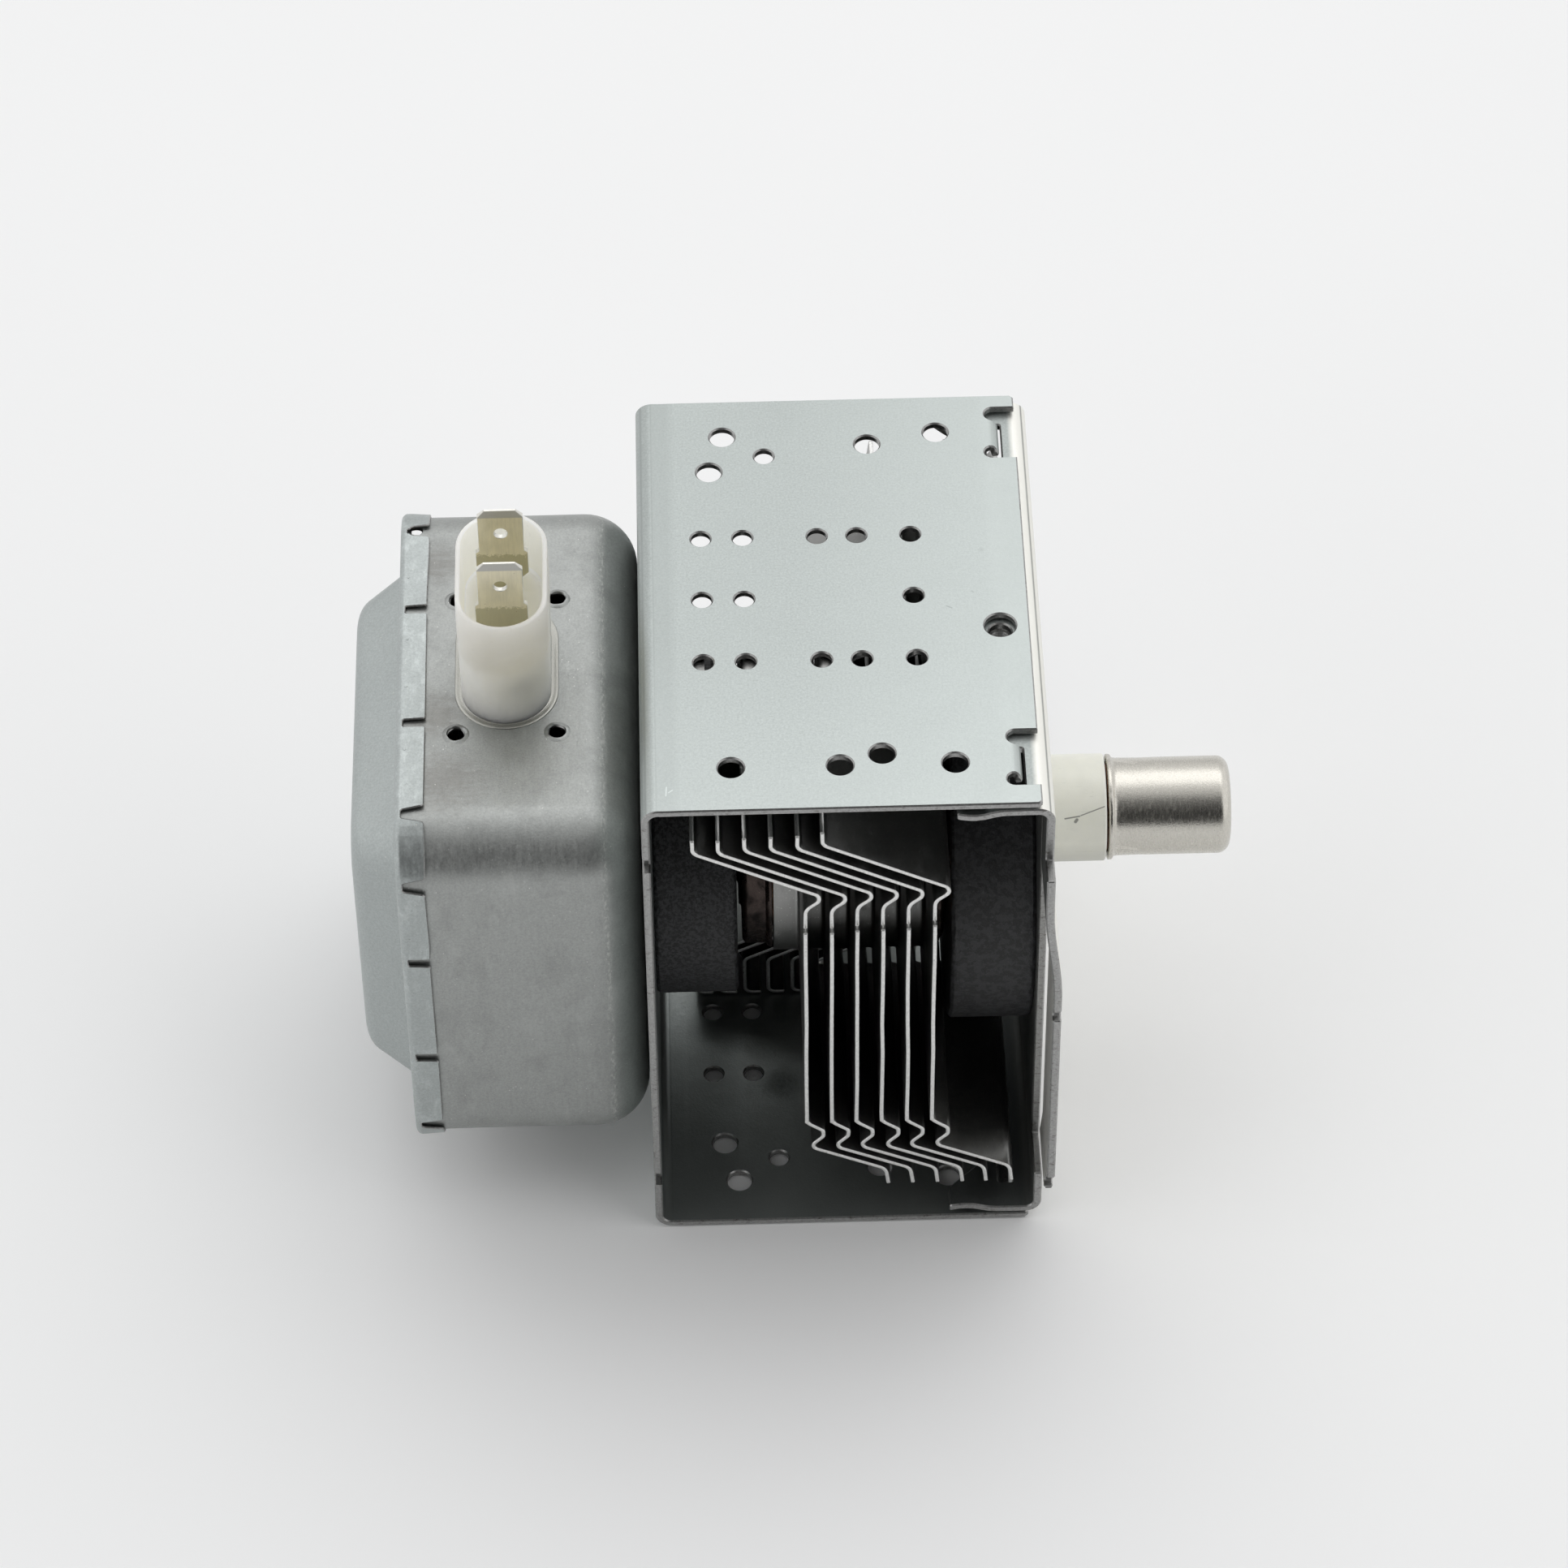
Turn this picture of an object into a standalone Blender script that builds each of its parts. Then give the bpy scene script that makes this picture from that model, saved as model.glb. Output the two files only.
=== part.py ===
"""Microwave oven magnetron: yoke, magnets, cooling fins, vacuum tube, antenna and filter box.

The tube's axis is along X, with the antenna towards +X and the filter box towards -X. The
yoke is open towards -Y and +Y, and its flat walls face up and down, so the part lies on
the lower one. Sizes are measured from the tube's axis and from the outer face of the
yoke's base wall. The origin is the middle of the face it lies on. Metres, +Z up.
"""
import math

import bmesh
import bpy
from mathutils import Vector

MM = 0.001

# Room left between neighbours
SEAT_GAP = 0.3 * MM             # a piece that sits in, on or around another
HOLE_SIDES = 10
ROUND_SIDES = 24                # anode, fin collars and the pieces turned round them
SMALL_SIDES = 16                # smaller turned pieces

# Yoke channel: base wall towards the filter box, an upper and a lower wall
YOKE_SHEET = 1.1 * MM
YOKE_DEPTH = 79.8 * MM          # along Y, open side to open side
YOKE_HEIGHT = 90.0 * MM         # over both walls
YOKE_REACH = 54.5 * MM          # X at the free ends of the walls
YOKE_BEND = 2.4 * MM            # outer radius of its bends
DIE_MARK_FROM = 2.2 * MM        # shallow band pressed across both walls
DIE_MARK_TO = 4.9 * MM
DIE_MARK_DEPTH = 0.12 * MM
BASE_BORE_RADIUS = 10.0 * MM
EDGE_NOTCH_HEIGHT = 34.0 * MM   # two notches in each open edge of the base wall
EDGE_NOTCH_SIZE = 2.6 * MM
EDGE_NOTCH_CUT = 1.6 * MM

# Holes of the upper wall, as X and Y; the lower wall has them turned half a turn about X
VENT_RADIUS = 1.4 * MM
VENT_COLUMNS = (9.0 * MM, 14.9 * MM, 25.4 * MM, 31.0 * MM, 38.6 * MM)
VENT_ROW_PITCH = 12.05 * MM
VENT_MIDDLE_COLUMNS = (0, 1, 4)
LARGE_HOLE_RADIUS = 1.8 * MM
# These lie near an open side: X, the side's sign along Y, and the way in from that side
LARGE_HOLES = (
    (12.4 * MM, 1, 7.4 * MM), (10.4 * MM, 1, 14.5 * MM), (33.1 * MM, 1, 9.5 * MM), (43.0 * MM, 1, 7.4 * MM),
    (12.4 * MM, -1, 7.9 * MM), (27.3 * MM, -1, 7.9 * MM), (33.1 * MM, -1, 9.9 * MM), (43.0 * MM, -1, 7.9 * MM))
LONE_VENT = (18.3 * MM, 1, 11.5 * MM)
SCREW_X = 50.4 * MM
SCREW_Y = -6.2 * MM
SCREW_HOLE_RADIUS = 2.2 * MM
SCREW_BOSS_RADIUS = 2.3 * MM
SCREW_BOSS_BORE = 1.6 * MM
SCREW_BOSS_HEIGHT = 1.6 * MM

# Clinches that lock the closing plate to the walls: relief slot, bent lip, relief hole
CLINCH_LIP_END = 52.1 * MM      # X where the shortened wall ends
CLINCH_SLOT_START = 50.2 * MM
CLINCH_LIP_WIDTH = 6.6 * MM
CLINCH_SLOT_WIDTH = 2.4 * MM
CLINCH_HOLE_RADIUS = 1.1 * MM
CLINCH_LIP_ROLL = 1.5 * MM      # outer radius of the lip's bend
CLINCH_REAR_INSET = 11.6 * MM   # from the rear open side to the lip's near end
CLINCH_FRONT_INSET = 4.7 * MM

# Closing plate on the antenna side
PLATE_SHEET = 1.2 * MM
PLATE_OUTER_X = 56.3 * MM
PLATE_BEND = 2.3 * MM
FLANGE_REACH = 9.0 * MM         # flange under the wall, measured back from the plate's face
FLANGE_EAR_REACH = 13.4 * MM    # the same at its two ends
FLANGE_EAR_WIDTH = 3.6 * MM
FLANGE_EAR_TAPER = 4.5 * MM
RECESS_HEIGHT = 34.8 * MM       # half height of the cut-back open edges
RECESS_DEPTH = 7.8 * MM
EAR_HALF_HEIGHT = 33.5 * MM     # strips that stand forward of those edges
EAR_STAND_OUT = 4.2 * MM        # how far they pass the yoke's open side
EAR_LANCE_GAP = 0.5 * MM
EAR_OFFSET = 1.5 * MM           # how far their lower part stands out from the plate
EAR_JOG_TOP = 27.0 * MM
EAR_JOG_BOTTOM = 9.0 * MM
EAR_NOTCH_HEIGHTS = (5.0 * MM, -31.7 * MM)
EAR_NOTCH_SIZE = 1.6 * MM
EAR_NOTCH_CUT = 1.2 * MM

# Ring magnets
FILTER_MAGNET_THICKNESS = 11.8 * MM
ANTENNA_MAGNET_THICKNESS = 12.0 * MM
MAGNET_BORE_RADIUS = 9.6 * MM
FILTER_MAGNET_RADIUS = 25.4 * MM
ANTENNA_MAGNET_RADIUS = 30.0 * MM
MAGNET_CHAMFER = 0.5 * MM

# Cooling fins
FIN_COUNT = 6
FIN_SHEET = 0.6 * MM
FIRST_FIN_X = 22.2 * MM
FIN_PITCH = 3.58 * MM
FIN_HALF_DEPTH = 39.2 * MM      # along Y
FIN_TONGUE = 1.1 * MM           # how far the middle stands forward of the wings
FIN_TONGUE_HALF_HEIGHT = 20.6 * MM
FIN_FLAT_HALF_HEIGHT = 22.0 * MM
FIN_SLOT_HALF_WIDTH = 3.3 * MM
FIN_ROOT_RADIUS = 1.0 * MM
FIN_COLLAR_LENGTH = 3.1 * MM    # up to the fin before it
FIRST_COLLAR_LENGTH = 4.1 * MM  # the first fin's collar has room to the anode's end
BEAD_RISE = 1.9 * MM            # crest of the stiffening bead
SEATED_WING_RUN = 15.4 * MM     # sideways reach of the wings that meet the yoke's walls
SEATED_WING_KNEE = 36.6 * MM    # height of their second bend
SEATED_WING_FOOT = 2.4 * MM     # turned back against the wall
FREE_WING_RUN = 11.5 * MM
FREE_WING_KNEE = 34.4 * MM
FREE_WING_TIP = 37.0 * MM
SEATED_BEAD_HEIGHT = 27.0 * MM
FREE_BEAD_HEIGHT = 25.2 * MM
FREE_BEAD_FOOT = 28.2 * MM

# Anode block
ANODE_LEFT_X = 18.2 * MM
ANODE_RIGHT_X = 41.4 * MM
ANODE_RADIUS = 18.65 * MM
ANODE_WALL = 2.1 * MM
VANE_COUNT = 10
VANE_SHEET = 1.9 * MM
VANE_WIDTH = 9.6 * MM           # along the axis
VANE_TIP_RADIUS = 4.6 * MM
STRAP_NOTCH_INNER = 7.0 * MM
STRAP_NOTCH_DEPTH = 1.5 * MM
STRAP_WALL = 0.8 * MM

# End spaces of the tube
POLE_SHEET = 1.5 * MM
POLE_HOLE_RADIUS = 4.9 * MM
POLE_TIP_RADIUS = 8.4 * MM
POLE_TIP_GAP = 0.8 * MM         # between a pole tip and the vanes
CUP_SHEET = 0.6 * MM
CUP_RADIUS = 18.5 * MM
CUP_RIM_RADIUS = 19.1 * MM      # brazed rim at the anode's end
CUP_RIM_WIDTH = 0.7 * MM
CUP_CORNER = 0.9 * MM
CUP_SHOULDER_RADIUS = 12.7 * MM
CUP_NECK_RADIUS = 9.2 * MM
FILTER_CUP_DEPTH = 4.3 * MM
ANTENNA_CUP_DEPTH = 0.9 * MM
CUP_STEP = 0.4 * MM             # raised step round the neck on the filter side

# Cathode
LEAD_RADIUS = 0.75 * MM
SIDE_LEAD_OFFSET = 3.0 * MM
HAT_RADIUS = 3.9 * MM
HAT_SHEET = 1.1 * MM
FILAMENT_RADIUS = 1.95 * MM
FILAMENT_WIRE = 0.5 * MM
FILAMENT_TURNS = 5

# Stem on the filter side
STEM_NECK_END_X = -3.0 * MM
STEM_LENGTH = 9.0 * MM
STEM_LEAD_END_X = -16.0 * MM

# Antenna
ANTENNA_CERAMIC_RADIUS = 7.8 * MM
ANTENNA_CERAMIC_BORE = 5.6 * MM
ANTENNA_CERAMIC_END_X = 66.6 * MM
CAP_RADIUS = 7.1 * MM
CAP_RIM_RADIUS = 7.7 * MM
CAP_RIM_LENGTH = 0.9 * MM
CAP_END_X = 84.7 * MM
CAP_SHEET = 0.45 * MM
CAP_CORNER = 1.8 * MM
PLATE_BORE_GAP = 0.5 * MM
EXHAUST_RADIUS = 3.0 * MM
EXHAUST_WALL = 0.7 * MM
EXHAUST_END_X = 79.0 * MM
EXHAUST_BORE_END_X = 74.0 * MM
EXHAUST_FLANGE_RADIUS = 6.2 * MM
ANTENNA_ROD_RADIUS = 1.2 * MM

# Filter box
CASE_SHEET = 0.6 * MM
CASE_HALF_Y = 35.2 * MM
CASE_HALF_Z = 32.6 * MM
CASE_CORNER = 8.8 * MM
CASE_OPEN_X = -33.4 * MM
CASE_BOTTOM_ROUND = 7.6 * MM
CASE_BORE_RADIUS = 10.6 * MM
LID_SHEET = 0.6 * MM
LID_RIM_X = -34.2 * MM
LID_SKIRT_END_X = -30.1 * MM
LID_RIM_WIDTH = 6.8 * MM        # flat border inside the crimped edge
LID_DOME_SLOPE = 3.6 * MM       # how far the raised middle's side leans in
LID_DOME_ROUND = 3.2 * MM       # rounding from that side to the flat face
LID_DOME_CORNER = 5.0 * MM
LID_FACE_X = -41.1 * MM
LID_SLOT_WIDTH = 1.1 * MM
LID_SLOT_END_X = -33.2 * MM
LID_TOP_SLOTS = (26.4 * MM, 11.0 * MM, -11.1 * MM, -28.0 * MM)
LID_SIDE_SLOTS = (25.8 * MM, 10.4 * MM, -10.1 * MM, -25.4 * MM)

# Capacitor connector on top of the filter box
CONNECTOR_X = -18.75 * MM
SOCKET_HALF_X = 6.45 * MM
SOCKET_HALF_Y = 11.6 * MM
SOCKET_WALL = 0.8 * MM
SOCKET_RISE = 19.3 * MM         # rim above the case
SOCKET_FLOOR_RISE = 9.4 * MM
COLLAR_HALF_X = 7.3 * MM
COLLAR_HALF_Y = 12.35 * MM
COLLAR_HEIGHT = 1.0 * MM
CAPACITOR_DEPTH = 12.6 * MM     # below the case's face
CAPACITOR_HALF_X = 6.0 * MM
CAPACITOR_HALF_Y = 10.5 * MM
STAKE_PITCH_X = 14.1 * MM
STAKE_PITCH_Y = 26.0 * MM
STAKE_RADIUS = 1.2 * MM
TAB_PITCH = 10.3 * MM
TAB_WIDTH = 6.35 * MM
TAB_SHEET = 0.8 * MM
TAB_RISE = 25.9 * MM            # tip above the case
TAB_BLADE = 7.9 * MM            # from the tip to the shoulders
TAB_SHOULDER_WIDTH = 7.3 * MM
TAB_HOLE_DROP = 4.2 * MM
TAB_HOLE_RADIUS = 0.93 * MM
TAB_CORNER = 1.0 * MM

# Filter chokes
CHOKE_X = -24.5 * MM
CHOKE_Y = 9.0 * MM
CHOKE_COIL_RADIUS = 3.6 * MM
CHOKE_WIRE = 1.4 * MM
CHOKE_TURNS = 7
CHOKE_TURN_PITCH = 2.3 * MM
FERRITE_RADIUS = 2.5 * MM
FERRITE_OVERHANG = 1.5 * MM

# Values that follow from the sizes above
HALF_DEPTH = YOKE_DEPTH / 2
HALF_HEIGHT = YOKE_HEIGHT / 2
CLINCH_REAR_Y = HALF_DEPTH - CLINCH_REAR_INSET
CLINCH_FRONT_Y = CLINCH_FRONT_INSET - HALF_DEPTH
WALL_INNER_Z = HALF_HEIGHT - YOKE_SHEET
PLATE_INNER_X = PLATE_OUTER_X - PLATE_SHEET
FLANGE_TOP_Z = WALL_INNER_Z - SEAT_GAP
SOCKET_RIM_Z = CASE_HALF_Z + SOCKET_RISE
SOCKET_FLOOR_Z = CASE_HALF_Z + SOCKET_FLOOR_RISE
CAPACITOR_BOTTOM_Z = CASE_HALF_Z - CAPACITOR_DEPTH
TAB_TOP_Z = CASE_HALF_Z + TAB_RISE
TAB_SHOULDER_Z = TAB_TOP_Z - TAB_BLADE
TAB_HOLE_Z = TAB_TOP_Z - TAB_HOLE_DROP
AXIAL_CENTRE_X = (ANODE_LEFT_X + ANODE_RIGHT_X) / 2
FRAME_SHIFT = Vector((-YOKE_REACH / 2, 0.0, HALF_HEIGHT))    # puts the origin under the yoke's middle
VANE_LEFT_X = AXIAL_CENTRE_X - VANE_WIDTH / 2
VANE_RIGHT_X = AXIAL_CENTRE_X + VANE_WIDTH / 2
ANODE_BORE = ANODE_RADIUS - ANODE_WALL


def clear_scene():
    """Remove the objects of the file that the script runs in."""
    for old in list(bpy.data.objects):
        bpy.data.objects.remove(old, do_unlink=True)


def material(name, colour, roughness, metallic):
    """Principled material with the part's own colour."""
    made = bpy.data.materials.new(name)
    made.use_nodes = True
    shader = made.node_tree.nodes["Principled BSDF"]
    shader.inputs["Base Color"].default_value = (*colour, 1.0)
    shader.inputs["Roughness"].default_value = roughness
    shader.inputs["Metallic"].default_value = metallic
    made.diffuse_color = (*colour, 1.0)
    return made


def finish_mesh(name, built, skin, smooth_angle=None):
    """Turn a bmesh into a named object with its faces pointing out."""
    bmesh.ops.recalc_face_normals(built, faces=built.faces[:])
    mesh = bpy.data.meshes.new(name)
    built.to_mesh(mesh)
    built.free()
    made = bpy.data.objects.new(name, mesh)
    bpy.context.collection.objects.link(made)
    mesh.materials.append(skin)
    if smooth_angle is not None:
        mesh.shade_smooth()
        mesh.set_sharp_from_angle(angle=math.radians(smooth_angle))
    return made


def arc(centre_u, centre_v, radius, start, end, steps):
    """Points on an arc in any plane, angles in degrees."""
    points = []
    for step in range(steps + 1):
        angle = math.radians(start + (end - start) * step / steps)
        points.append((centre_u + radius * math.cos(angle), centre_v + radius * math.sin(angle)))
    return points


def rounded_path(corners, radius, steps):
    """Open path through 2-D corners with each inner corner turned into an arc."""
    path = [Vector(corners[0])]
    for before, here, after in zip(corners, corners[1:], corners[2:]):
        here = Vector(here)
        inward = (Vector(before) - here).normalized()
        outward = (Vector(after) - here).normalized()
        half_turn = inward.angle(outward) / 2
        cut = radius / math.tan(half_turn)
        centre = here + (inward + outward).normalized() * radius / math.sin(half_turn)
        first = here + inward * cut - centre
        sweep = first.angle_signed(here + outward * cut - centre)
        for step in range(steps + 1):
            turn = -sweep * step / steps
            spoke = Vector((first.x * math.cos(turn) - first.y * math.sin(turn),
                            first.x * math.sin(turn) + first.y * math.cos(turn)))
            path.append(centre + spoke)
    path.append(Vector(corners[-1]))
    return path


def offset_path(path, distance):
    """Open path moved sideways, to its left for a positive distance."""
    moved = []
    for index, point in enumerate(path):
        sides = []
        if index > 0:
            step = (path[index] - path[index - 1]).normalized()
            sides.append(Vector((-step.y, step.x)))
        if index < len(path) - 1:
            step = (path[index + 1] - path[index]).normalized()
            sides.append(Vector((-step.y, step.x)))
        mitre = sum(sides, Vector((0.0, 0.0))).normalized()
        moved.append(point + mitre * distance / mitre.dot(sides[0]))
    return moved


def prism(name, outline, low, high, place, skin, smooth_angle=None):
    """Closed outline swept from low to high; place turns (u, v, w) into a point."""
    built = bmesh.new()
    start = [built.verts.new(place(u, v, low)) for u, v in outline]
    end = [built.verts.new(place(u, v, high)) for u, v in outline]
    built.faces.new(start)
    built.faces.new(list(reversed(end)))
    count = len(outline)
    for index in range(count):
        after = (index + 1) % count
        built.faces.new((start[index], end[index], end[after], start[after]))
    return finish_mesh(name, built, skin, smooth_angle)


def along_x(u, v, w):
    """Outline in Y and Z, swept along X."""
    return Vector((w, u, v))


def along_y(u, v, w):
    """Outline in X and Z, swept along Y."""
    return Vector((u, w, v))


def along_z(u, v, w):
    """Outline in X and Y, swept along Z."""
    return Vector((u, v, w))


def turned(name, profile, sides, skin, smooth_angle=40):
    """Closed profile of (x, radius) points turned about the X axis."""
    built = bmesh.new()
    rings = []
    for x, radius in profile:
        ring = []
        for side in range(sides):
            angle = 2 * math.pi * side / sides
            ring.append(built.verts.new((x, radius * math.cos(angle), radius * math.sin(angle))))
        rings.append(ring)
    for index, ring in enumerate(rings):
        after = rings[(index + 1) % len(rings)]
        for side in range(sides):
            onward = (side + 1) % sides
            built.faces.new((ring[side], ring[onward], after[onward], after[side]))
    return finish_mesh(name, built, skin, smooth_angle)


def solid_turned(name, profile, sides, skin, smooth_angle=40, centre_y=0.0):
    """Open profile of (x, radius) points turned about a line along X, with flat ends."""
    built = bmesh.new()
    rings = []
    for x, radius in profile:
        ring = []
        for side in range(sides):
            angle = 2 * math.pi * side / sides
            point = (x, centre_y + radius * math.cos(angle), radius * math.sin(angle))
            ring.append(built.verts.new(point))
        rings.append(ring)
    for ring, after in zip(rings, rings[1:]):
        for side in range(sides):
            onward = (side + 1) % sides
            built.faces.new((ring[side], ring[onward], after[onward], after[side]))
    built.faces.new(rings[0])
    built.faces.new(list(reversed(rings[-1])))
    return finish_mesh(name, built, skin, smooth_angle)


def lofted(name, rings, skin, closed, smooth_angle=35):
    """Skin over equal rings of points; closed joins the last ring to the first."""
    built = bmesh.new()
    loops = [[built.verts.new(point) for point in ring] for ring in rings]
    count = len(loops[0])
    pairs = list(zip(loops, loops[1:]))
    if closed:
        pairs.append((loops[-1], loops[0]))
    for loop, after in pairs:
        for index in range(count):
            onward = (index + 1) % count
            built.faces.new((loop[index], loop[onward], after[onward], after[index]))
    if not closed:
        built.faces.new(loops[0])
        built.faces.new(list(reversed(loops[-1])))
    return finish_mesh(name, built, skin, smooth_angle)


def rounded_rectangle(half_u, half_v, radius, steps):
    """Closed outline with arc corners, always with the same number of points."""
    points = []
    corners = ((1, 1, 0), (-1, 1, 90), (-1, -1, 180), (1, -1, 270))
    for sign_u, sign_v, start in corners:
        centre_u = sign_u * (half_u - radius)
        centre_v = sign_v * (half_v - radius)
        points += arc(centre_u, centre_v, radius, start, start + 90, steps)
    return points


def circle(centre_u, centre_v, radius, sides):
    """Closed round outline."""
    return arc(centre_u, centre_v, radius, 0, 360 - 360 / sides, sides - 1)


def cutter(outlines, low, high, place):
    """Hidden tool made of separate prisms, for a difference."""
    built = bmesh.new()
    for outline in outlines:
        start = [built.verts.new(place(u, v, low)) for u, v in outline]
        end = [built.verts.new(place(u, v, high)) for u, v in outline]
        built.faces.new(start)
        built.faces.new(list(reversed(end)))
        count = len(outline)
        for index in range(count):
            after = (index + 1) % count
            built.faces.new((start[index], end[index], end[after], start[after]))
    bmesh.ops.recalc_face_normals(built, faces=built.faces[:])
    mesh = bpy.data.meshes.new("cutter")
    built.to_mesh(mesh)
    built.free()
    tool = bpy.data.objects.new("cutter", mesh)
    bpy.context.collection.objects.link(tool)
    hide_tool(tool)
    return tool


def hide_tool(tool):
    """Mark an object as a tool that is no part of the model."""
    tool.hide_render = True
    tool.display_type = "WIRE"


def combine(target, tool, operation):
    """Boolean modifier on the target with a hidden tool."""
    hide_tool(tool)
    step = target.modifiers.new(operation.lower(), "BOOLEAN")
    step.operation = operation
    step.solver = "EXACT"
    step.object = tool


def box_outline(low_u, high_u, low_v, high_v):
    """Rectangle as a closed outline."""
    return [(low_u, low_v), (high_u, low_v), (high_u, high_v), (low_u, high_v)]


def half_turn_outlines(outlines):
    """Outlines in X and Y as the lower wall has them, turned about the X axis."""
    return [[(x, -y) for x, y in outline] for outline in outlines]


def wall_hole_outlines():
    """Vent, fixing and relief holes of the upper wall."""
    outlines = []
    for row in (-1, 0, 1):
        columns = VENT_MIDDLE_COLUMNS if row == 0 else range(len(VENT_COLUMNS))
        for column in columns:
            outlines.append(circle(VENT_COLUMNS[column], row * VENT_ROW_PITCH, VENT_RADIUS, HOLE_SIDES))
    for x, side, inset in LARGE_HOLES:
        outlines.append(circle(x, side * (HALF_DEPTH - inset), LARGE_HOLE_RADIUS, HOLE_SIDES))
    vent_x, side, inset = LONE_VENT
    outlines.append(circle(vent_x, side * (HALF_DEPTH - inset), VENT_RADIUS, HOLE_SIDES))
    outlines.append(circle(SCREW_X, SCREW_Y, SCREW_HOLE_RADIUS, HOLE_SIDES))
    return outlines


def clinch_outline(lip_y):
    """Cut at one clinch: relief slot past the lip, shortened wall, relief hole before it."""
    lip_top = lip_y + CLINCH_LIP_WIDTH
    slot_top = lip_top + CLINCH_SLOT_WIDTH
    slot_round = CLINCH_SLOT_WIDTH / 2
    past_end = YOKE_REACH + YOKE_SHEET
    hole_x = CLINCH_LIP_END - CLINCH_HOLE_RADIUS
    outline = [(past_end, lip_y - CLINCH_HOLE_RADIUS), (past_end, slot_top)]
    outline += arc(CLINCH_SLOT_START + slot_round, slot_top - slot_round, slot_round, 90, 270, 6)
    outline += [(CLINCH_LIP_END, lip_top), (CLINCH_LIP_END, lip_y)]
    outline += arc(hole_x, lip_y, CLINCH_HOLE_RADIUS, 30, 270, 7)
    return outline


def lip_solid(lip_y, side, skin):
    """Rolled edge of the wall at one clinch; side is 1 on the upper wall, -1 on the lower."""
    root_x = CLINCH_LIP_END - CLINCH_LIP_ROLL
    centre_z = HALF_HEIGHT - CLINCH_LIP_ROLL
    inner = CLINCH_LIP_ROLL - YOKE_SHEET
    outer_arc = arc(root_x, centre_z, CLINCH_LIP_ROLL, 90, 12, 4)
    inner_arc = arc(root_x, centre_z, inner, 12, 90, 3)
    start_x = root_x - YOKE_SHEET / 2
    outline = [(start_x, HALF_HEIGHT)] + outer_arc + inner_arc + [(start_x, WALL_INNER_Z)]
    outline = [(x, side * z) for x, z in outline]
    low = side * lip_y if side > 0 else -(lip_y + CLINCH_LIP_WIDTH)
    return prism("lip", outline, low, low + CLINCH_LIP_WIDTH, along_y, skin)


def yoke_channel(skin):
    """Folded steel channel with its holes, die marks, edge notches and clinches."""
    corners = [(YOKE_REACH, HALF_HEIGHT), (0.0, HALF_HEIGHT), (0.0, -HALF_HEIGHT), (YOKE_REACH, -HALF_HEIGHT)]
    outer = rounded_path(corners, YOKE_BEND, 5)
    inner = offset_path(outer, YOKE_SHEET)
    outline = [(p.x, p.y) for p in outer + list(reversed(inner))]
    channel = prism("yoke_channel", outline, -HALF_DEPTH, HALF_DEPTH, along_y, skin, 50)
    past = HALF_HEIGHT + YOKE_SHEET
    holes = wall_hole_outlines()
    combine(channel, cutter(holes, WALL_INNER_Z - YOKE_SHEET, past, along_z), "DIFFERENCE")
    lower_holes = half_turn_outlines(holes)
    combine(channel, cutter(lower_holes, -past, YOKE_SHEET - WALL_INNER_Z, along_z), "DIFFERENCE")
    root_x = CLINCH_LIP_END - CLINCH_LIP_ROLL
    for side in (1, -1):
        clinches = []
        for lip_y in (CLINCH_REAR_Y, CLINCH_FRONT_Y):
            clinches.append(clinch_outline(lip_y))
            lip_top = lip_y + CLINCH_LIP_WIDTH
            clinches.append(box_outline(root_x, YOKE_REACH + YOKE_SHEET, lip_y, lip_top))
        if side < 0:
            clinches = half_turn_outlines(clinches)
        low, high = sorted((side * (WALL_INNER_Z - YOKE_SHEET), side * past))
        for outline in clinches:
            combine(channel, cutter([outline], low, high, along_z), "DIFFERENCE")
        for lip_y in (CLINCH_REAR_Y, CLINCH_FRONT_Y):
            combine(channel, lip_solid(lip_y, side, skin), "UNION")
    bore = cutter([circle(0.0, 0.0, BASE_BORE_RADIUS, 32)], -YOKE_SHEET, 2 * YOKE_SHEET, along_x)
    combine(channel, bore, "DIFFERENCE")
    notches = []
    for end in (-1, 1):
        for height in (-1, 1):
            edge = end * (HALF_DEPTH - EDGE_NOTCH_CUT)
            past_edge = end * (HALF_DEPTH + EDGE_NOTCH_CUT)
            middle = height * EDGE_NOTCH_HEIGHT
            notches.append(box_outline(min(edge, past_edge), max(edge, past_edge),
                                       middle - EDGE_NOTCH_SIZE / 2, middle + EDGE_NOTCH_SIZE / 2))
    combine(channel, cutter(notches, -YOKE_SHEET, 2 * YOKE_SHEET, along_x), "DIFFERENCE")
    marks = box_outline(DIE_MARK_FROM, DIE_MARK_TO, -YOKE_DEPTH, YOKE_DEPTH)
    for side in (1, -1):
        low, high = sorted((side * (HALF_HEIGHT - DIE_MARK_DEPTH), side * past))
        combine(channel, cutter([marks], low, high, along_z), "DIFFERENCE")
    return channel


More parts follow.
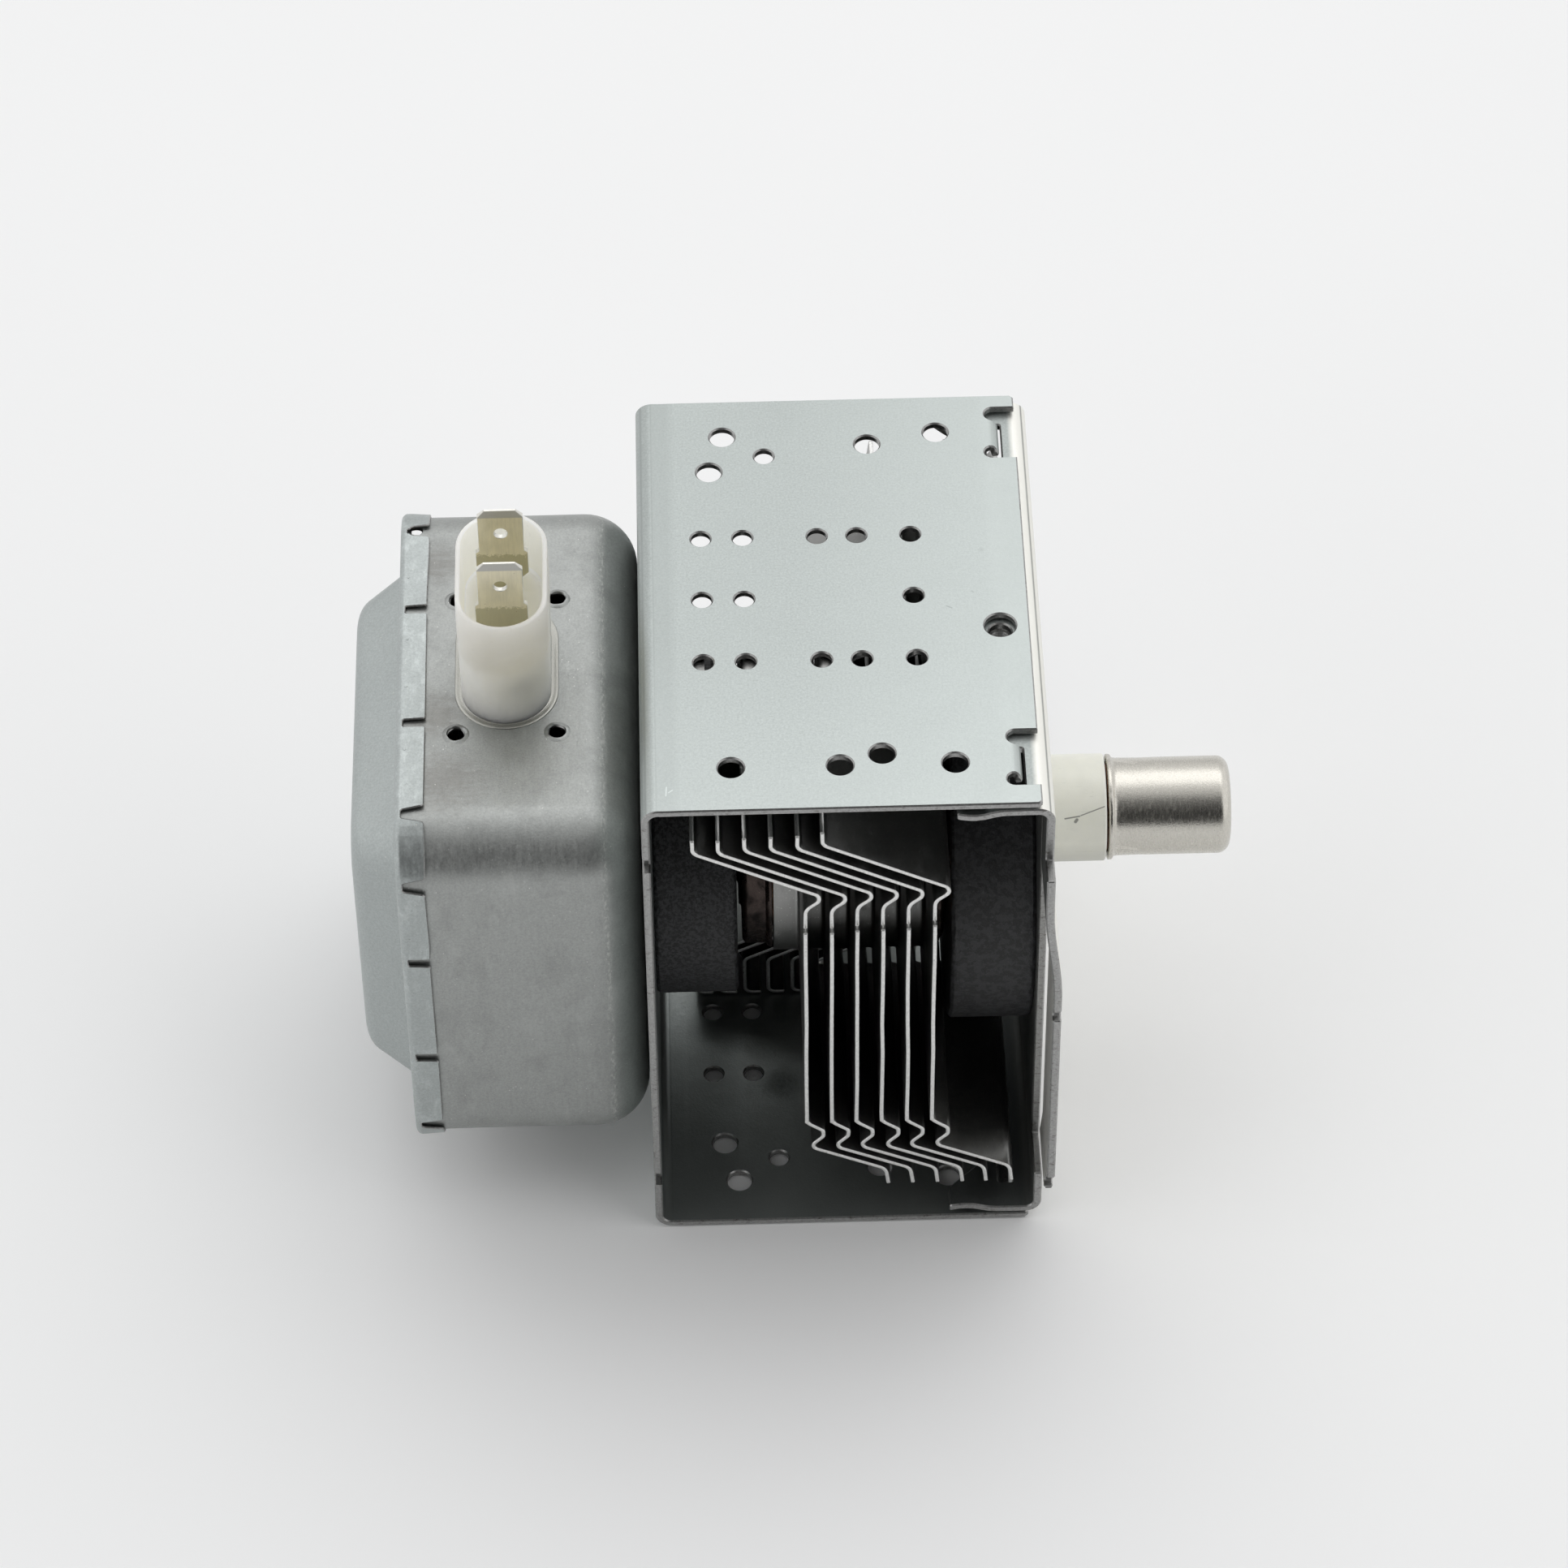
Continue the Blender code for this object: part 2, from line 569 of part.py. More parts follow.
def closing_plate(skin):
    """Folded plate that closes the yoke on the antenna side."""
    back_x = PLATE_OUTER_X - FLANGE_EAR_REACH
    corners = [(back_x, FLANGE_TOP_Z), (PLATE_OUTER_X, FLANGE_TOP_Z),
               (PLATE_OUTER_X, -FLANGE_TOP_Z), (back_x, -FLANGE_TOP_Z)]
    outer = rounded_path(corners, PLATE_BEND, 5)
    inner = offset_path(outer, -PLATE_SHEET)
    outline = [(p.x, p.y) for p in outer + list(reversed(inner))]
    plate = prism("closing_plate", outline, -HALF_DEPTH, HALF_DEPTH, along_y, skin, 50)
    # flanges cut back between their two end ears
    ear_inner = HALF_DEPTH - FLANGE_EAR_WIDTH
    taper = ear_inner - FLANGE_EAR_TAPER
    straight_x = PLATE_OUTER_X - FLANGE_REACH
    trim = [(back_x - PLATE_SHEET, -ear_inner), (back_x, -ear_inner), (straight_x, -taper),
            (straight_x, taper), (back_x, ear_inner), (back_x - PLATE_SHEET, ear_inner)]
    combine(plate, cutter([trim], -YOKE_HEIGHT, YOKE_HEIGHT, along_z), "DIFFERENCE")
    # open edges cut back where the ears stand
    recess = []
    for end in (-1, 1):
        near, far = sorted((end * (HALF_DEPTH - RECESS_DEPTH), end * YOKE_DEPTH))
        recess.append(box_outline(near, far, -RECESS_HEIGHT, RECESS_HEIGHT))
    combine(plate, cutter(recess, PLATE_INNER_X - PLATE_SHEET, PLATE_OUTER_X + PLATE_SHEET, along_x), "DIFFERENCE")
    for end in (-1, 1):
        combine(plate, plate_ear(end, skin), "UNION")
    bore = circle(0.0, 0.0, ANTENNA_CERAMIC_RADIUS + PLATE_BORE_GAP, 32)
    combine(plate, cutter([bore], PLATE_INNER_X - PLATE_SHEET, PLATE_OUTER_X + PLATE_SHEET, along_x), "DIFFERENCE")
    # windows that take the wall's lips
    lip_room_x = CLINCH_LIP_END - CLINCH_LIP_ROLL - SEAT_GAP
    windows = []
    for lip_y in (CLINCH_REAR_Y, CLINCH_FRONT_Y):
        windows.append(box_outline(lip_room_x, CLINCH_LIP_END + SEAT_GAP, lip_y - SEAT_GAP,
                                   lip_y + CLINCH_LIP_WIDTH + SEAT_GAP))
    combine(plate, cutter(windows, FLANGE_TOP_Z - 2 * PLATE_SHEET, HALF_HEIGHT, along_z), "DIFFERENCE")
    lower = half_turn_outlines(windows)
    combine(plate, cutter(lower, -HALF_HEIGHT, 2 * PLATE_SHEET - FLANGE_TOP_Z, along_z), "DIFFERENCE")
    # threaded bosses drawn out of the flanges
    for side in (1, -1):
        boss_y = side * SCREW_Y
        flange_under = FLANGE_TOP_Z - PLATE_SHEET
        low, high = sorted((side * (flange_under - SCREW_BOSS_HEIGHT), side * (FLANGE_TOP_Z - PLATE_SHEET / 2)))
        boss = prism("boss", circle(SCREW_X, boss_y, SCREW_BOSS_RADIUS, 16), low, high, along_z, skin)
        combine(plate, boss, "UNION")
        low, high = sorted((side * (flange_under - 2 * SCREW_BOSS_HEIGHT), side * HALF_HEIGHT))
        drill = cutter([circle(SCREW_X, boss_y, SCREW_BOSS_BORE, 12)], low, high, along_z)
        combine(plate, drill, "DIFFERENCE")
    return plate


def plate_ear(end, skin):
    """Strip at one open edge, in line with the plate above and set outward lower down."""
    jog = EAR_OFFSET
    middle = (EAR_JOG_TOP + EAR_JOG_BOTTOM) / 2
    quarter = (EAR_JOG_TOP - EAR_JOG_BOTTOM) / 4
    outer_face = [
        Vector((PLATE_OUTER_X, RECESS_HEIGHT + PLATE_SHEET)), Vector((PLATE_OUTER_X, EAR_JOG_TOP)),
        Vector((PLATE_OUTER_X + jog * 0.15, middle + quarter)), Vector((PLATE_OUTER_X + jog * 0.5, middle)),
        Vector((PLATE_OUTER_X + jog * 0.85, middle - quarter)), Vector((PLATE_OUTER_X + jog, EAR_JOG_BOTTOM)),
        Vector((PLATE_OUTER_X + jog, -EAR_HALF_HEIGHT + PLATE_SHEET / 2)),
        Vector((PLATE_OUTER_X + jog - PLATE_SHEET * 0.2, -EAR_HALF_HEIGHT))]
    inner_face = offset_path(outer_face[:-1], -PLATE_SHEET)
    foot = Vector((PLATE_OUTER_X + jog - PLATE_SHEET * 0.8, -EAR_HALF_HEIGHT))
    outline = [(p.x, p.y) for p in outer_face + [foot] + list(reversed(inner_face))]
    inner_edge = HALF_DEPTH - RECESS_DEPTH + EAR_LANCE_GAP
    low, high = sorted((end * inner_edge, end * (HALF_DEPTH + EAR_STAND_OUT)))
    ear = prism("ear", outline, low, high, along_y, skin)
    # the ear keeps to the recess below its root, and ends flush with the plate above it
    above = []
    edge_low, edge_high = sorted((end * HALF_DEPTH, end * YOKE_DEPTH))
    above.append(box_outline(edge_low, edge_high, EAR_HALF_HEIGHT, HALF_HEIGHT))
    combine(ear, cutter(above, PLATE_INNER_X - PLATE_SHEET, PLATE_OUTER_X + 2 * PLATE_SHEET, along_x), "DIFFERENCE")
    notches = []
    for height in EAR_NOTCH_HEIGHTS:
        tip = end * (HALF_DEPTH + EAR_STAND_OUT)
        near, far = sorted((tip - end * EAR_NOTCH_CUT, tip + end * EAR_NOTCH_CUT))
        notches.append(box_outline(near, far, height - EAR_NOTCH_SIZE / 2, height + EAR_NOTCH_SIZE / 2))
    combine(ear, cutter(notches, PLATE_INNER_X - PLATE_SHEET, PLATE_OUTER_X + 3 * PLATE_SHEET, along_x), "DIFFERENCE")
    return ear


def ring_magnet(name, left_x, thickness, radius, skin):
    """Pressed ferrite ring with broken edges."""
    right_x = left_x + thickness
    chamfer = MAGNET_CHAMFER
    profile = [(left_x, MAGNET_BORE_RADIUS), (left_x, radius - chamfer), (left_x + chamfer, radius),
               (right_x - chamfer, radius), (right_x, radius - chamfer), (right_x, MAGNET_BORE_RADIUS)]
    return turned(name, profile, 32, skin)


def wing_profile(seated):
    """Sheet line of a wing as (x, z) from its root; seated wings run up to the yoke's wall."""
    root = FIN_FLAT_HALF_HEIGHT
    if seated:
        crest = SEATED_BEAD_HEIGHT
        run = -SEATED_WING_RUN
        knee = SEATED_WING_KNEE
        tip = WALL_INNER_Z - SEAT_GAP - FIN_SHEET / 2
        corners = [(0.0, root), (0.0, root + (crest - root) * 0.3), (BEAD_RISE, crest - 0.9 * BEAD_RISE),
                   (BEAD_RISE, crest + 0.35 * BEAD_RISE), (run, knee), (run, tip), (run + SEATED_WING_FOOT, tip)]
    else:
        crest = FREE_BEAD_HEIGHT
        knee = FREE_WING_KNEE
        corners = [(0.0, root), (0.0, root + (crest - root) * 0.2), (BEAD_RISE, crest - 0.5 * BEAD_RISE),
                   (BEAD_RISE, crest + 0.4 * BEAD_RISE), (0.0, FREE_BEAD_FOOT),
                   (FREE_WING_RUN, knee), (FREE_WING_RUN, FREE_WING_TIP)]
    bends = [0.9 * MM] * (len(corners) - 2)
    bends[3 if seated else -1] = 1.6 * MM
    return bent_line(corners, bends)


def bent_line(corners, bends):
    """Path whose inner corners each have their own bend radius, kept within the legs."""
    path = [Vector(corners[0])]
    for index, radius in enumerate(bends):
        before = Vector(corners[index])
        here = Vector(corners[index + 1])
        after = Vector(corners[index + 2])
        half_turn = (before - here).angle(after - here) / 2
        room = min((before - here).length, (after - here).length) * 0.48
        radius = min(radius, room * math.tan(half_turn))
        piece = rounded_path([before, here, after], radius, 1)
        path += piece[1:-1]
    path.append(Vector(corners[-1]))
    return path


def fin_outline():
    """Flat middle of a fin as (y, z) points, anticlockwise, starting at the upper right."""
    wide = FIN_HALF_DEPTH
    top = FIN_FLAT_HALF_HEIGHT
    slot = FIN_SLOT_HALF_WIDTH
    tongue = wide + FIN_TONGUE
    step = FIN_TONGUE_HALF_HEIGHT
    quarter = [(wide, top), (slot, top), (-slot, top), (-wide, top), (-wide, step), (-tongue, step)]
    return quarter + [(-y, -z) for y, z in quarter]


def cooling_fin(name, flat_x, collar_length, skin):
    """Pressed fin: drawn collar, stiffening beads, and four wings bent to left and right."""
    built = bmesh.new()
    outline = fin_outline()
    border = [built.verts.new((flat_x, y, z)) for y, z in outline]
    edges = [built.edges.new((border[i], border[(i + 1) % len(border)])) for i in range(len(border))]
    collar_radius = ANODE_RADIUS + SEAT_GAP + FIN_SHEET / 2
    rings = []
    throat = [(0.0, collar_radius + FIN_ROOT_RADIUS)]
    throat.append((-FIN_ROOT_RADIUS * 0.3, collar_radius + FIN_ROOT_RADIUS * 0.3))
    throat += [(-FIN_ROOT_RADIUS, collar_radius), (-collar_length, collar_radius)]
    for x, radius in throat:
        rings.append([built.verts.new((flat_x + x, y, z)) for y, z in circle(0.0, 0.0, radius, ROUND_SIDES)])
    hole = rings[0]
    edges += [built.edges.new((hole[i], hole[(i + 1) % len(hole)])) for i in range(len(hole))]
    bmesh.ops.triangle_fill(built, use_beauty=True, use_dissolve=False, edges=edges)
    for ring, after in zip(rings, rings[1:]):
        for index in range(len(ring)):
            onward = (index + 1) % len(ring)
            built.faces.new((ring[index], ring[onward], after[onward], after[index]))
    # wings as (first border point, second, vertical side, seated on the wall)
    for first, second, side, seated in ((3, 2, 1, True), (1, 0, 1, False), (9, 8, -1, True), (7, 6, -1, False)):
        row = [border[first], border[second]]
        for point in wing_profile(seated)[1:]:
            onward = [built.verts.new((flat_x + point.x, vert.co.y, side * point.y)) for vert in row]
            built.faces.new((row[0], row[1], onward[1], onward[0]))
            row = onward
    fin = finish_mesh(name, built, skin, 45)
    shell = fin.modifiers.new("sheet", "SOLIDIFY")
    shell.thickness = FIN_SHEET
    shell.offset = 0.0
    shell.use_even_offset = True
    return fin


def vane(name, turn, skin):
    """One anode vane with a notch for the straps at each side."""
    outer = ANODE_BORE - SEAT_GAP
    notch_end = STRAP_NOTCH_INNER + 2 * STRAP_WALL + 3 * SEAT_GAP
    left, right = VANE_LEFT_X, VANE_RIGHT_X
    deep = STRAP_NOTCH_DEPTH
    outline = [(left, VANE_TIP_RADIUS), (left, STRAP_NOTCH_INNER), (left + deep, STRAP_NOTCH_INNER),
               (left + deep, notch_end), (left, notch_end), (left, outer), (right, outer),
               (right, notch_end), (right - deep, notch_end), (right - deep, STRAP_NOTCH_INNER),
               (right, STRAP_NOTCH_INNER), (right, VANE_TIP_RADIUS)]
    cosine = math.cos(turn)
    sine = math.sin(turn)

    def place(x, radius, side):
        return Vector((x, radius * cosine - side * sine, radius * sine + side * cosine))

    return prism(name, outline, -VANE_SHEET / 2, VANE_SHEET / 2, place, skin)


def strap(name, inner_radius, face_x, inward, skin):
    """Strap ring lying in the vanes' notches."""
    deep = STRAP_NOTCH_DEPTH - SEAT_GAP
    low, high = sorted((face_x, face_x + inward * deep))
    profile = [(low, inner_radius), (low, inner_radius + STRAP_WALL),
               (high, inner_radius + STRAP_WALL), (high, inner_radius)]
    return turned(name, profile, SMALL_SIDES, skin)


def pole_piece(name, end_x, inward, skin):
    """Funnel that leads the field to the vanes; inward is the sign of X towards them."""
    rim = ANODE_BORE - SEAT_GAP
    tip_x = AXIAL_CENTRE_X - inward * (VANE_WIDTH / 2 + POLE_TIP_GAP)
    flange_x = end_x + inward * SEAT_GAP
    slope_start = rim - 4.0 * MM
    outer_side = [(flange_x, rim), (flange_x, slope_start), (tip_x - inward * POLE_SHEET, POLE_TIP_RADIUS - POLE_SHEET),
                  (tip_x - inward * POLE_SHEET, POLE_HOLE_RADIUS)]
    inner_side = [(tip_x, POLE_HOLE_RADIUS), (tip_x, POLE_TIP_RADIUS),
                  (flange_x + inward * POLE_SHEET, slope_start + POLE_SHEET / 2), (flange_x + inward * POLE_SHEET, rim)]
    return turned(name, outer_side + inner_side, SMALL_SIDES, skin)


def seal_cup(name, open_x, depth, neck_end_x, outward, step, skin):
    """Drawn cup brazed to the anode's end, with a raised step and a neck through the magnet."""
    sheet = CUP_SHEET
    closed_x = open_x + outward * depth
    rim_width = min(CUP_RIM_WIDTH, depth * 0.4)
    bend = min(CUP_CORNER, (depth - rim_width) * 0.8)
    rim_end_x = open_x + outward * rim_width
    outside = [(open_x, CUP_RIM_RADIUS), (rim_end_x, CUP_RIM_RADIUS), (rim_end_x, CUP_RADIUS)]
    for x, drop in arc(0.0, 0.0, bend, 90, 0, 2):
        outside.append((closed_x + outward * (x - bend), CUP_RADIUS - bend + drop))
    if step:
        outside += [(closed_x, CUP_SHOULDER_RADIUS + step), (closed_x + outward * step, CUP_SHOULDER_RADIUS)]
    neck_root_x = closed_x + outward * (step + sheet)
    outside += [(neck_root_x - outward * sheet, CUP_NECK_RADIUS + sheet), (neck_root_x, CUP_NECK_RADIUS),
                (neck_end_x, CUP_NECK_RADIUS)]
    inside_x = closed_x - outward * sheet
    inside = [(neck_end_x, CUP_NECK_RADIUS - sheet), (inside_x, CUP_NECK_RADIUS - sheet),
              (inside_x, CUP_RADIUS - sheet - bend), (open_x, CUP_RADIUS - sheet)]
    return turned(name, outside + inside, ROUND_SIDES, skin)


def swept_wire(name, points, radius, resolution, skin):
    """Round wire along a list of points, with filled ends."""
    line = bpy.data.curves.new(name, "CURVE")
    line.dimensions = "3D"
    line.bevel_depth = radius
    line.bevel_resolution = resolution
    line.use_fill_caps = True
    spline = line.splines.new("POLY")
    spline.points.add(len(points) - 1)
    for target, point in zip(spline.points, points):
        target.co = (*point, 1.0)
    made = bpy.data.objects.new(name, line)
    bpy.context.collection.objects.link(made)
    line.materials.append(skin)
    return made


def filament(skin):
    """Heater coil between the two end hats."""
    start = VANE_LEFT_X + SEAT_GAP + FILAMENT_WIRE / 2
    end = VANE_RIGHT_X - SEAT_GAP - FILAMENT_WIRE / 2
    per_turn = 6
    steps = FILAMENT_TURNS * per_turn
    points = []
    for step in range(steps + 1):
        angle = 2 * math.pi * step / per_turn
        x = start + (end - start) * step / steps
        points.append((x, FILAMENT_RADIUS * math.cos(angle), FILAMENT_RADIUS * math.sin(angle)))
    return swept_wire("filament", points, FILAMENT_WIRE / 2, 0, skin)


def end_hat(name, left_x, hole_radius, skin):
    """Disc that closes one end of the cathode."""
    right_x = left_x + HAT_SHEET
    edge = HAT_SHEET * 0.25
    profile = [(left_x, hole_radius), (left_x, HAT_RADIUS - edge), (left_x + edge, HAT_RADIUS),
               (right_x - edge, HAT_RADIUS), (right_x, HAT_RADIUS - edge), (right_x, hole_radius)]
    return turned(name, profile, 16, skin)


def stem_ceramic(skin):
    """Insulator on the neck's end, with a hole for each lead."""
    right_x = STEM_NECK_END_X - SEAT_GAP
    left_x = right_x - STEM_LENGTH
    radius = CUP_NECK_RADIUS
    edge = 0.4 * MM
    profile = [(left_x, radius - edge), (left_x + edge, radius), (right_x - edge, radius), (right_x, radius - edge)]
    body = solid_turned("stem_ceramic", profile, SMALL_SIDES, skin)
    room = LEAD_RADIUS + SEAT_GAP
    holes = [circle(0.0, 0.0, room, 12), circle(SIDE_LEAD_OFFSET, 0.0, room, 12)]
    combine(body, cutter(holes, left_x - radius, right_x + radius, along_x), "DIFFERENCE")
    return body


def antenna_ceramic(skin):
    """Insulating tube that carries the antenna cap."""
    left_x = PLATE_INNER_X + SEAT_GAP
    right_x = ANTENNA_CERAMIC_END_X
    outer = ANTENNA_CERAMIC_RADIUS
    inner = ANTENNA_CERAMIC_BORE
    edge = 0.35 * MM
    profile = [(left_x, inner), (left_x, outer - edge), (left_x + edge, outer), (right_x - edge, outer),
               (right_x, outer - edge), (right_x, inner)]
    return turned("antenna_ceramic", profile, ROUND_SIDES, skin)


def antenna_cap(skin):
    """Drawn metal cap with a flared rim on the ceramic and a rounded end."""
    left_x = ANTENNA_CERAMIC_END_X + SEAT_GAP
    right_x = CAP_END_X
    sheet = CAP_SHEET
    outside = [(left_x, CAP_RIM_RADIUS), (left_x + CAP_RIM_LENGTH * 0.6, CAP_RIM_RADIUS),
               (left_x + CAP_RIM_LENGTH, CAP_RADIUS + 0.15 * MM), (left_x + CAP_RIM_LENGTH * 1.6, CAP_RADIUS)]
    outside += [(x, r) for x, r in arc(right_x - CAP_CORNER, CAP_RADIUS - CAP_CORNER, CAP_CORNER, 90, 0, 3)]
    crown = [(x, r) for x, r in arc(right_x - CAP_CORNER, CAP_RADIUS - CAP_CORNER, CAP_CORNER - sheet, 0, 90, 2)]
    inside = crown + [(left_x + CAP_RIM_LENGTH, CAP_RADIUS - sheet), (left_x, CAP_RADIUS - sheet)]
    built = bmesh.new()
    sides = ROUND_SIDES
    loops = []
    for x, radius in outside + inside:
        ring = [built.verts.new((x, y, z)) for y, z in circle(0.0, 0.0, radius, sides)]
        loops.append(ring)
    face_ring = len(outside) - 1
    for index, ring in enumerate(loops):
        after = loops[(index + 1) % len(loops)]
        if index == face_ring:
            continue
        for side in range(sides):
            onward = (side + 1) % sides
            built.faces.new((ring[side], ring[onward], after[onward], after[side]))
    built.faces.new(loops[face_ring])
    built.faces.new(list(reversed(loops[face_ring + 1])))
    return finish_mesh("antenna_cap", built, skin, 35)


def exhaust_tube(skin):
    """Copper pump-out tube: flange on the ceramic, bore for the antenna lead, pinched end."""
    left_x = ANTENNA_CERAMIC_END_X + SEAT_GAP
    flange_x = left_x + EXHAUST_WALL
    flange = EXHAUST_FLANGE_RADIUS / EXHAUST_RADIUS
    stations = ((left_x, flange, flange), (flange_x, flange, flange), (flange_x, 1.0, 1.0),
                (EXHAUST_END_X - 4.0 * MM, 1.0, 1.0), (EXHAUST_END_X - 1.8 * MM, 1.25, 0.35),
                (EXHAUST_END_X, 1.3, 0.18))
    loops = []
    built = bmesh.new()
    for x, wide, flat in stations:
        outline = circle(0.0, 0.0, EXHAUST_RADIUS, SMALL_SIDES)
        loops.append([built.verts.new((x, y * wide, z * flat)) for y, z in outline])
    tip = len(loops) - 1
    for x in (EXHAUST_BORE_END_X, left_x):
        bore = circle(0.0, 0.0, EXHAUST_RADIUS - EXHAUST_WALL, SMALL_SIDES)
        loops.append([built.verts.new((x, y, z)) for y, z in bore])
    for index, loop in enumerate(loops):
        after = loops[(index + 1) % len(loops)]
        if index == tip:
            continue
        for side in range(SMALL_SIDES):
            onward = (side + 1) % SMALL_SIDES
            built.faces.new((loop[side], loop[onward], after[onward], after[side]))
    built.faces.new(loops[tip])
    built.faces.new(list(reversed(loops[tip + 1])))
    return finish_mesh("exhaust_tube", built, skin, 40)


def case_ring(x, inset, least_corner=0.4 * MM, steps=4, side_steps=3):
    """Outline of the filter box at one X, moved inward by inset, with points along its sides."""
    radius = max(CASE_CORNER - inset, least_corner)
    corners = rounded_rectangle(CASE_HALF_Y - inset, CASE_HALF_Z - inset, radius, steps)
    ring = []
    for index, (y, z) in enumerate(corners):
        ring.append(Vector((x, y, z)))
        if index % (steps + 1) == steps:
            onward_y, onward_z = corners[(index + 1) % len(corners)]
            for step in range(1, side_steps):
                share = step / side_steps
                ring.append(Vector((x, y + (onward_y - y) * share, z + (onward_z - z) * share)))
    return ring


def bore_ring(x, radius, like):
    """Round ring whose points look the same way as those of another ring."""
    ring = []
    for point in like:
        direction = Vector((0.0, point.y, point.z)).normalized() * radius
        ring.append(Vector((x, direction.y, direction.z)))
    return ring


def filter_case(skin):
    """Deep-drawn box with a bore for the tube's neck and an opening for the capacitor."""
    sheet = CASE_SHEET
    bottom = -SEAT_GAP
    big = CASE_BOTTOM_ROUND
    rings = [case_ring(CASE_OPEN_X, 0.0)]
    for x, inset in arc(bottom - big, -big, big, 90, 0, 4):
        rings.append(case_ring(x, -inset))
    rings.append(bore_ring(bottom, CASE_BORE_RADIUS, rings[0]))
    rings.append(bore_ring(bottom - sheet, CASE_BORE_RADIUS, rings[0]))
    for x, inset in arc(bottom - big, -big, big - sheet, 0, 90, 3):
        rings.append(case_ring(x, -inset))
    rings.append(case_ring(CASE_OPEN_X, sheet))
    case = lofted("filter_case", rings, skin, True)
    opening = rounded_rectangle(COLLAR_HALF_X, COLLAR_HALF_Y, COLLAR_HALF_X - 0.05 * MM, 5)
    openings = [[(CONNECTOR_X + x, y) for x, y in opening]]
    for sign_x in (-1, 1):
        for sign_y in (-1, 1):
            middle_x = CONNECTOR_X + sign_x * STAKE_PITCH_X / 2
            middle_y = sign_y * STAKE_PITCH_Y / 2
            openings.append(circle(middle_x, middle_y, STAKE_RADIUS, 14))
    combine(case, cutter(openings, CASE_HALF_Z - 3 * MM, CASE_HALF_Z + 3 * MM, along_z), "DIFFERENCE")
    return case


def filter_lid(skin):
    """Dished lid whose slotted skirt is crimped over the case."""
    sheet = LID_SHEET
    skirt = -(sheet + SEAT_GAP)
    side_end = LID_RIM_WIDTH + LID_DOME_SLOPE
    round_x = LID_FACE_X + LID_DOME_ROUND * 0.45
    stations = ((LID_RIM_X, LID_RIM_WIDTH), (round_x, side_end),
                (LID_FACE_X + LID_DOME_ROUND * 0.12, side_end + LID_DOME_ROUND * 0.4),
                (LID_FACE_X, side_end + LID_DOME_ROUND))
    outer = [case_ring(LID_SKIRT_END_X, skirt), case_ring(LID_RIM_X + sheet, skirt),
             case_ring(LID_RIM_X, skirt + sheet)]
    outer += [case_ring(x, inset, LID_DOME_CORNER) for x, inset in stations]
    inner = [case_ring(x + sheet, inset + sheet * 0.5, LID_DOME_CORNER) for x, inset in reversed(stations)]
    inner += [case_ring(LID_RIM_X + sheet, skirt + sheet), case_ring(LID_SKIRT_END_X, skirt + sheet)]
    rings = outer + inner
    built = bmesh.new()
    loops = [[built.verts.new(point) for point in ring] for ring in rings]
    count = len(loops[0])
    top = len(outer) - 1
    for index, loop in enumerate(loops):
        if index == top:
            continue
        after = loops[(index + 1) % len(loops)]
        for step in range(count):
            onward = (step + 1) % count
            built.faces.new((loop[step], loop[onward], after[onward], after[step]))
    built.faces.new(loops[top])
    built.faces.new(list(reversed(loops[top + 1])))
    lid = finish_mesh("filter_lid", built, skin, 35)
    slot_start = LID_SKIRT_END_X + sheet
    top_slots = []
    for middle in LID_TOP_SLOTS:
        top_slots.append(box_outline(LID_SLOT_END_X, slot_start, middle - LID_SLOT_WIDTH / 2, middle + LID_SLOT_WIDTH / 2))
    side_slots = []
    for middle in LID_SIDE_SLOTS:
        side_slots.append(box_outline(LID_SLOT_END_X, slot_start, middle - LID_SLOT_WIDTH / 2, middle + LID_SLOT_WIDTH / 2))
    past_z = CASE_HALF_Z + 3 * sheet
    past_y = CASE_HALF_Y + 3 * sheet
    deep_z = CASE_HALF_Z - CASE_CORNER / 3
    deep_y = CASE_HALF_Y - CASE_CORNER / 3
    combine(lid, cutter(top_slots, deep_z, past_z, along_z), "DIFFERENCE")
    combine(lid, cutter(top_slots, -past_z, -deep_z, along_z), "DIFFERENCE")
    combine(lid, cutter(side_slots, deep_y, past_y, along_y), "DIFFERENCE")
    combine(lid, cutter(side_slots, -past_y, -deep_y, along_y), "DIFFERENCE")
    return lid


def stadium(half_x, half_y, steps=5):
    """Oval outline about the connector's middle."""
    outline = rounded_rectangle(half_x, half_y, half_x - 0.05 * MM, steps)
    return [(CONNECTOR_X + x, y) for x, y in outline]


def connector_body(skin):
    """White oval socket around the terminals, with a floor that they pass through."""
    seat = CASE_HALF_Z + COLLAR_HEIGHT / 2 + SEAT_GAP
    outer = stadium(SOCKET_HALF_X, SOCKET_HALF_Y)
    inner = stadium(SOCKET_HALF_X - SOCKET_WALL, SOCKET_HALF_Y - SOCKET_WALL)
    rings = [[Vector((x, y, seat)) for x, y in outer], [Vector((x, y, SOCKET_RIM_Z)) for x, y in outer],
             [Vector((x, y, SOCKET_RIM_Z)) for x, y in inner], [Vector((x, y, SOCKET_FLOOR_Z)) for x, y in inner]]
    body = lofted("connector_body", rings, skin, False)
    room_x = TAB_SHOULDER_WIDTH / 2 + SEAT_GAP
    room_y = TAB_SHEET / 2 + SEAT_GAP
    slots = []
    for side in (-1, 1):
        middle = side * TAB_PITCH / 2
        slots.append(box_outline(CONNECTOR_X - room_x, CONNECTOR_X + room_x, middle - room_y, middle + room_y))
    combine(body, cutter(slots, CAPACITOR_BOTTOM_Z, SOCKET_FLOOR_Z + SOCKET_WALL, along_z), "DIFFERENCE")
    return body


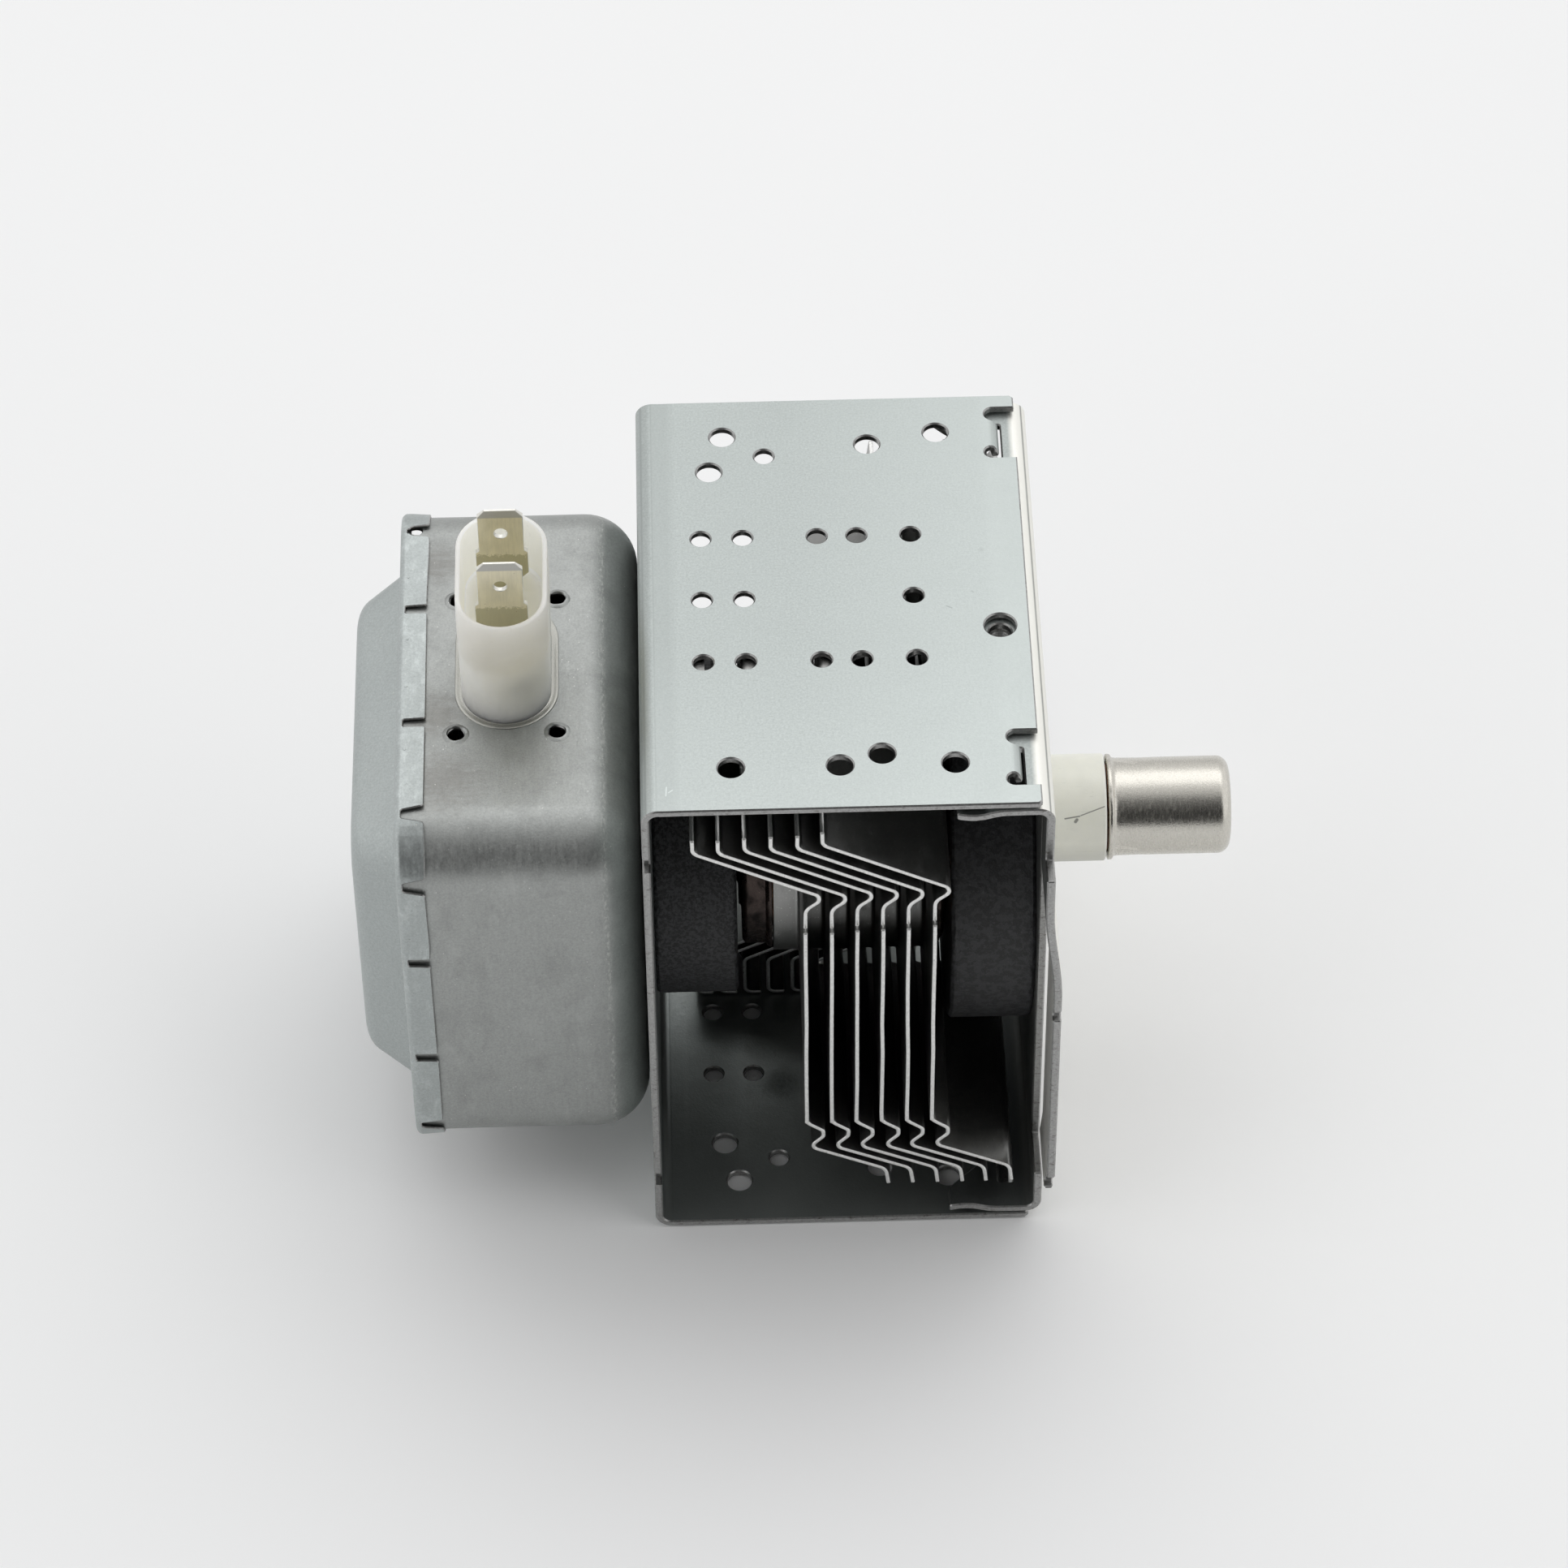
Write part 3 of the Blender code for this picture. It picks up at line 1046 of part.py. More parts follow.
def connector_collar(skin):
    """Metal oval washer that seats the socket in the case's opening."""
    low = CASE_HALF_Z - COLLAR_HEIGHT / 2
    high = CASE_HALF_Z + COLLAR_HEIGHT / 2
    outer = stadium(COLLAR_HALF_X - SEAT_GAP, COLLAR_HALF_Y - SEAT_GAP)
    inner = stadium(CAPACITOR_HALF_X - 1.2 * MM, CAPACITOR_HALF_Y - 1.2 * MM)
    rings = [[Vector((x, y, low)) for x, y in outer], [Vector((x, y, high)) for x, y in outer],
             [Vector((x, y, high)) for x, y in inner], [Vector((x, y, low)) for x, y in inner]]
    return lofted("connector_collar", rings, skin, True)


def capacitor_block(skin):
    """Potted ceramic capacitor inside the case, under the socket."""
    high = CASE_HALF_Z - COLLAR_HEIGHT / 2 - SEAT_GAP
    outline = stadium(CAPACITOR_HALF_X, CAPACITOR_HALF_Y)
    block = prism("capacitor_block", outline, CAPACITOR_BOTTOM_Z, high, along_z, skin, 40)
    room_x = TAB_SHOULDER_WIDTH / 2 + SEAT_GAP
    room_y = TAB_SHEET / 2 + SEAT_GAP
    slots = []
    for side in (-1, 1):
        middle = side * TAB_PITCH / 2
        slots.append(box_outline(CONNECTOR_X - room_x, CONNECTOR_X + room_x, middle - room_y, middle + room_y))
    combine(block, cutter(slots, CAPACITOR_BOTTOM_Z - MM, high + MM, along_z), "DIFFERENCE")
    return block


def terminal_tab(name, side, skin):
    """Blade terminal: chamfered tip, locking hole, shoulders, and a tail into the case."""
    half = TAB_WIDTH / 2
    wide = TAB_SHOULDER_WIDTH / 2
    corner = TAB_CORNER
    tail = half * 0.55
    bottom = CAPACITOR_BOTTOM_Z - 3 * MM
    outline = [(half - corner, TAB_TOP_Z), (half, TAB_TOP_Z - corner), (half, TAB_SHOULDER_Z),
               (wide, TAB_SHOULDER_Z), (wide, CAPACITOR_BOTTOM_Z + 2 * MM), (tail, CAPACITOR_BOTTOM_Z), (tail, bottom)]
    outline += [(-x, z) for x, z in reversed(outline)]
    outline = [(CONNECTOR_X + x, z) for x, z in outline]
    middle = side * TAB_PITCH / 2
    tab = prism(name, outline, middle - TAB_SHEET / 2, middle + TAB_SHEET / 2, along_y, skin)
    hole = circle(CONNECTOR_X, TAB_HOLE_Z, TAB_HOLE_RADIUS, 14)
    combine(tab, cutter([hole], middle - TAB_SHEET, middle + TAB_SHEET, along_y), "DIFFERENCE")
    return tab


def choke_coil(name, side, skin):
    """Choke from a terminal's tail, round its ferrite, to a cathode lead."""
    wire = CHOKE_WIRE / 2
    middle_y = side * CHOKE_Y
    length = CHOKE_TURNS * CHOKE_TURN_PITCH
    top_z = length / 2
    tail_z = CAPACITOR_BOTTOM_Z - 3 * MM - SEAT_GAP - wire
    lead_y = SIDE_LEAD_OFFSET if side > 0 else 0.0
    points = [(CONNECTOR_X, side * TAB_PITCH / 2, tail_z),
              (CONNECTOR_X - 1.5 * MM, middle_y - side * 2.0 * MM, tail_z - 0.5 * MM),
              (CHOKE_X + CHOKE_COIL_RADIUS, middle_y - side * 0.5 * MM, tail_z - 2.5 * MM)]
    per_turn = 7
    for step in range(CHOKE_TURNS * per_turn + 1):
        angle = 2 * math.pi * step / per_turn
        z = top_z - CHOKE_TURN_PITCH * step / per_turn
        x = CHOKE_X + CHOKE_COIL_RADIUS * math.cos(angle)
        points.append((x, middle_y + side * CHOKE_COIL_RADIUS * math.sin(angle), z))
    drop_z = -top_z - 2.0 * MM
    beside = lead_y + side * (LEAD_RADIUS + SEAT_GAP + wire)
    points += [(CHOKE_X + CHOKE_COIL_RADIUS + 1.0 * MM, middle_y - side * 1.0 * MM, drop_z),
               (STEM_LEAD_END_X + 1.0 * MM, beside + side * 1.0 * MM, drop_z + 1.5 * MM),
               (STEM_LEAD_END_X + 1.0 * MM, beside, drop_z + 4.0 * MM),
               (STEM_LEAD_END_X + 1.0 * MM, beside, 0.8 * MM)]
    return swept_wire(name, points, wire, 0, skin)


def ferrite_core(name, side, skin):
    """Ferrite rod inside a choke."""
    half = CHOKE_TURNS * CHOKE_TURN_PITCH / 2 + FERRITE_OVERHANG
    outline = circle(CHOKE_X, side * CHOKE_Y, FERRITE_RADIUS, 14)
    return prism(name, outline, -half, half, along_z, skin, 40)


def settle_in_frame():
    """Move every piece so that the origin lies in the middle of the face the yoke lies on."""
    base = bpy.data.objects.new("frame_base", None)
    bpy.context.collection.objects.link(base)
    for made in bpy.context.scene.objects:
        if made != base:
            made.parent = base
    base.location = FRAME_SHIFT


def build():
    """Make every piece of the magnetron."""
    clear_scene()
    zinc = material("zinc_steel", (0.62, 0.65, 0.64), 0.42, 0.85)
    case_zinc = material("case_zinc", (0.47, 0.49, 0.5), 0.4, 0.85)
    lid_zinc = material("lid_zinc", (0.5, 0.54, 0.56), 0.4, 0.85)
    ferrite = material("magnet_ferrite", (0.035, 0.036, 0.038), 0.6, 0.1)
    aluminium = material("fin_aluminium", (0.6, 0.6, 0.58), 0.35, 1.0)
    copper = material("copper", (0.72, 0.36, 0.22), 0.3, 1.0)
    steel = material("soft_steel", (0.45, 0.45, 0.46), 0.35, 1.0)
    seal_metal = material("oxidised_seal", (0.06, 0.045, 0.04), 0.3, 0.7)
    molybdenum = material("molybdenum", (0.4, 0.4, 0.42), 0.35, 1.0)
    tungsten = material("tungsten", (0.25, 0.25, 0.27), 0.4, 1.0)
    alumina = material("alumina", (0.82, 0.81, 0.75), 0.5, 0.0)
    nickel = material("nickel", (0.6, 0.56, 0.5), 0.28, 1.0)
    socket_white = material("socket_plastic", (0.86, 0.84, 0.74), 0.35, 0.0)
    tinned = material("tinned_brass", (0.5, 0.48, 0.42), 0.4, 1.0)
    resin = material("capacitor_resin", (0.3, 0.27, 0.2), 0.5, 0.0)
    enamel = material("enamelled_wire", (0.45, 0.2, 0.08), 0.35, 0.6)

    yoke_channel(zinc)
    closing_plate(zinc)
    ring_magnet("filter_side_magnet", YOKE_SHEET, FILTER_MAGNET_THICKNESS, FILTER_MAGNET_RADIUS, ferrite)
    ring_magnet("antenna_side_magnet", PLATE_INNER_X - ANTENNA_MAGNET_THICKNESS, ANTENNA_MAGNET_THICKNESS,
                ANTENNA_MAGNET_RADIUS, ferrite)
    for index in range(FIN_COUNT):
        collar_length = FIN_COLLAR_LENGTH if index else FIRST_COLLAR_LENGTH
        cooling_fin(f"cooling_fin_{index + 1}", FIRST_FIN_X + index * FIN_PITCH, collar_length, aluminium)

    shell = [(ANODE_LEFT_X, ANODE_BORE), (ANODE_LEFT_X, ANODE_RADIUS), (ANODE_RIGHT_X, ANODE_RADIUS),
             (ANODE_RIGHT_X, ANODE_BORE)]
    turned("anode_shell", shell, ROUND_SIDES, copper)
    for index in range(VANE_COUNT):
        turn = 2 * math.pi * (index + 0.5) / VANE_COUNT
        vane(f"anode_vane_{index + 1:02d}", turn, copper)
    small_strap = STRAP_NOTCH_INNER + SEAT_GAP
    large_strap = small_strap + STRAP_WALL + SEAT_GAP
    strap("strap_ring_left_inner", small_strap, VANE_LEFT_X, 1, copper)
    strap("strap_ring_left_outer", large_strap, VANE_LEFT_X, 1, copper)
    strap("strap_ring_right_inner", small_strap, VANE_RIGHT_X, -1, copper)
    strap("strap_ring_right_outer", large_strap, VANE_RIGHT_X, -1, copper)

    pole_piece("pole_piece_filter_side", ANODE_LEFT_X, 1, steel)
    pole_piece("pole_piece_antenna_side", ANODE_RIGHT_X, -1, steel)
    seal_cup("seal_cup_filter_side", ANODE_LEFT_X - SEAT_GAP, FILTER_CUP_DEPTH, STEM_NECK_END_X, -1,
             CUP_STEP, seal_metal)
    seal_cup("seal_cup_antenna_side", ANODE_RIGHT_X + SEAT_GAP, ANTENNA_CUP_DEPTH, PLATE_INNER_X, 1,
             0.0, seal_metal)

    filament(tungsten)
    right_hat_x = VANE_RIGHT_X
    left_hat_x = VANE_LEFT_X - HAT_SHEET
    end_hat("cathode_hat_right", right_hat_x, LEAD_RADIUS + SEAT_GAP, molybdenum)
    end_hat("cathode_hat_left", left_hat_x, LEAD_RADIUS + SEAT_GAP, molybdenum)
    centre_lead = [(STEM_LEAD_END_X, LEAD_RADIUS), (right_hat_x + HAT_SHEET, LEAD_RADIUS)]
    solid_turned("cathode_centre_lead", centre_lead, 12, molybdenum)
    side_lead = [(STEM_LEAD_END_X, LEAD_RADIUS), (left_hat_x - SEAT_GAP, LEAD_RADIUS)]
    solid_turned("cathode_side_lead", side_lead, 12, molybdenum, 40, SIDE_LEAD_OFFSET)
    stem_ceramic(alumina)

    antenna_ceramic(alumina)
    antenna_cap(nickel)
    exhaust_tube(copper)
    rod_start = right_hat_x + HAT_SHEET + 2.0 * MM
    rod_end = EXHAUST_BORE_END_X - SEAT_GAP
    rod_line = [(rod_start, ANTENNA_ROD_RADIUS), (rod_end, ANTENNA_ROD_RADIUS)]
    solid_turned("antenna_lead", rod_line, 12, copper)

    filter_case(case_zinc)
    filter_lid(lid_zinc)
    connector_body(socket_white)
    connector_collar(tinned)
    capacitor_block(resin)
    for number, side in ((1, 1), (2, -1)):
        terminal_tab(f"terminal_tab_{number}", side, tinned)
        choke_coil(f"choke_coil_{number}", side, enamel)
        ferrite_core(f"choke_core_{number}", side, ferrite)
    settle_in_frame()


build()
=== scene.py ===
"""Dresses a microwave oven magnetron: sheet metal, fins, ceramics, finishes, stage and camera.

The tube's axis is along X, with the antenna towards +X and the filter box towards -X. Sizes are
drawn from the tube's axis and from the outer face of the yoke's base wall, and every finished
piece is then moved into the part's frame. Metres, +Z up.
"""
import math

import bmesh
import bpy
import numpy as np
from bpy.props import FloatProperty, FloatVectorProperty, IntProperty, PointerProperty
from mathutils import Matrix, Vector, noise
from mathutils.geometry import delaunay_2d_cdt


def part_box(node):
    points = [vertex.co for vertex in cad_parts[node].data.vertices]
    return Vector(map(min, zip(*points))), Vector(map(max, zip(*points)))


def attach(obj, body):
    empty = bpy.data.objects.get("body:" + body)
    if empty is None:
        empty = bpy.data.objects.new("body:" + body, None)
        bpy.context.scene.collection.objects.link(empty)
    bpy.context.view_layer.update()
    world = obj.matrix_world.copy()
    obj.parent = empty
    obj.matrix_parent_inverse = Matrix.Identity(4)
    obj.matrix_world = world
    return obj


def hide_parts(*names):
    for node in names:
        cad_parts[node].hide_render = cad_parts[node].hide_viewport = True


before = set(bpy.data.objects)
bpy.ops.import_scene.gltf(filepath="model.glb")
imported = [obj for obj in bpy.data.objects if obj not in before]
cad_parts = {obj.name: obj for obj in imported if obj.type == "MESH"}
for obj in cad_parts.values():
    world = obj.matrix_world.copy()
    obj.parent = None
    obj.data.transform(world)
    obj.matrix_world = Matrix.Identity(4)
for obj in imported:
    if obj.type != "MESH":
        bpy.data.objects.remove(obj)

bl_info = {
    "name": "Magnetron",
    "version": (1, 0, 0),
    "blender": (4, 5, 0),
    "location": "3D View > Sidebar > Magnetron",
    "description": "Builds the pieces, finishes and stage of a microwave oven magnetron",
    "category": "Add Mesh",
}

MM = 0.001
YOKE_LOW, YOKE_HIGH = (Vector(corner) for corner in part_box("yoke_channel"))
DRAWING_ORIGIN = Vector((YOKE_LOW.x, (YOKE_LOW.y + YOKE_HIGH.y) / 2, (YOKE_LOW.z + YOKE_HIGH.z) / 2))
INNER_NODES = {
    "anode_copper": ["anode_shell", "strap_ring_left_inner", "strap_ring_left_outer", "strap_ring_right_inner",
                     "strap_ring_right_outer", "exhaust_tube", "antenna_lead"]
                    + [f"anode_vane_{number:02d}" for number in range(1, 11)],
    "pole_steel": ["pole_piece_filter_side", "pole_piece_antenna_side"],
    "cathode_molybdenum": ["cathode_hat_left", "cathode_hat_right", "cathode_centre_lead", "cathode_side_lead"],
    "heater_tungsten": ["filament"],
    "stem_alumina": ["stem_ceramic"],
    "potting_resin": ["capacitor_block"],
    "choke_enamel": ["choke_coil_1", "choke_coil_2"],
    "magnet_ferrite": ["choke_core_1", "choke_core_2"],
    "oxidised_cup": ["seal_cup_antenna_side"],
}


def place_in_drawing(node):
    """Lowest and highest corner of a frame node, measured as on the drawing."""
    low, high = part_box(node)
    return Vector(low) - DRAWING_ORIGIN, Vector(high) - DRAWING_ORIGIN


def length(name, description, default):
    """Length property given in millimetres."""
    return FloatProperty(name=name, description=description, default=default * MM, min=-1.0, max=1.0,
                         subtype="DISTANCE", unit="LENGTH", precision=5)


def colour(name, description, default):
    """Colour property."""
    return FloatVectorProperty(name=name, description=description, default=default, size=3, min=0.0, max=1.0,
                               subtype="COLOR")


CASE_LOW, CASE_HIGH = place_in_drawing("filter_case")
LID_LOW, LID_HIGH = place_in_drawing("filter_lid")
PLATE_LOW, PLATE_HIGH = place_in_drawing("closing_plate")
CERAMIC_LOW, CERAMIC_HIGH = place_in_drawing("antenna_ceramic")
CAP_LOW, CAP_HIGH = place_in_drawing("antenna_cap")
SOCKET_LOW, SOCKET_HIGH = place_in_drawing("connector_body")
COLLAR_LOW, COLLAR_HIGH = place_in_drawing("connector_collar")
CUP_LOW, CUP_HIGH = place_in_drawing("seal_cup_filter_side")
ANODE_RADIUS = place_in_drawing("anode_shell")[1].y
# Measures shared by several pieces; WELD and SEAM are distances within which points count as one.
HALF_DEPTH = (YOKE_HIGH.y - YOKE_LOW.y) / 2
HALF_HEIGHT = (YOKE_HIGH.z - YOKE_LOW.z) / 2
LIPS = (4.7 * MM - HALF_DEPTH, HALF_DEPTH - 11.6 * MM)
BOSS_X, BOSS_Y, BOSS_BORE = 50.4 * MM, -6.2 * MM, 1.6 * MM
WELD = 0.003 * MM
SEAM = 0.01 * MM


class YokeSizes(bpy.types.PropertyGroup):
    """Folded yoke channel and the closing plate on its open end."""

    sheet: length("Yoke sheet", "Thickness of the channel's steel", 1.1)
    bend: length("Yoke bend", "Outer radius of the channel's two bends", 2.4)
    plate_sheet: length("Plate sheet", "Thickness of the closing plate", 1.2)
    plate_bend: length("Plate bend", "Outer radius of the plate's two bends", 2.3)
    cut_round: length("Cut edge", "Rounding along every sheared edge", 0.2)
    bore: length("Base bore", "Radius of the hole for the tube's neck", 10.0)
    vent: length("Vent hole", "Radius of the small vent holes", 1.4)
    fixing: length("Fixing hole", "Radius of the large holes", 1.8)
    die_mark: length("Die mark", "Depth of the band pressed across both walls", 0.03)
    lip_width: length("Lip width", "Width of the rolled lips that lock the plate", 6.6)
    lip_roll: length("Lip roll", "Outer radius of those lips", 1.5)
    ear_reach: length("Ear reach", "How far the plate's ears pass the yoke's open side", 4.2)
    ear_offset: length("Ear offset", "How far the ears' lower part stands out", 1.5)


class FinSizes(bpy.types.PropertyGroup):
    """Pressed cooling fins."""

    count: IntProperty(name="Fins", description="Number of fins on the anode", default=6, min=1, max=12)
    pitch: length("Fin pitch", "Distance from fin to fin", 3.58)
    first: length("First fin", "Place of the first fin's flat middle along the axis", 22.2)
    sheet: length("Fin sheet", "Thickness of a fin", 0.6)
    bead: length("Bead height", "Height of the bead pressed across each wing's root", 1.9)
    ripple: length("Ripple", "How far a fin's thin edges wander from straight", 0.14)


class TubeSizes(bpy.types.PropertyGroup):
    """Magnets, seal cup, ceramic and cap of the tube."""

    magnet_chamfer: length("Magnet edge", "Broken edge of the ring magnets", 0.5)
    chip: length("Magnet chips", "Depth of the chips along the magnets' edges", 0.35)
    seam: length("Brazed seam", "Bulge of the brazed seam between cup and anode", 0.25)
    cap_rim: length("Cap rim", "Length of the cap's flared rim", 0.9)
    cap_corner: length("Cap corner", "Rounding of the cap's closed end", 1.8)


class FilterBoxSizes(bpy.types.PropertyGroup):
    """Deep-drawn filter case and its crimped lid."""

    sheet: length("Case sheet", "Thickness of the case", 0.6)
    lid_sheet: length("Lid sheet", "Thickness of the lid", 0.42)
    corner: length("Case corner", "Radius of the four corners seen along the axis", 8.8)
    bottom: length("Bottom rounding", "Radius from the sides to the bottom", 7.6)
    rim: length("Lid border", "Flat border of the lid inside its crimped edge", 6.8)
    dome_slope: length("Dome slope", "How far the dome's side leans in", 3.6)
    dome_round: length("Dome rounding", "Radius from the dome's side to its face", 3.2)
    slot: length("Skirt slot", "Width of the slots between the skirt's flaps", 1.4)
    lift: length("Flap lift", "How far the flaps' free corners stand off", 0.28)


class ConnectorSizes(bpy.types.PropertyGroup):
    """Socket, collar and blade terminals on the filter case."""

    wall: length("Socket wall", "Thickness of the socket's wall", 0.8)
    floor: length("Socket floor", "Depth of the socket", 9.9)
    blade: length("Blade thickness", "Thickness of a terminal", 0.8)
    blade_width: length("Blade width", "Width of a terminal above its shoulders", 6.35)
    blade_corner: length("Blade corner", "Cut corners at a terminal's tip", 1.0)


class FinishColours(bpy.types.PropertyGroup):
    """Main colours of the finishes."""

    zinc: colour("Yoke zinc", "Galvanised steel of the yoke and plate", (0.418, 0.45, 0.44))
    case_zinc: colour("Case zinc", "Galvanised steel of the filter case", (0.375, 0.387, 0.377))
    lid_zinc: colour("Lid zinc", "Galvanised steel of the lid", (0.42, 0.45, 0.445))
    cut_steel: colour("Cut steel", "Bare steel along sheared edges", (0.36, 0.36, 0.355))
    aluminium: colour("Fin aluminium", "Mill-finish aluminium of the fins", (0.32, 0.32, 0.313))
    ferrite: colour("Ferrite", "Ring magnets", (0.041, 0.042, 0.045))
    ceramic: colour("Ceramic", "Antenna ceramic", (0.86, 0.86, 0.78))
    nickel: colour("Cap nickel", "Plated antenna cap", (0.6, 0.58, 0.53))
    socket: colour("Socket", "Moulded socket of the connector", (0.985, 0.965, 0.86))
    blade: colour("Blade", "Tarnished plating of the terminals", (0.8, 0.75, 0.58))


class StageSettings(bpy.types.PropertyGroup):
    """Floor, light and camera."""

    floor: colour("Floor", "Pale floor", (0.94, 0.943, 0.945))
    lamp: FloatProperty(name="Lamp", description="Power of the large lamp overhead", default=3.0, min=0.0,
                        unit="POWER")
    sky: FloatProperty(name="Sky", description="Strength of the light from behind and above", default=1.06, min=0.0)
    lens: FloatProperty(name="Lens", description="Focal length on a 36 mm wide frame", default=136.3, min=1.0,
                        unit="CAMERA")


def arc(centre_u, centre_v, radius, start, end, steps):
    """Points on an arc in any plane, angles in degrees."""
    points = []
    for step in range(steps + 1):
        angle = math.radians(start + (end - start) * step / steps)
        points.append((centre_u + radius * math.cos(angle), centre_v + radius * math.sin(angle)))
    return points


def circle(centre_u, centre_v, radius, sides):
    """Closed round outline."""
    return arc(centre_u, centre_v, radius, 0, 360 - 360 / sides, sides - 1)


def oval(centre_u, centre_v, half_u, half_v, steps):
    """Closed outline with round ends and straight sides along V."""
    flat = half_v - half_u
    return (arc(centre_u, centre_v + flat, half_u, 0, 180, steps)
            + arc(centre_u, centre_v - flat, half_u, 180, 360, steps))


def soft_step(value, low, high):
    """Smooth rise from 0 at low to 1 at high."""
    at = min(max((value - low) / (high - low), 0.0), 1.0)
    return at * at * (3 - 2 * at)


def round_corners(loop, radius, steps=3):
    """Closed outline whose corners are cut by small arcs."""
    rounded = []
    count = len(loop)
    for index in range(count):
        here = Vector(loop[index])
        before = Vector(loop[index - 1]) - here
        after = Vector(loop[(index + 1) % count]) - here
        turn = before.angle(after, 0.0)
        reach = min(radius, before.length * 0.45, after.length * 0.45)
        if reach < 0.02 * MM or turn > math.radians(150):
            rounded.append(here)
            continue
        start = here + before.normalized() * reach
        end = here + after.normalized() * reach
        for step in range(steps + 1):
            at = step / steps
            rounded.append(start.lerp(here, at).lerp(here.lerp(end, at), at))
    return [tuple(point) for point in rounded]


class SheetLine:
    """Outer face of a bent sheet seen from its edge: straight runs joined by round bends."""

    def __init__(self, corners, radii):
        self.runs = []
        self.length = 0.0
        here = Vector(corners[0])
        for index, radius in enumerate(radii):
            corner = Vector(corners[index + 1])
            onward = Vector(corners[index + 2]) - corner
            run = corner - here
            turn = math.atan2(run.x * onward.y - run.y * onward.x, run.dot(onward))
            room = min(run.length, onward.length * 0.5 if index + 1 < len(radii) else onward.length)
            cut = min(radius * math.tan(abs(turn) / 2), room * 0.98)
            radius = cut / math.tan(abs(turn) / 2)
            heading = math.atan2(run.y, run.x)
            self.add(here, heading, run.length - cut, 0.0)
            self.add(corner - run.normalized() * cut, heading, radius * abs(turn), math.copysign(1 / radius, turn))
            here = corner + onward.normalized() * cut
        run = Vector(corners[-1]) - here
        self.add(here, math.atan2(run.y, run.x), run.length, 0.0)

    def add(self, origin, heading, run_length, curve):
        """One straight run, or a bend whose curve is its turn per metre."""
        self.runs.append((self.length, run_length, origin, heading, curve))
        self.length += run_length

    def at(self, along):
        """Point and left-hand direction at a distance along the line; it runs on past its ends."""
        found = self.runs[0]
        for run in self.runs:
            if along >= run[0]:
                found = run
        start, _, origin, heading, curve = found
        gone = along - start
        if curve:
            turned = heading + gone * curve
            swing = Vector((math.sin(turned) - math.sin(heading), math.cos(heading) - math.cos(turned)))
            point = origin + swing / curve
        else:
            turned = heading
            point = origin + Vector((math.cos(heading), math.sin(heading))) * gone
        return point, Vector((-math.sin(turned), math.cos(turned)))

    def creases(self, steps):
        """Distances at which the bends are divided."""
        marks = []
        for start, run_length, _, _, curve in self.runs:
            if curve:
                marks += [start + run_length * step / steps for step in range(steps + 1)]
        return marks


class BoxOutline:
    """Rounded rectangle in Y and Z, followed by its length from the middle of its underside."""

    def __init__(self, half_y, half_z, corner):
        self.half_y = half_y
        self.half_z = half_z
        self.corner = corner
        flat_y = half_y - corner
        flat_z = half_z - corner
        bend = math.pi * corner / 2
        lengths = (flat_y, bend, 2 * flat_z, bend, 2 * flat_y, bend, 2 * flat_z, bend, flat_y)
        self.starts = [sum(lengths[:index]) for index in range(len(lengths) + 1)]

    def at(self, along, inset, least):
        """Point of the outline moved in by inset, with corners of at least that radius."""
        along = min(max(along, 0.0), self.starts[-1])
        part = 0
        while part < 8 and along > self.starts[part + 1]:
            part += 1
        gone = (along - self.starts[part]) / (self.starts[part + 1] - self.starts[part])
        radius = max(self.corner - inset, least)
        flat_y = self.half_y - inset - radius
        flat_z = self.half_z - inset - radius
        if part % 2:
            quarter = (part - 1) // 2
            sign_y, sign_z = ((1, -1), (1, 1), (-1, 1), (-1, -1))[quarter]
            angle = math.radians(quarter * 90 - 90 + 90 * gone)
            return sign_y * flat_y + radius * math.cos(angle), sign_z * flat_z + radius * math.sin(angle)
        if part == 0:
            return flat_y * gone, -flat_z - radius
        if part == 8:
            return flat_y * (gone - 1), -flat_z - radius
        if part == 2:
            return flat_y + radius, flat_z * (2 * gone - 1)
        if part == 4:
            return flat_y * (1 - 2 * gone), flat_z + radius
        return -flat_y - radius, flat_z * (1 - 2 * gone)

    def over_top(self, y):
        """Length at which the top side passes a given Y."""
        return self.starts[4] + self.half_y - self.corner - y

    def down_front(self, z):
        """Length at which the front side passes a given Z."""
        return self.starts[6] + self.half_z - self.corner - z

    def up_back(self, z):
        """Length at which the back side passes a given Z."""
        return self.starts[2] + self.half_z - self.corner + z

    def under(self, y):
        """Length at which the underside passes a given Y."""
        return y if y > 0 else self.starts[-1] + y

    def corner_marks(self, steps):
        """Lengths at which the corners are divided."""
        marks = []
        for part in (1, 3, 5, 7):
            start, end = self.starts[part], self.starts[part + 1]
            marks += [start + (end - start) * step / steps for step in range(steps + 1)]
        return marks


def inset_outline(loop, distance):
    """Closed outline moved to its left."""
    ring = np.array(loop)
    before = ring - np.roll(ring, 1, axis=0)
    after = np.roll(before, -1, axis=0)
    before = before / np.linalg.norm(before, axis=1)[:, None]
    after = after / np.linalg.norm(after, axis=1)[:, None]
    left_before = np.stack([-before[:, 1], before[:, 0]], axis=1)
    left_after = np.stack([-after[:, 1], after[:, 0]], axis=1)
    mitre = left_before + left_after
    mitre /= np.maximum((mitre * left_before).sum(axis=1), 0.35)[:, None]
    return ring + mitre * distance


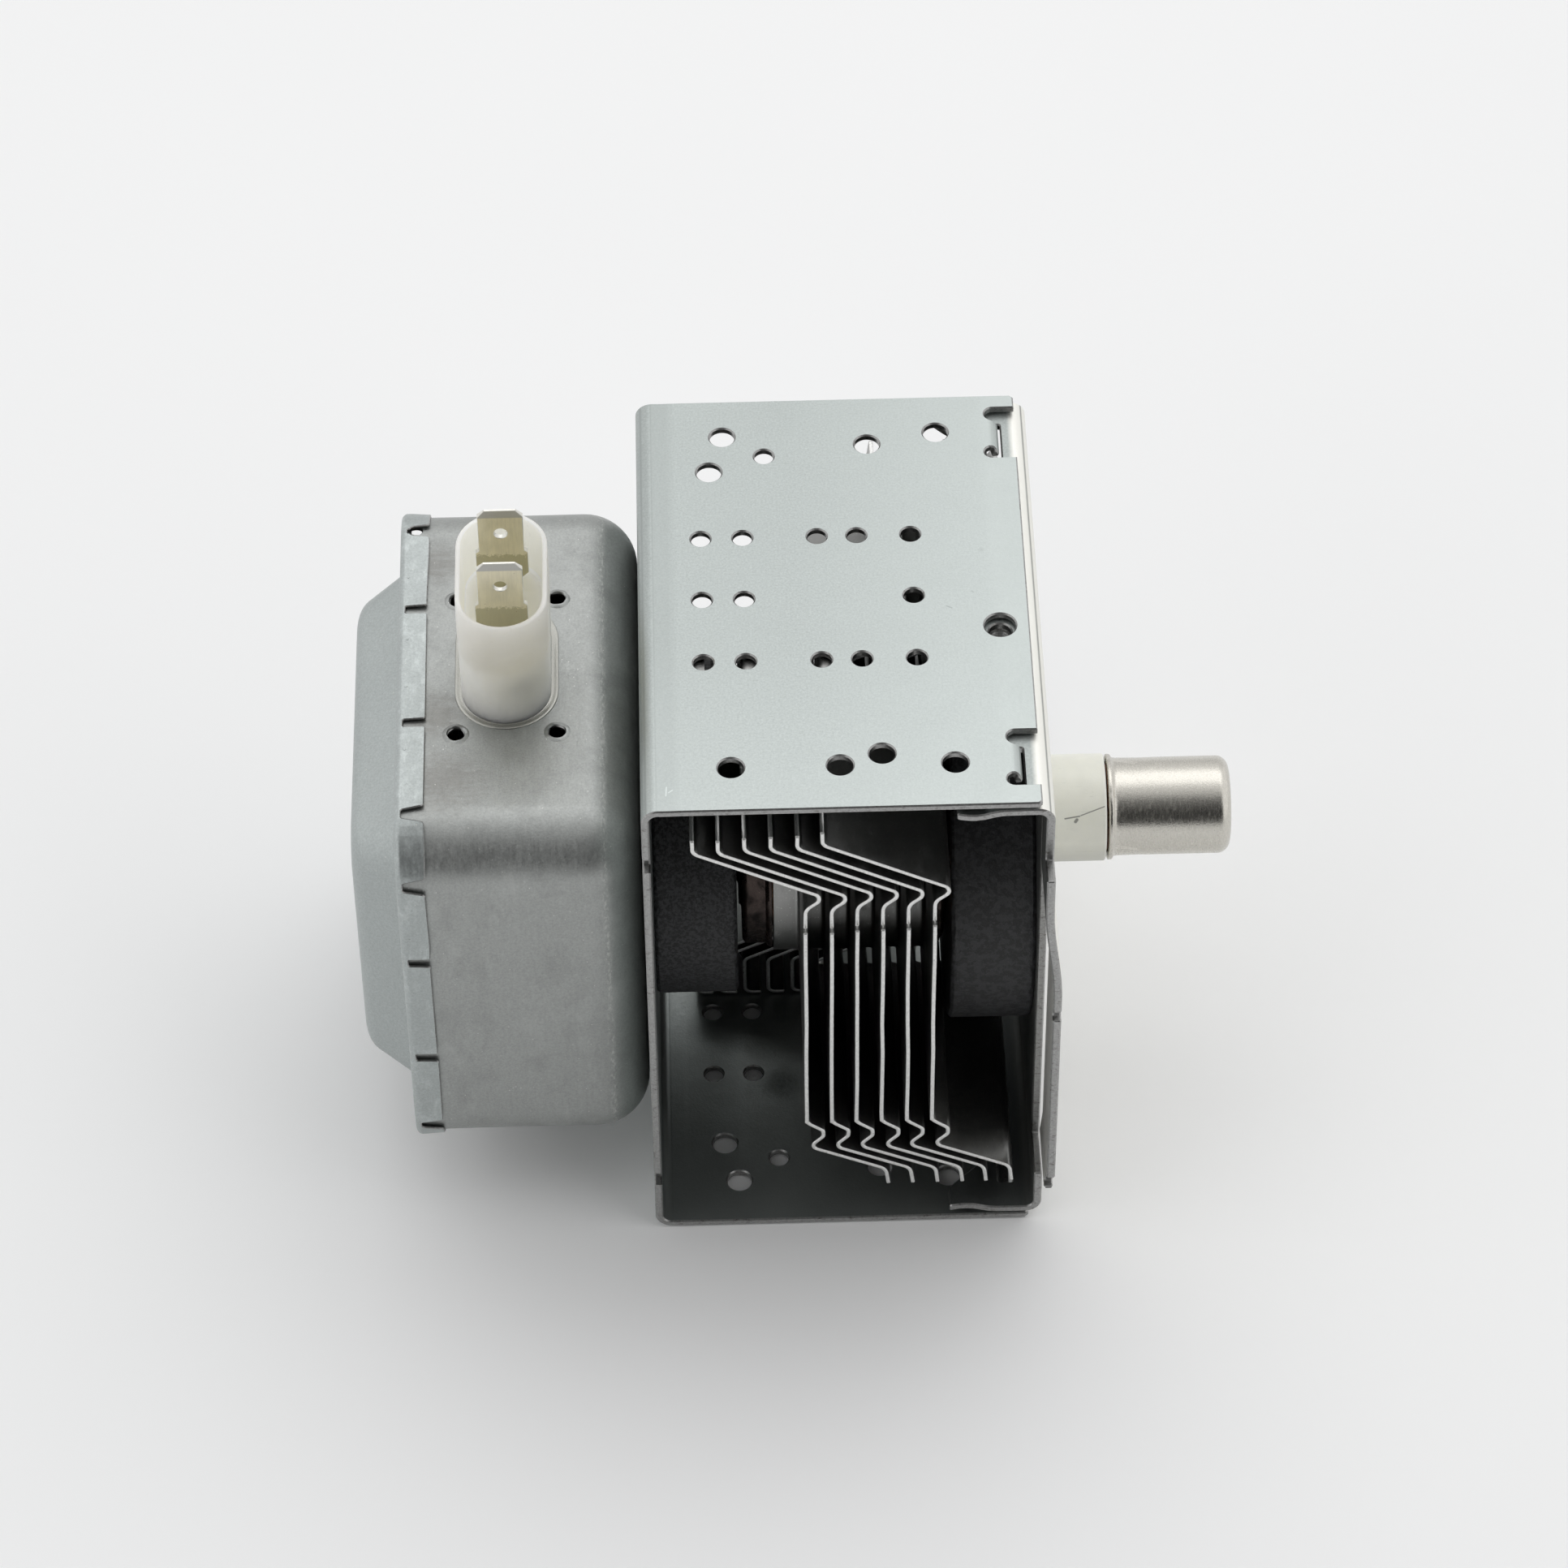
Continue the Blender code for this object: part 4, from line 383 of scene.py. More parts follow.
def cut_blank(loops, creases):
    """Flat points and triangles of a blank between its outline and holes, split along its creases."""
    points = []
    edges = []
    for loop in loops:
        start = len(points)
        points += [Vector(spot) / MM for spot in loop]
        edges += [(start + index, start + (index + 1) % len(loop)) for index in range(len(loop))]
    for start, end in creases:
        edges.append((len(points), len(points) + 1))
        points += [Vector(start) / MM, Vector(end) / MM]
    flat, _, triangles, *_ = delaunay_2d_cdt(points, edges, [], 0, 1e-4)
    spots = np.array([spot[:] for spot in flat]) * MM
    corners = np.array(triangles)
    middles = spots[corners].mean(axis=1)
    inside = np.zeros(len(middles), bool)
    for loop in loops:
        ring = np.array(loop)
        for (u0, v0), (u1, v1) in zip(ring, np.roll(ring, -1, axis=0)):
            if v0 != v1:
                crossed = (v0 > middles[:, 1]) != (v1 > middles[:, 1])
                reach = u0 + (middles[:, 1] - v0) * (u1 - u0) / (v1 - v0)
                inside ^= crossed & (middles[:, 0] < reach)
    corners = corners[inside]
    side_a = spots[corners[:, 1]] - spots[corners[:, 0]]
    side_b = spots[corners[:, 2]] - spots[corners[:, 0]]
    area = side_a[:, 0] * side_b[:, 1] - side_a[:, 1] * side_b[:, 0]
    corners = corners[np.abs(area) > 1e-13]
    area = area[np.abs(area) > 1e-13]
    corners[area < 0] = corners[area < 0][:, ::-1]
    return spots, corners


def fold_sheet(built, loops, creases, place, sheet, edge, open_edge=None):
    """Add a sheet to a mesh: its blank, the same on its other face, and rounded cut edges between.

    The first loop is the outline and the others are holes. place turns a point of the blank and a
    depth into a point of the bent sheet. Cut edges get the second finish. open_edge says which
    points of the blank lie on a line where the sheet goes on and so has no cut edge.
    """
    moved = []
    for index, loop in enumerate(loops):
        ring = np.array(loop)
        after = np.roll(ring, -1, axis=0)
        area = (ring[:, 0] * after[:, 1] - ring[:, 1] * after[:, 0]).sum()
        if (area > 0) != (index == 0):
            ring = ring[::-1]
        moved.append(inset_outline(ring, edge))
    spots, corners = cut_blank(moved, creases)
    sides = {}
    for a, b, c in corners.tolist():
        sides[a, b] = sides[b, c] = sides[c, a] = True
    border = [side for side in sides if (side[1], side[0]) not in sides]
    if open_edge:
        border = [(a, b) for a, b in border if not (open_edge(*spots[a]) and open_edge(*spots[b]))]
    outward = {}
    for a, b in border:
        run = spots[b] - spots[a]
        right = np.array((run[1], -run[0])) / np.linalg.norm(run)
        for spot in (a, b):
            outward.setdefault(spot, []).append(right)
    faces = {}
    for spot in np.unique(corners).tolist():
        u, v = spots[spot]
        faces[spot] = (built.verts.new(place(u, v, 0.0)), built.verts.new(place(u, v, sheet)))
    rims = {}
    for spot, rights in outward.items():
        mitre = sum(rights)
        mitre = mitre / max(float(mitre @ rights[0]), 0.35) * edge
        u, v = spots[spot] + mitre
        rims[spot] = (built.verts.new(place(u, v, edge)), built.verts.new(place(u, v, sheet - edge)))
    for a, b, c in corners.tolist():
        built.faces.new((faces[a][0], faces[b][0], faces[c][0]))
        built.faces.new((faces[c][1], faces[b][1], faces[a][1]))
    for a, b in border:
        rows = [(around[a][side], around[b][side]) for around, side in ((faces, 0), (rims, 0), (rims, 1), (faces, 1))]
        for near, far in zip(rows, rows[1:]):
            face = built.faces.new((near[0], far[0], far[1], near[1]))
            face.material_index = 1


def turn_profile(built, profile, sides, centre=(0.0, 0.0), closed=True, axis="X", shift=None, finish=0):
    """Add a profile of (place along the axis, radius) turned about that axis; zero radius is a point."""
    rings = []
    for along, radius in profile:
        ring = []
        for side in range(1 if radius == 0 else sides):
            angle = 2 * math.pi * side / sides
            place, reach = shift(along, radius, angle) if shift else (along, radius)
            across = (centre[0] + reach * math.cos(angle), centre[1] + reach * math.sin(angle))
            ring.append(built.verts.new((place, *across) if axis == "X" else (*across, place)))
        rings.append(ring)
    pairs = list(zip(rings, rings[1:]))
    if closed:
        pairs.append((rings[-1], rings[0]))
    for ring, after in pairs:
        for side in range(sides):
            onward = (side + 1) % sides
            corners = [ring[side % len(ring)], ring[onward % len(ring)],
                       after[onward % len(after)], after[side % len(after)]]
            corners = list(dict.fromkeys(corners))
            if len(corners) > 2:
                built.faces.new(corners).material_index = finish
    return rings


def loft_rings(built, rings, closed=False, cap_first=False, cap_last=False, finish=0):
    """Add a skin over equal rings of points."""
    loops = [[built.verts.new(point) for point in ring] for ring in rings]
    pairs = list(zip(loops, loops[1:]))
    if closed:
        pairs.append((loops[-1], loops[0]))
    count = len(loops[0])
    for loop, after in pairs:
        for index in range(count):
            onward = (index + 1) % count
            built.faces.new((loop[index], loop[onward], after[onward], after[index])).material_index = finish
    if cap_first:
        built.faces.new(loops[0]).material_index = finish
    if cap_last:
        built.faces.new(list(reversed(loops[-1]))).material_index = finish
    return loops


def wander(seed, point, scale):
    """Smooth repeatable noise between -1 and 1, with features of about that size."""
    return noise.noise(Vector(point) / scale + Vector((seed * 7.31, seed * 3.17, seed * 5.73)))


def finish_piece(name, built, skins, nodes, smooth_angle=38):
    """Turn a mesh into a piece of the part: finishes, shading, and its place in the frame."""
    bmesh.ops.recalc_face_normals(built, faces=built.faces[:])
    bmesh.ops.translate(built, vec=DRAWING_ORIGIN, verts=built.verts[:])
    mesh = bpy.data.meshes.new(name)
    built.to_mesh(mesh)
    built.free()
    for skin in skins:
        mesh.materials.append(finish(skin))
    mesh.shade_smooth()
    mesh.set_sharp_from_angle(angle=math.radians(smooth_angle))
    piece = bpy.data.objects.new(name, mesh)
    bpy.context.collection.objects.link(piece)
    even = piece.modifiers.new("even shading", "WEIGHTED_NORMAL")
    even.keep_sharp = True
    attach(piece, "root")
    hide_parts(*nodes)
    return piece


class Finish:
    """Principled material that is built up node by node; lengths in its calls are millimetres."""

    def __init__(self, name, base, roughness, metallic):
        self.material = bpy.data.materials.new(name)
        self.material.use_nodes = True
        self.tree = self.material.node_tree
        self.shader = self.tree.nodes["Principled BSDF"]
        self.shader.inputs["Base Color"].default_value = (*base, 1.0)
        self.shader.inputs["Roughness"].default_value = roughness
        self.shader.inputs["Metallic"].default_value = metallic
        self.shade = (*base, 1.0)
        self.rough = roughness
        self.relief = None
        self.place = self.math_vector("SCALE", self.node("ShaderNodeTexCoord").outputs["Object"], scale=1 / MM)

    def node(self, kind, **settings):
        """Add a node and set its plain settings."""
        made = self.tree.nodes.new(kind)
        for key, value in settings.items():
            setattr(made, key, value)
        return made

    def feed(self, socket, value):
        """Link a value into a socket, or set it there."""
        if isinstance(value, bpy.types.NodeSocket):
            self.tree.links.new(value, socket)
        else:
            socket.default_value = value

    def math_vector(self, operation, vector, other=None, scale=None):
        """Vector arithmetic."""
        made = self.node("ShaderNodeVectorMath", operation=operation)
        self.feed(made.inputs[0], vector)
        if other is not None:
            self.feed(made.inputs[1], other)
        if scale is not None:
            made.inputs["Scale"].default_value = scale
        return made.outputs["Vector"]

    def math(self, operation, first, second=0.0):
        """Plain arithmetic."""
        made = self.node("ShaderNodeMath", operation=operation)
        self.feed(made.inputs[0], first)
        self.feed(made.inputs[1], second)
        return made.outputs["Value"]

    def scaled_place(self, size, stretch, shift):
        """Place in units of that size, moved by shift and drawn out along an axis by stretch."""
        moved = self.math_vector("ADD", self.place, shift)
        return self.math_vector("MULTIPLY", moved, tuple(1 / (size * drawn) for drawn in stretch))

    def grain(self, size, detail=2.0, stretch=(1.0, 1.0, 1.0), shift=(0.0, 0.0, 0.0), rough=0.5):
        """Noise with features of that size."""
        made = self.node("ShaderNodeTexNoise")
        self.feed(made.inputs["Vector"], self.scaled_place(size, stretch, shift))
        for name, setting in (("Scale", 1.0), ("Detail", detail), ("Roughness", rough)):
            made.inputs[name].default_value = setting
        return made.outputs["Fac"]

    def cells(self, size, shift):
        """Distance to the nearest point of Voronoi cells of that size."""
        made = self.node("ShaderNodeTexVoronoi")
        self.feed(made.inputs["Vector"], self.scaled_place(size, (1.0, 1.0, 1.0), shift))
        made.inputs["Scale"].default_value = 1.0
        return made.outputs["Distance"]

    def span(self, value, low, high, to_low=0.0, to_high=1.0):
        """Map a range onto another, held at its ends."""
        made = self.node("ShaderNodeMapRange")
        for socket, setting in zip(made.inputs, (value, low, high, to_low, to_high)):
            self.feed(socket, setting)
        return made.outputs["Result"]

    def axis(self, name, vector=None):
        """One coordinate of a vector, or else of the place in millimetres of the part's frame."""
        made = self.node("ShaderNodeSeparateXYZ")
        self.feed(made.inputs[0], self.place if vector is None else vector)
        return made.outputs[name]

    def facing(self, name):
        """How far the surface faces along an axis of the part, from -1 to 1."""
        return self.axis(name, self.node("ShaderNodeTexCoord").outputs["Normal"])

    def near(self, spot, radius):
        """One at a spot of the drawing, falling to zero at that radius."""
        made = self.node("ShaderNodeVectorMath", operation="DISTANCE")
        self.feed(made.inputs[0], self.place)
        made.inputs[1].default_value = tuple(part + shift / MM for part, shift in zip(spot, DRAWING_ORIGIN))
        return self.span(made.outputs["Value"], 0.0, radius, 1.0, 0.0)

    def scratch(self, start, end, width):
        """One within that width of a straight line between two spots of the drawing."""
        origin = Vector(start) + DRAWING_ORIGIN / MM
        run = Vector(end) - Vector(start)
        gone = self.math_vector("SUBTRACT", self.place, tuple(origin))
        dot = self.node("ShaderNodeVectorMath", operation="DOT_PRODUCT")
        self.feed(dot.inputs[0], gone)
        dot.inputs[1].default_value = tuple(run / run.length_squared)
        along = self.span(dot.outputs["Value"], 0.0, 1.0)
        foot = self.node("ShaderNodeVectorMath", operation="SCALE")
        foot.inputs[0].default_value = tuple(run)
        self.feed(foot.inputs["Scale"], along)
        made = self.node("ShaderNodeVectorMath", operation="DISTANCE")
        self.feed(made.inputs[0], gone)
        self.feed(made.inputs[1], foot.outputs["Vector"])
        return self.span(made.outputs["Value"], width * 0.5, width, 1.0, 0.0)

    def band(self, low, high, soft_low, soft_high):
        """One between two places along the tube's axis, with soft ends."""
        x = self.axis("X")
        shift = DRAWING_ORIGIN.x / MM
        rise = self.span(x, low + shift - soft_low, low + shift + soft_low)
        fall = self.span(x, high + shift - soft_high, high + shift + soft_high, 1.0, 0.0)
        return self.math("MULTIPLY", rise, fall)

    def tint(self, amount, other):
        """Mix the colour so far with another by an amount."""
        made = self.node("ShaderNodeMix", data_type="RGBA")
        self.feed(made.inputs["Factor"], amount)
        self.feed(made.inputs[6], self.shade)
        self.feed(made.inputs[7], (*other, 1.0))
        self.shade = made.outputs[2]

    def wash(self, value, low, high, to_low, to_high, other):
        """Mix in another colour by a value mapped from one range onto another."""
        self.tint(self.span(value, low, high, to_low, to_high), other)

    def vary(self, value, amount):
        """Lighten and darken the colour by noise that lies about one half."""
        factor = self.span(value, 0.25, 0.75, 1 - amount, 1 + amount)
        made = self.node("ShaderNodeVectorMath", operation="SCALE")
        self.feed(made.inputs[0], self.shade if isinstance(self.shade, bpy.types.NodeSocket) else self.shade[:3])
        self.feed(made.inputs["Scale"], factor)
        self.shade = made.outputs["Vector"]

    def roughen(self, value, low, high, amount):
        """Change roughness by an amount where a value runs from low to high."""
        added = self.span(value, low, high, 0.0, amount)
        self.rough = self.math("ADD", self.rough, added)

    def raise_by(self, value, height):
        """Add relief of that height in millimetres."""
        added = self.math("MULTIPLY", value, height)
        self.relief = added if self.relief is None else self.math("ADD", self.relief, added)

    def done(self):
        """Link everything to the shader and give the material back."""
        if isinstance(self.shade, bpy.types.NodeSocket):
            self.tree.links.new(self.shade, self.shader.inputs["Base Color"])
        if isinstance(self.rough, bpy.types.NodeSocket):
            self.tree.links.new(self.math("MINIMUM", self.math("MAXIMUM", self.rough, 0.05), 1.0),
                                self.shader.inputs["Roughness"])
        if self.relief is not None:
            bump = self.node("ShaderNodeBump")
            bump.inputs["Distance"].default_value = MM
            self.tree.links.new(self.relief, bump.inputs["Height"])
            self.tree.links.new(bump.outputs["Normal"], self.shader.inputs["Normal"])
        return self.material


def scaled(base, factor):
    """Colour made lighter or darker by a factor."""
    return tuple(min(part * factor, 1.0) for part in base)


def zinc_finish(name, base, roughness, streak_depth=0.0, grain=0.02):
    """Galvanised sheet: fine sparkle, clouded colour and drawing streaks."""
    made = Finish(name, base, roughness, 0.92)
    sparkle = made.grain(0.3, 3.0, rough=0.7)
    clouds = made.grain(9.0, 4.0, shift=(3.0, 1.0, 7.0))
    made.vary(clouds, 0.04)
    made.vary(sparkle, 0.15)
    made.roughen(clouds, 0.3, 0.7, 0.05)
    made.roughen(made.grain(0.5, 2.0, shift=(9.0, 2.0, 1.0)), 0.35, 0.65, 0.06)
    made.raise_by(sparkle, grain)
    made.raise_by(made.grain(6.0, 2.0, shift=(1.0, 8.0, 5.0)), 0.05)
    if streak_depth:
        lines = made.grain(0.45, 4.0, (1.0, 7.0, 7.0), rough=0.6)
        made.vary(lines, streak_depth)
        made.roughen(lines, 0.4, 0.7, 0.08)
    pits = made.cells(2.3, shift=(5.0, 5.0, 5.0))
    made.wash(pits, 0.015, 0.04, 0.3, 0.0, scaled(base, 0.35))
    return made


def paint_inner_shade(made, base, level, low, high, height):
    """Painted shade: darker zinc on the faces towards the inside of the yoke, where less light reaches."""
    up = made.math("ABSOLUTE", made.math("SUBTRACT", made.axis("Z"), DRAWING_ORIGIN.z / MM))
    inside = made.math("MULTIPLY", made.span(up, height - 0.1, height + 0.1, 1.0, 0.0), made.band(low, high, 0.1, 0.1))
    made.wash(inside, 0.0, 1.0, 0.0, 0.9, scaled(base, level))


def yoke_finish(base):
    """Zinc of the yoke: painted shade along the press marks across its walls, painted light towards the antenna end
    and the front, painted shade on the inner faces, and a few small scratches.
    """
    made = zinc_finish("yoke_zinc", base, 0.37)
    # Painted shade: a darker band and a darker line where the walls are pressed, in place of the shading of the
    # shallow press step.
    made.wash(made.band(2.2, 4.9, 0.1, 0.7), 0.0, 1.0, 0.0, 0.5, scaled(base, 0.84))
    made.wash(made.band(2.1, 2.25, 0.08, 0.08), 0.0, 1.0, 0.0, 0.5, scaled(base, 0.7))
    # Painted light: lighter beyond X 49.6 mm.
    made.wash(made.band(49.6, 60.0, 0.9, 0.5), 0.0, 1.0, 0.0, 0.6, scaled(base, 1.09))
    for start, end, level in (((43.1, -2.3, 45), (43.8, -2.7, 45), 0.45), ((46.7, 0.5, 45), (47.0, 0.3, 45), 0.6),
                              ((3.6, -35.3, 45), (3.5, -36.9, 45), 1.6), ((4.4, -35.9, 45), (3.9, -36.3, 45), 1.6)):
        made.wash(made.scratch(start, end, 0.13), 0.0, 1.0, 0.0, 0.7, scaled(base, level))
    made.wash(made.near((48.5, 8.6, 45), 0.8), 0.3, 0.9, 0.0, 0.35, scaled(base, 0.5))
    # Painted light: lighter towards the antenna end and towards the front edge.
    painted_light_tone = scaled(base, 1.3)
    shift = DRAWING_ORIGIN.x / MM
    made.wash(made.axis("X"), shift + 22.0, shift + 50.0, 0.0, 0.45, painted_light_tone)
    made.wash(made.axis("Y"), -10.0, -40.0, 0.0, 0.3, painted_light_tone)
    # Painted shade on the inner faces of the walls.
    paint_inner_shade(made, base, 0.8, 0.6, 60.0, 44.4)
    rubs = made.math("MULTIPLY", made.near((19.4, -14.5, -43.9), 5.5), made.grain(0.5, 5.0, rough=0.75))
    made.roughen(rubs, 0.16, 0.5, 0.4)
    return made.done()


def plate_finish(base):
    """Zinc of the closing plate: paler and warmer along its bends, partly a sandier surface and partly a painted
    highlight, with painted shade on its inner face.
    """
    made = zinc_finish("plate_zinc", base, 0.42, 0.03, 0.03)
    # Partly painted highlight: the pale warm band along the bends is lighter than the sandier zinc alone.
    made.tint(made.band(53.8, 60.0, 0.4, 0.5), (0.86, 0.855, 0.81))
    # Painted shade on the inner face of the plate.
    paint_inner_shade(made, base, 0.3, 20.0, PLATE_HIGH.x / MM - 2.1, PLATE_HIGH.z / MM - 0.6)
    return made.done()


def case_finish(base):
    """Zinc of the filter case: drawing streaks, water stains, dust and a scuffed line by the bottom."""
    made = zinc_finish("case_zinc", base, 0.37, 0.07, 0.022)
    smudge = made.grain(5.5, 5.0, (1.0, 1.0, 1.7), (20.0, 4.0, 11.0), 0.65)
    made.wash(smudge, 0.5, 0.75, 0.0, 0.4, scaled(base, 0.62))
    pale = made.grain(4.0, 5.0, (1.0, 1.4, 2.0), (2.0, 14.0, 3.0), 0.7)
    made.wash(pale, 0.54, 0.75, 0.0, 0.3, scaled(base, 1.5))
    streaks = made.grain(1.1, 5.0, (2.2, 0.8, 1.0), (3.0, 3.0, 3.0), 0.75)
    for spot, radius in (((-28.6, 20.5, 32.6), 7.0), ((-28.8, -9.0, 32.6), 9.0), ((-27.5, -22.0, 32.4), 11.0)):
        near = made.near(spot, radius)
        made.wash(near, 0.0, 0.8, 0.0, 0.3, scaled(base, 0.6))
        made.wash(made.math("MULTIPLY", near, streaks), 0.18, 0.42, 0.0, 0.45, (0.2, 0.19, 0.175))
    scuffs = made.grain(0.4, 4.0, (0.8, 2.2, 2.2), (6.0, 1.0, 2.0), 0.7)
    line = made.math("MULTIPLY", made.band(-5.7, -5.0, 0.35, 0.25), made.span(scuffs, 0.48, 0.62))
    made.wash(line, 0.0, 1.0, 0.0, 0.55, (0.74, 0.75, 0.72))
    made.roughen(line, 0.0, 1.0, 0.15)
    dust = made.cells(1.5, shift=(1.0, 2.0, 3.0))
    made.wash(dust, 0.03, 0.07, 0.6, 0.0, (0.85, 0.85, 0.82))
    return made.done()


def lid_finish(base):
    """Zinc of the lid, with dust and rubs on the pressed-down flaps."""
    made = zinc_finish("lid_zinc", base, 0.36, 0.03, 0.02)
    rub = made.grain(1.4, 5.0, (1.0, 2.0, 2.0), (2.0, 9.0, 1.0), 0.7)
    flaps = made.math("MULTIPLY", made.band(-34.5, -30.0, 0.3, 0.3), rub)
    made.wash(flaps, 0.52, 0.7, 0.0, 0.5, scaled(base, 1.5))
    dust = made.cells(2.0, shift=(4.0, 2.0, 3.0))
    made.wash(dust, 0.02, 0.05, 0.6, 0.0, (0.8, 0.78, 0.7))
    return made.done()


def cut_steel_finish(base):
    """Sheared edge: bare drawn steel with fine lines across the sheet."""
    made = Finish("cut_steel", base, 0.36, 1.0)
    drag = made.grain(0.25, 3.0, (1.0, 1.0, 1.0))
    made.vary(drag, 0.2)
    made.raise_by(drag, 0.02)
    dirt = made.grain(1.1, 5.0, (1.0, 1.0, 0.6), rough=0.75)
    made.wash(dirt, 0.55, 0.66, 0.0, 0.6, (0.06, 0.05, 0.035))
    return made.done()


def aluminium_finish(name, base, roughness):
    """Mill-finish sheet with rolling lines, scuffs and slanting scratches."""
    made = Finish(name, base, roughness, 1.0)
    rolled = made.grain(0.3, 3.0, (1.0, 1.0, 14.0))
    made.vary(rolled, 0.06)
    made.roughen(rolled, 0.35, 0.65, 0.1)
    made.raise_by(rolled, 0.006)
    scuff = made.grain(2.6, 5.0, (1.0, 2.5, 1.0), (4.0, 9.0, 2.0), 0.7)
    made.roughen(scuff, 0.5, 0.7, 0.16)
    made.wash(scuff, 0.6, 0.72, 0.0, 0.25, scaled(base, 0.6))
    scratch = made.grain(0.55, 2.0, (0.35, 0.12, 1.0), (2.0, 5.0, 7.0), 0.4)
    made.wash(scratch, 0.68, 0.74, 0.0, 0.6, (0.85, 0.85, 0.83))
    return made.done()


def sheared_finish(name, base, roughness):
    """Freshly sheared aluminium edge: slanting shear lines and small dark tears."""
    made = Finish(name, base, roughness, 1.0)
    shear = made.grain(0.3, 4.0, (1.0, 1.0, 1.6), rough=0.7)
    made.vary(shear, 0.16)
    made.raise_by(shear, 0.02)
    tears = made.grain(0.7, 4.0, (1.0, 1.0, 1.3), (6.0, 1.0, 3.0), 0.75)
    made.wash(tears, 0.64, 0.7, 0.0, 0.5, scaled(base, 0.35))
    return made.done()


def ferrite_finish(name, base, size, mottle, shift):
    """Sintered ferrite: matt black spots on dark grey, a sandy surface and a few pale scuffs."""
    made = Finish(name, base, 0.6, 0.0)
    spots = made.grain(size, 3.0, shift=shift, rough=0.6)
    made.wash(spots, 0.47, 0.53, 0.0, mottle, scaled(base, 0.08))
    dust = made.grain(0.3, 2.0, shift=(2.0, 6.0, 8.0))
    made.wash(dust, 0.58, 0.7, 0.0, 0.4, scaled(base, 2.4))
    scuff = made.grain(1.7, 6.0, (1.0, 0.5, 2.0), (7.0, 3.0, 1.0), 0.8)
    made.wash(scuff, 0.66, 0.72, 0.0, 0.35, scaled(base, 5))
    made.raise_by(dust, 0.05)
    made.raise_by(spots, 0.04)
    return made.done()


def metal_finish(name, base, roughness, cloud=0.06, grain=0.006):
    """Plain worked metal with clouds, fine grain and handling marks."""
    made = Finish(name, base, roughness, 1.0)
    clouds = made.grain(3.0, 4.0)
    fine = made.grain(0.2, 3.0, shift=(1.0, 2.0, 3.0))
    made.vary(clouds, cloud)
    made.vary(fine, cloud * 0.8)
    made.roughen(clouds, 0.35, 0.65, 0.1)
    made.raise_by(fine, grain)
    return made.done()


def seal_finish(base):
    """Cup blackened in the brazing furnace, with a brown gloss."""
    made = Finish("oxidised_cup", base, 0.24, 0.75)
    patches = made.grain(1.8, 4.0, (1.0, 1.0, 1.6))
    made.wash(patches, 0.5, 0.66, 0.0, 0.8, (0.006, 0.005, 0.005))
    made.roughen(patches, 0.4, 0.7, 0.35)
    flecks = made.grain(0.4, 3.0, shift=(2.0, 2.0, 9.0))
    made.wash(flecks, 0.66, 0.74, 0.0, 0.5, (0.2, 0.16, 0.12))
    made.raise_by(flecks, 0.04)
    return made.done()


def ceramic_finish(name, base):
    """Fired alumina: chalky and faintly speckled, with pencil-thin marks that metal has left, and painted shade on the
    faces turned downwards.
    """
    made = Finish(name, base, 0.34, 0.0)
    made.vary(made.grain(2.5, 4.0), 0.03)
    # Painted shade: darker on the faces turned downwards.
    made.wash(made.facing("Z"), 0.1, -0.7, 0.0, 0.75, scaled(base, 0.45))
    rub = made.grain(1.6, 4.0, (2.2, 0.35, 0.35), (3.0, 3.0, 1.0), 0.65)
    made.wash(rub, 0.63, 0.7, 0.0, 0.22, (0.36, 0.36, 0.32))
    for start, end, width in (((60.5, -6.3, 4.57), (62.6, -6.1, 4.81), 0.14),
                              ((62.8, -6.05, 4.9), (66.2, -5.25, 5.8), 0.11),
                              ((62.0, -6.6, 4.2), (62.2, -6.4, 4.4), 0.3)):
        made.wash(made.scratch(start, end, width), 0.0, 1.0, 0.0, 0.75, (0.12, 0.12, 0.11))
    made.raise_by(made.grain(0.22, 2.0), 0.01)
    made.shader.inputs["Subsurface Weight"].default_value = 0.3
    made.shader.inputs["Subsurface Radius"].default_value = (1.0, 0.95, 0.8)
    made.shader.inputs["Subsurface Scale"].default_value = 0.0015
    return made.done()


def cap_finish(base):
    """Satin nickel, grainy like orange peel, with a drawn shine and rubs near the rim."""
    made = Finish("cap_nickel", base, 0.22, 1.0)
    turned = made.grain(0.4, 3.0, (0.5, 3.0, 3.0))
    fine = made.grain(0.2, 2.0, shift=(3.0, 1.0, 2.0), rough=0.6)
    made.vary(turned, 0.04)
    made.vary(fine, 0.12)
    made.roughen(turned, 0.35, 0.65, 0.07)
    rub = made.grain(0.9, 5.0, (0.6, 1.0, 2.0), (5.0, 2.0, 8.0), 0.7)
    made.roughen(rub, 0.56, 0.7, 0.15)
    for start, end in (((67.9, 3.4, 6.25), (71.4, 2.5, 6.66)), ((68.3, 3.0, 6.45), (71.0, 2.2, 6.75)),
                       ((67.7, -7.0, -1.06), (71.3, -6.8, -1.96)), ((68.2, -7.02, -0.7), (71.0, -6.9, -1.6))):
        made.wash(made.scratch(start, end, 0.16), 0.0, 1.0, 0.0, 0.5, (0.85, 0.82, 0.76))
    made.raise_by(fine, 0.02)
    return made.done()


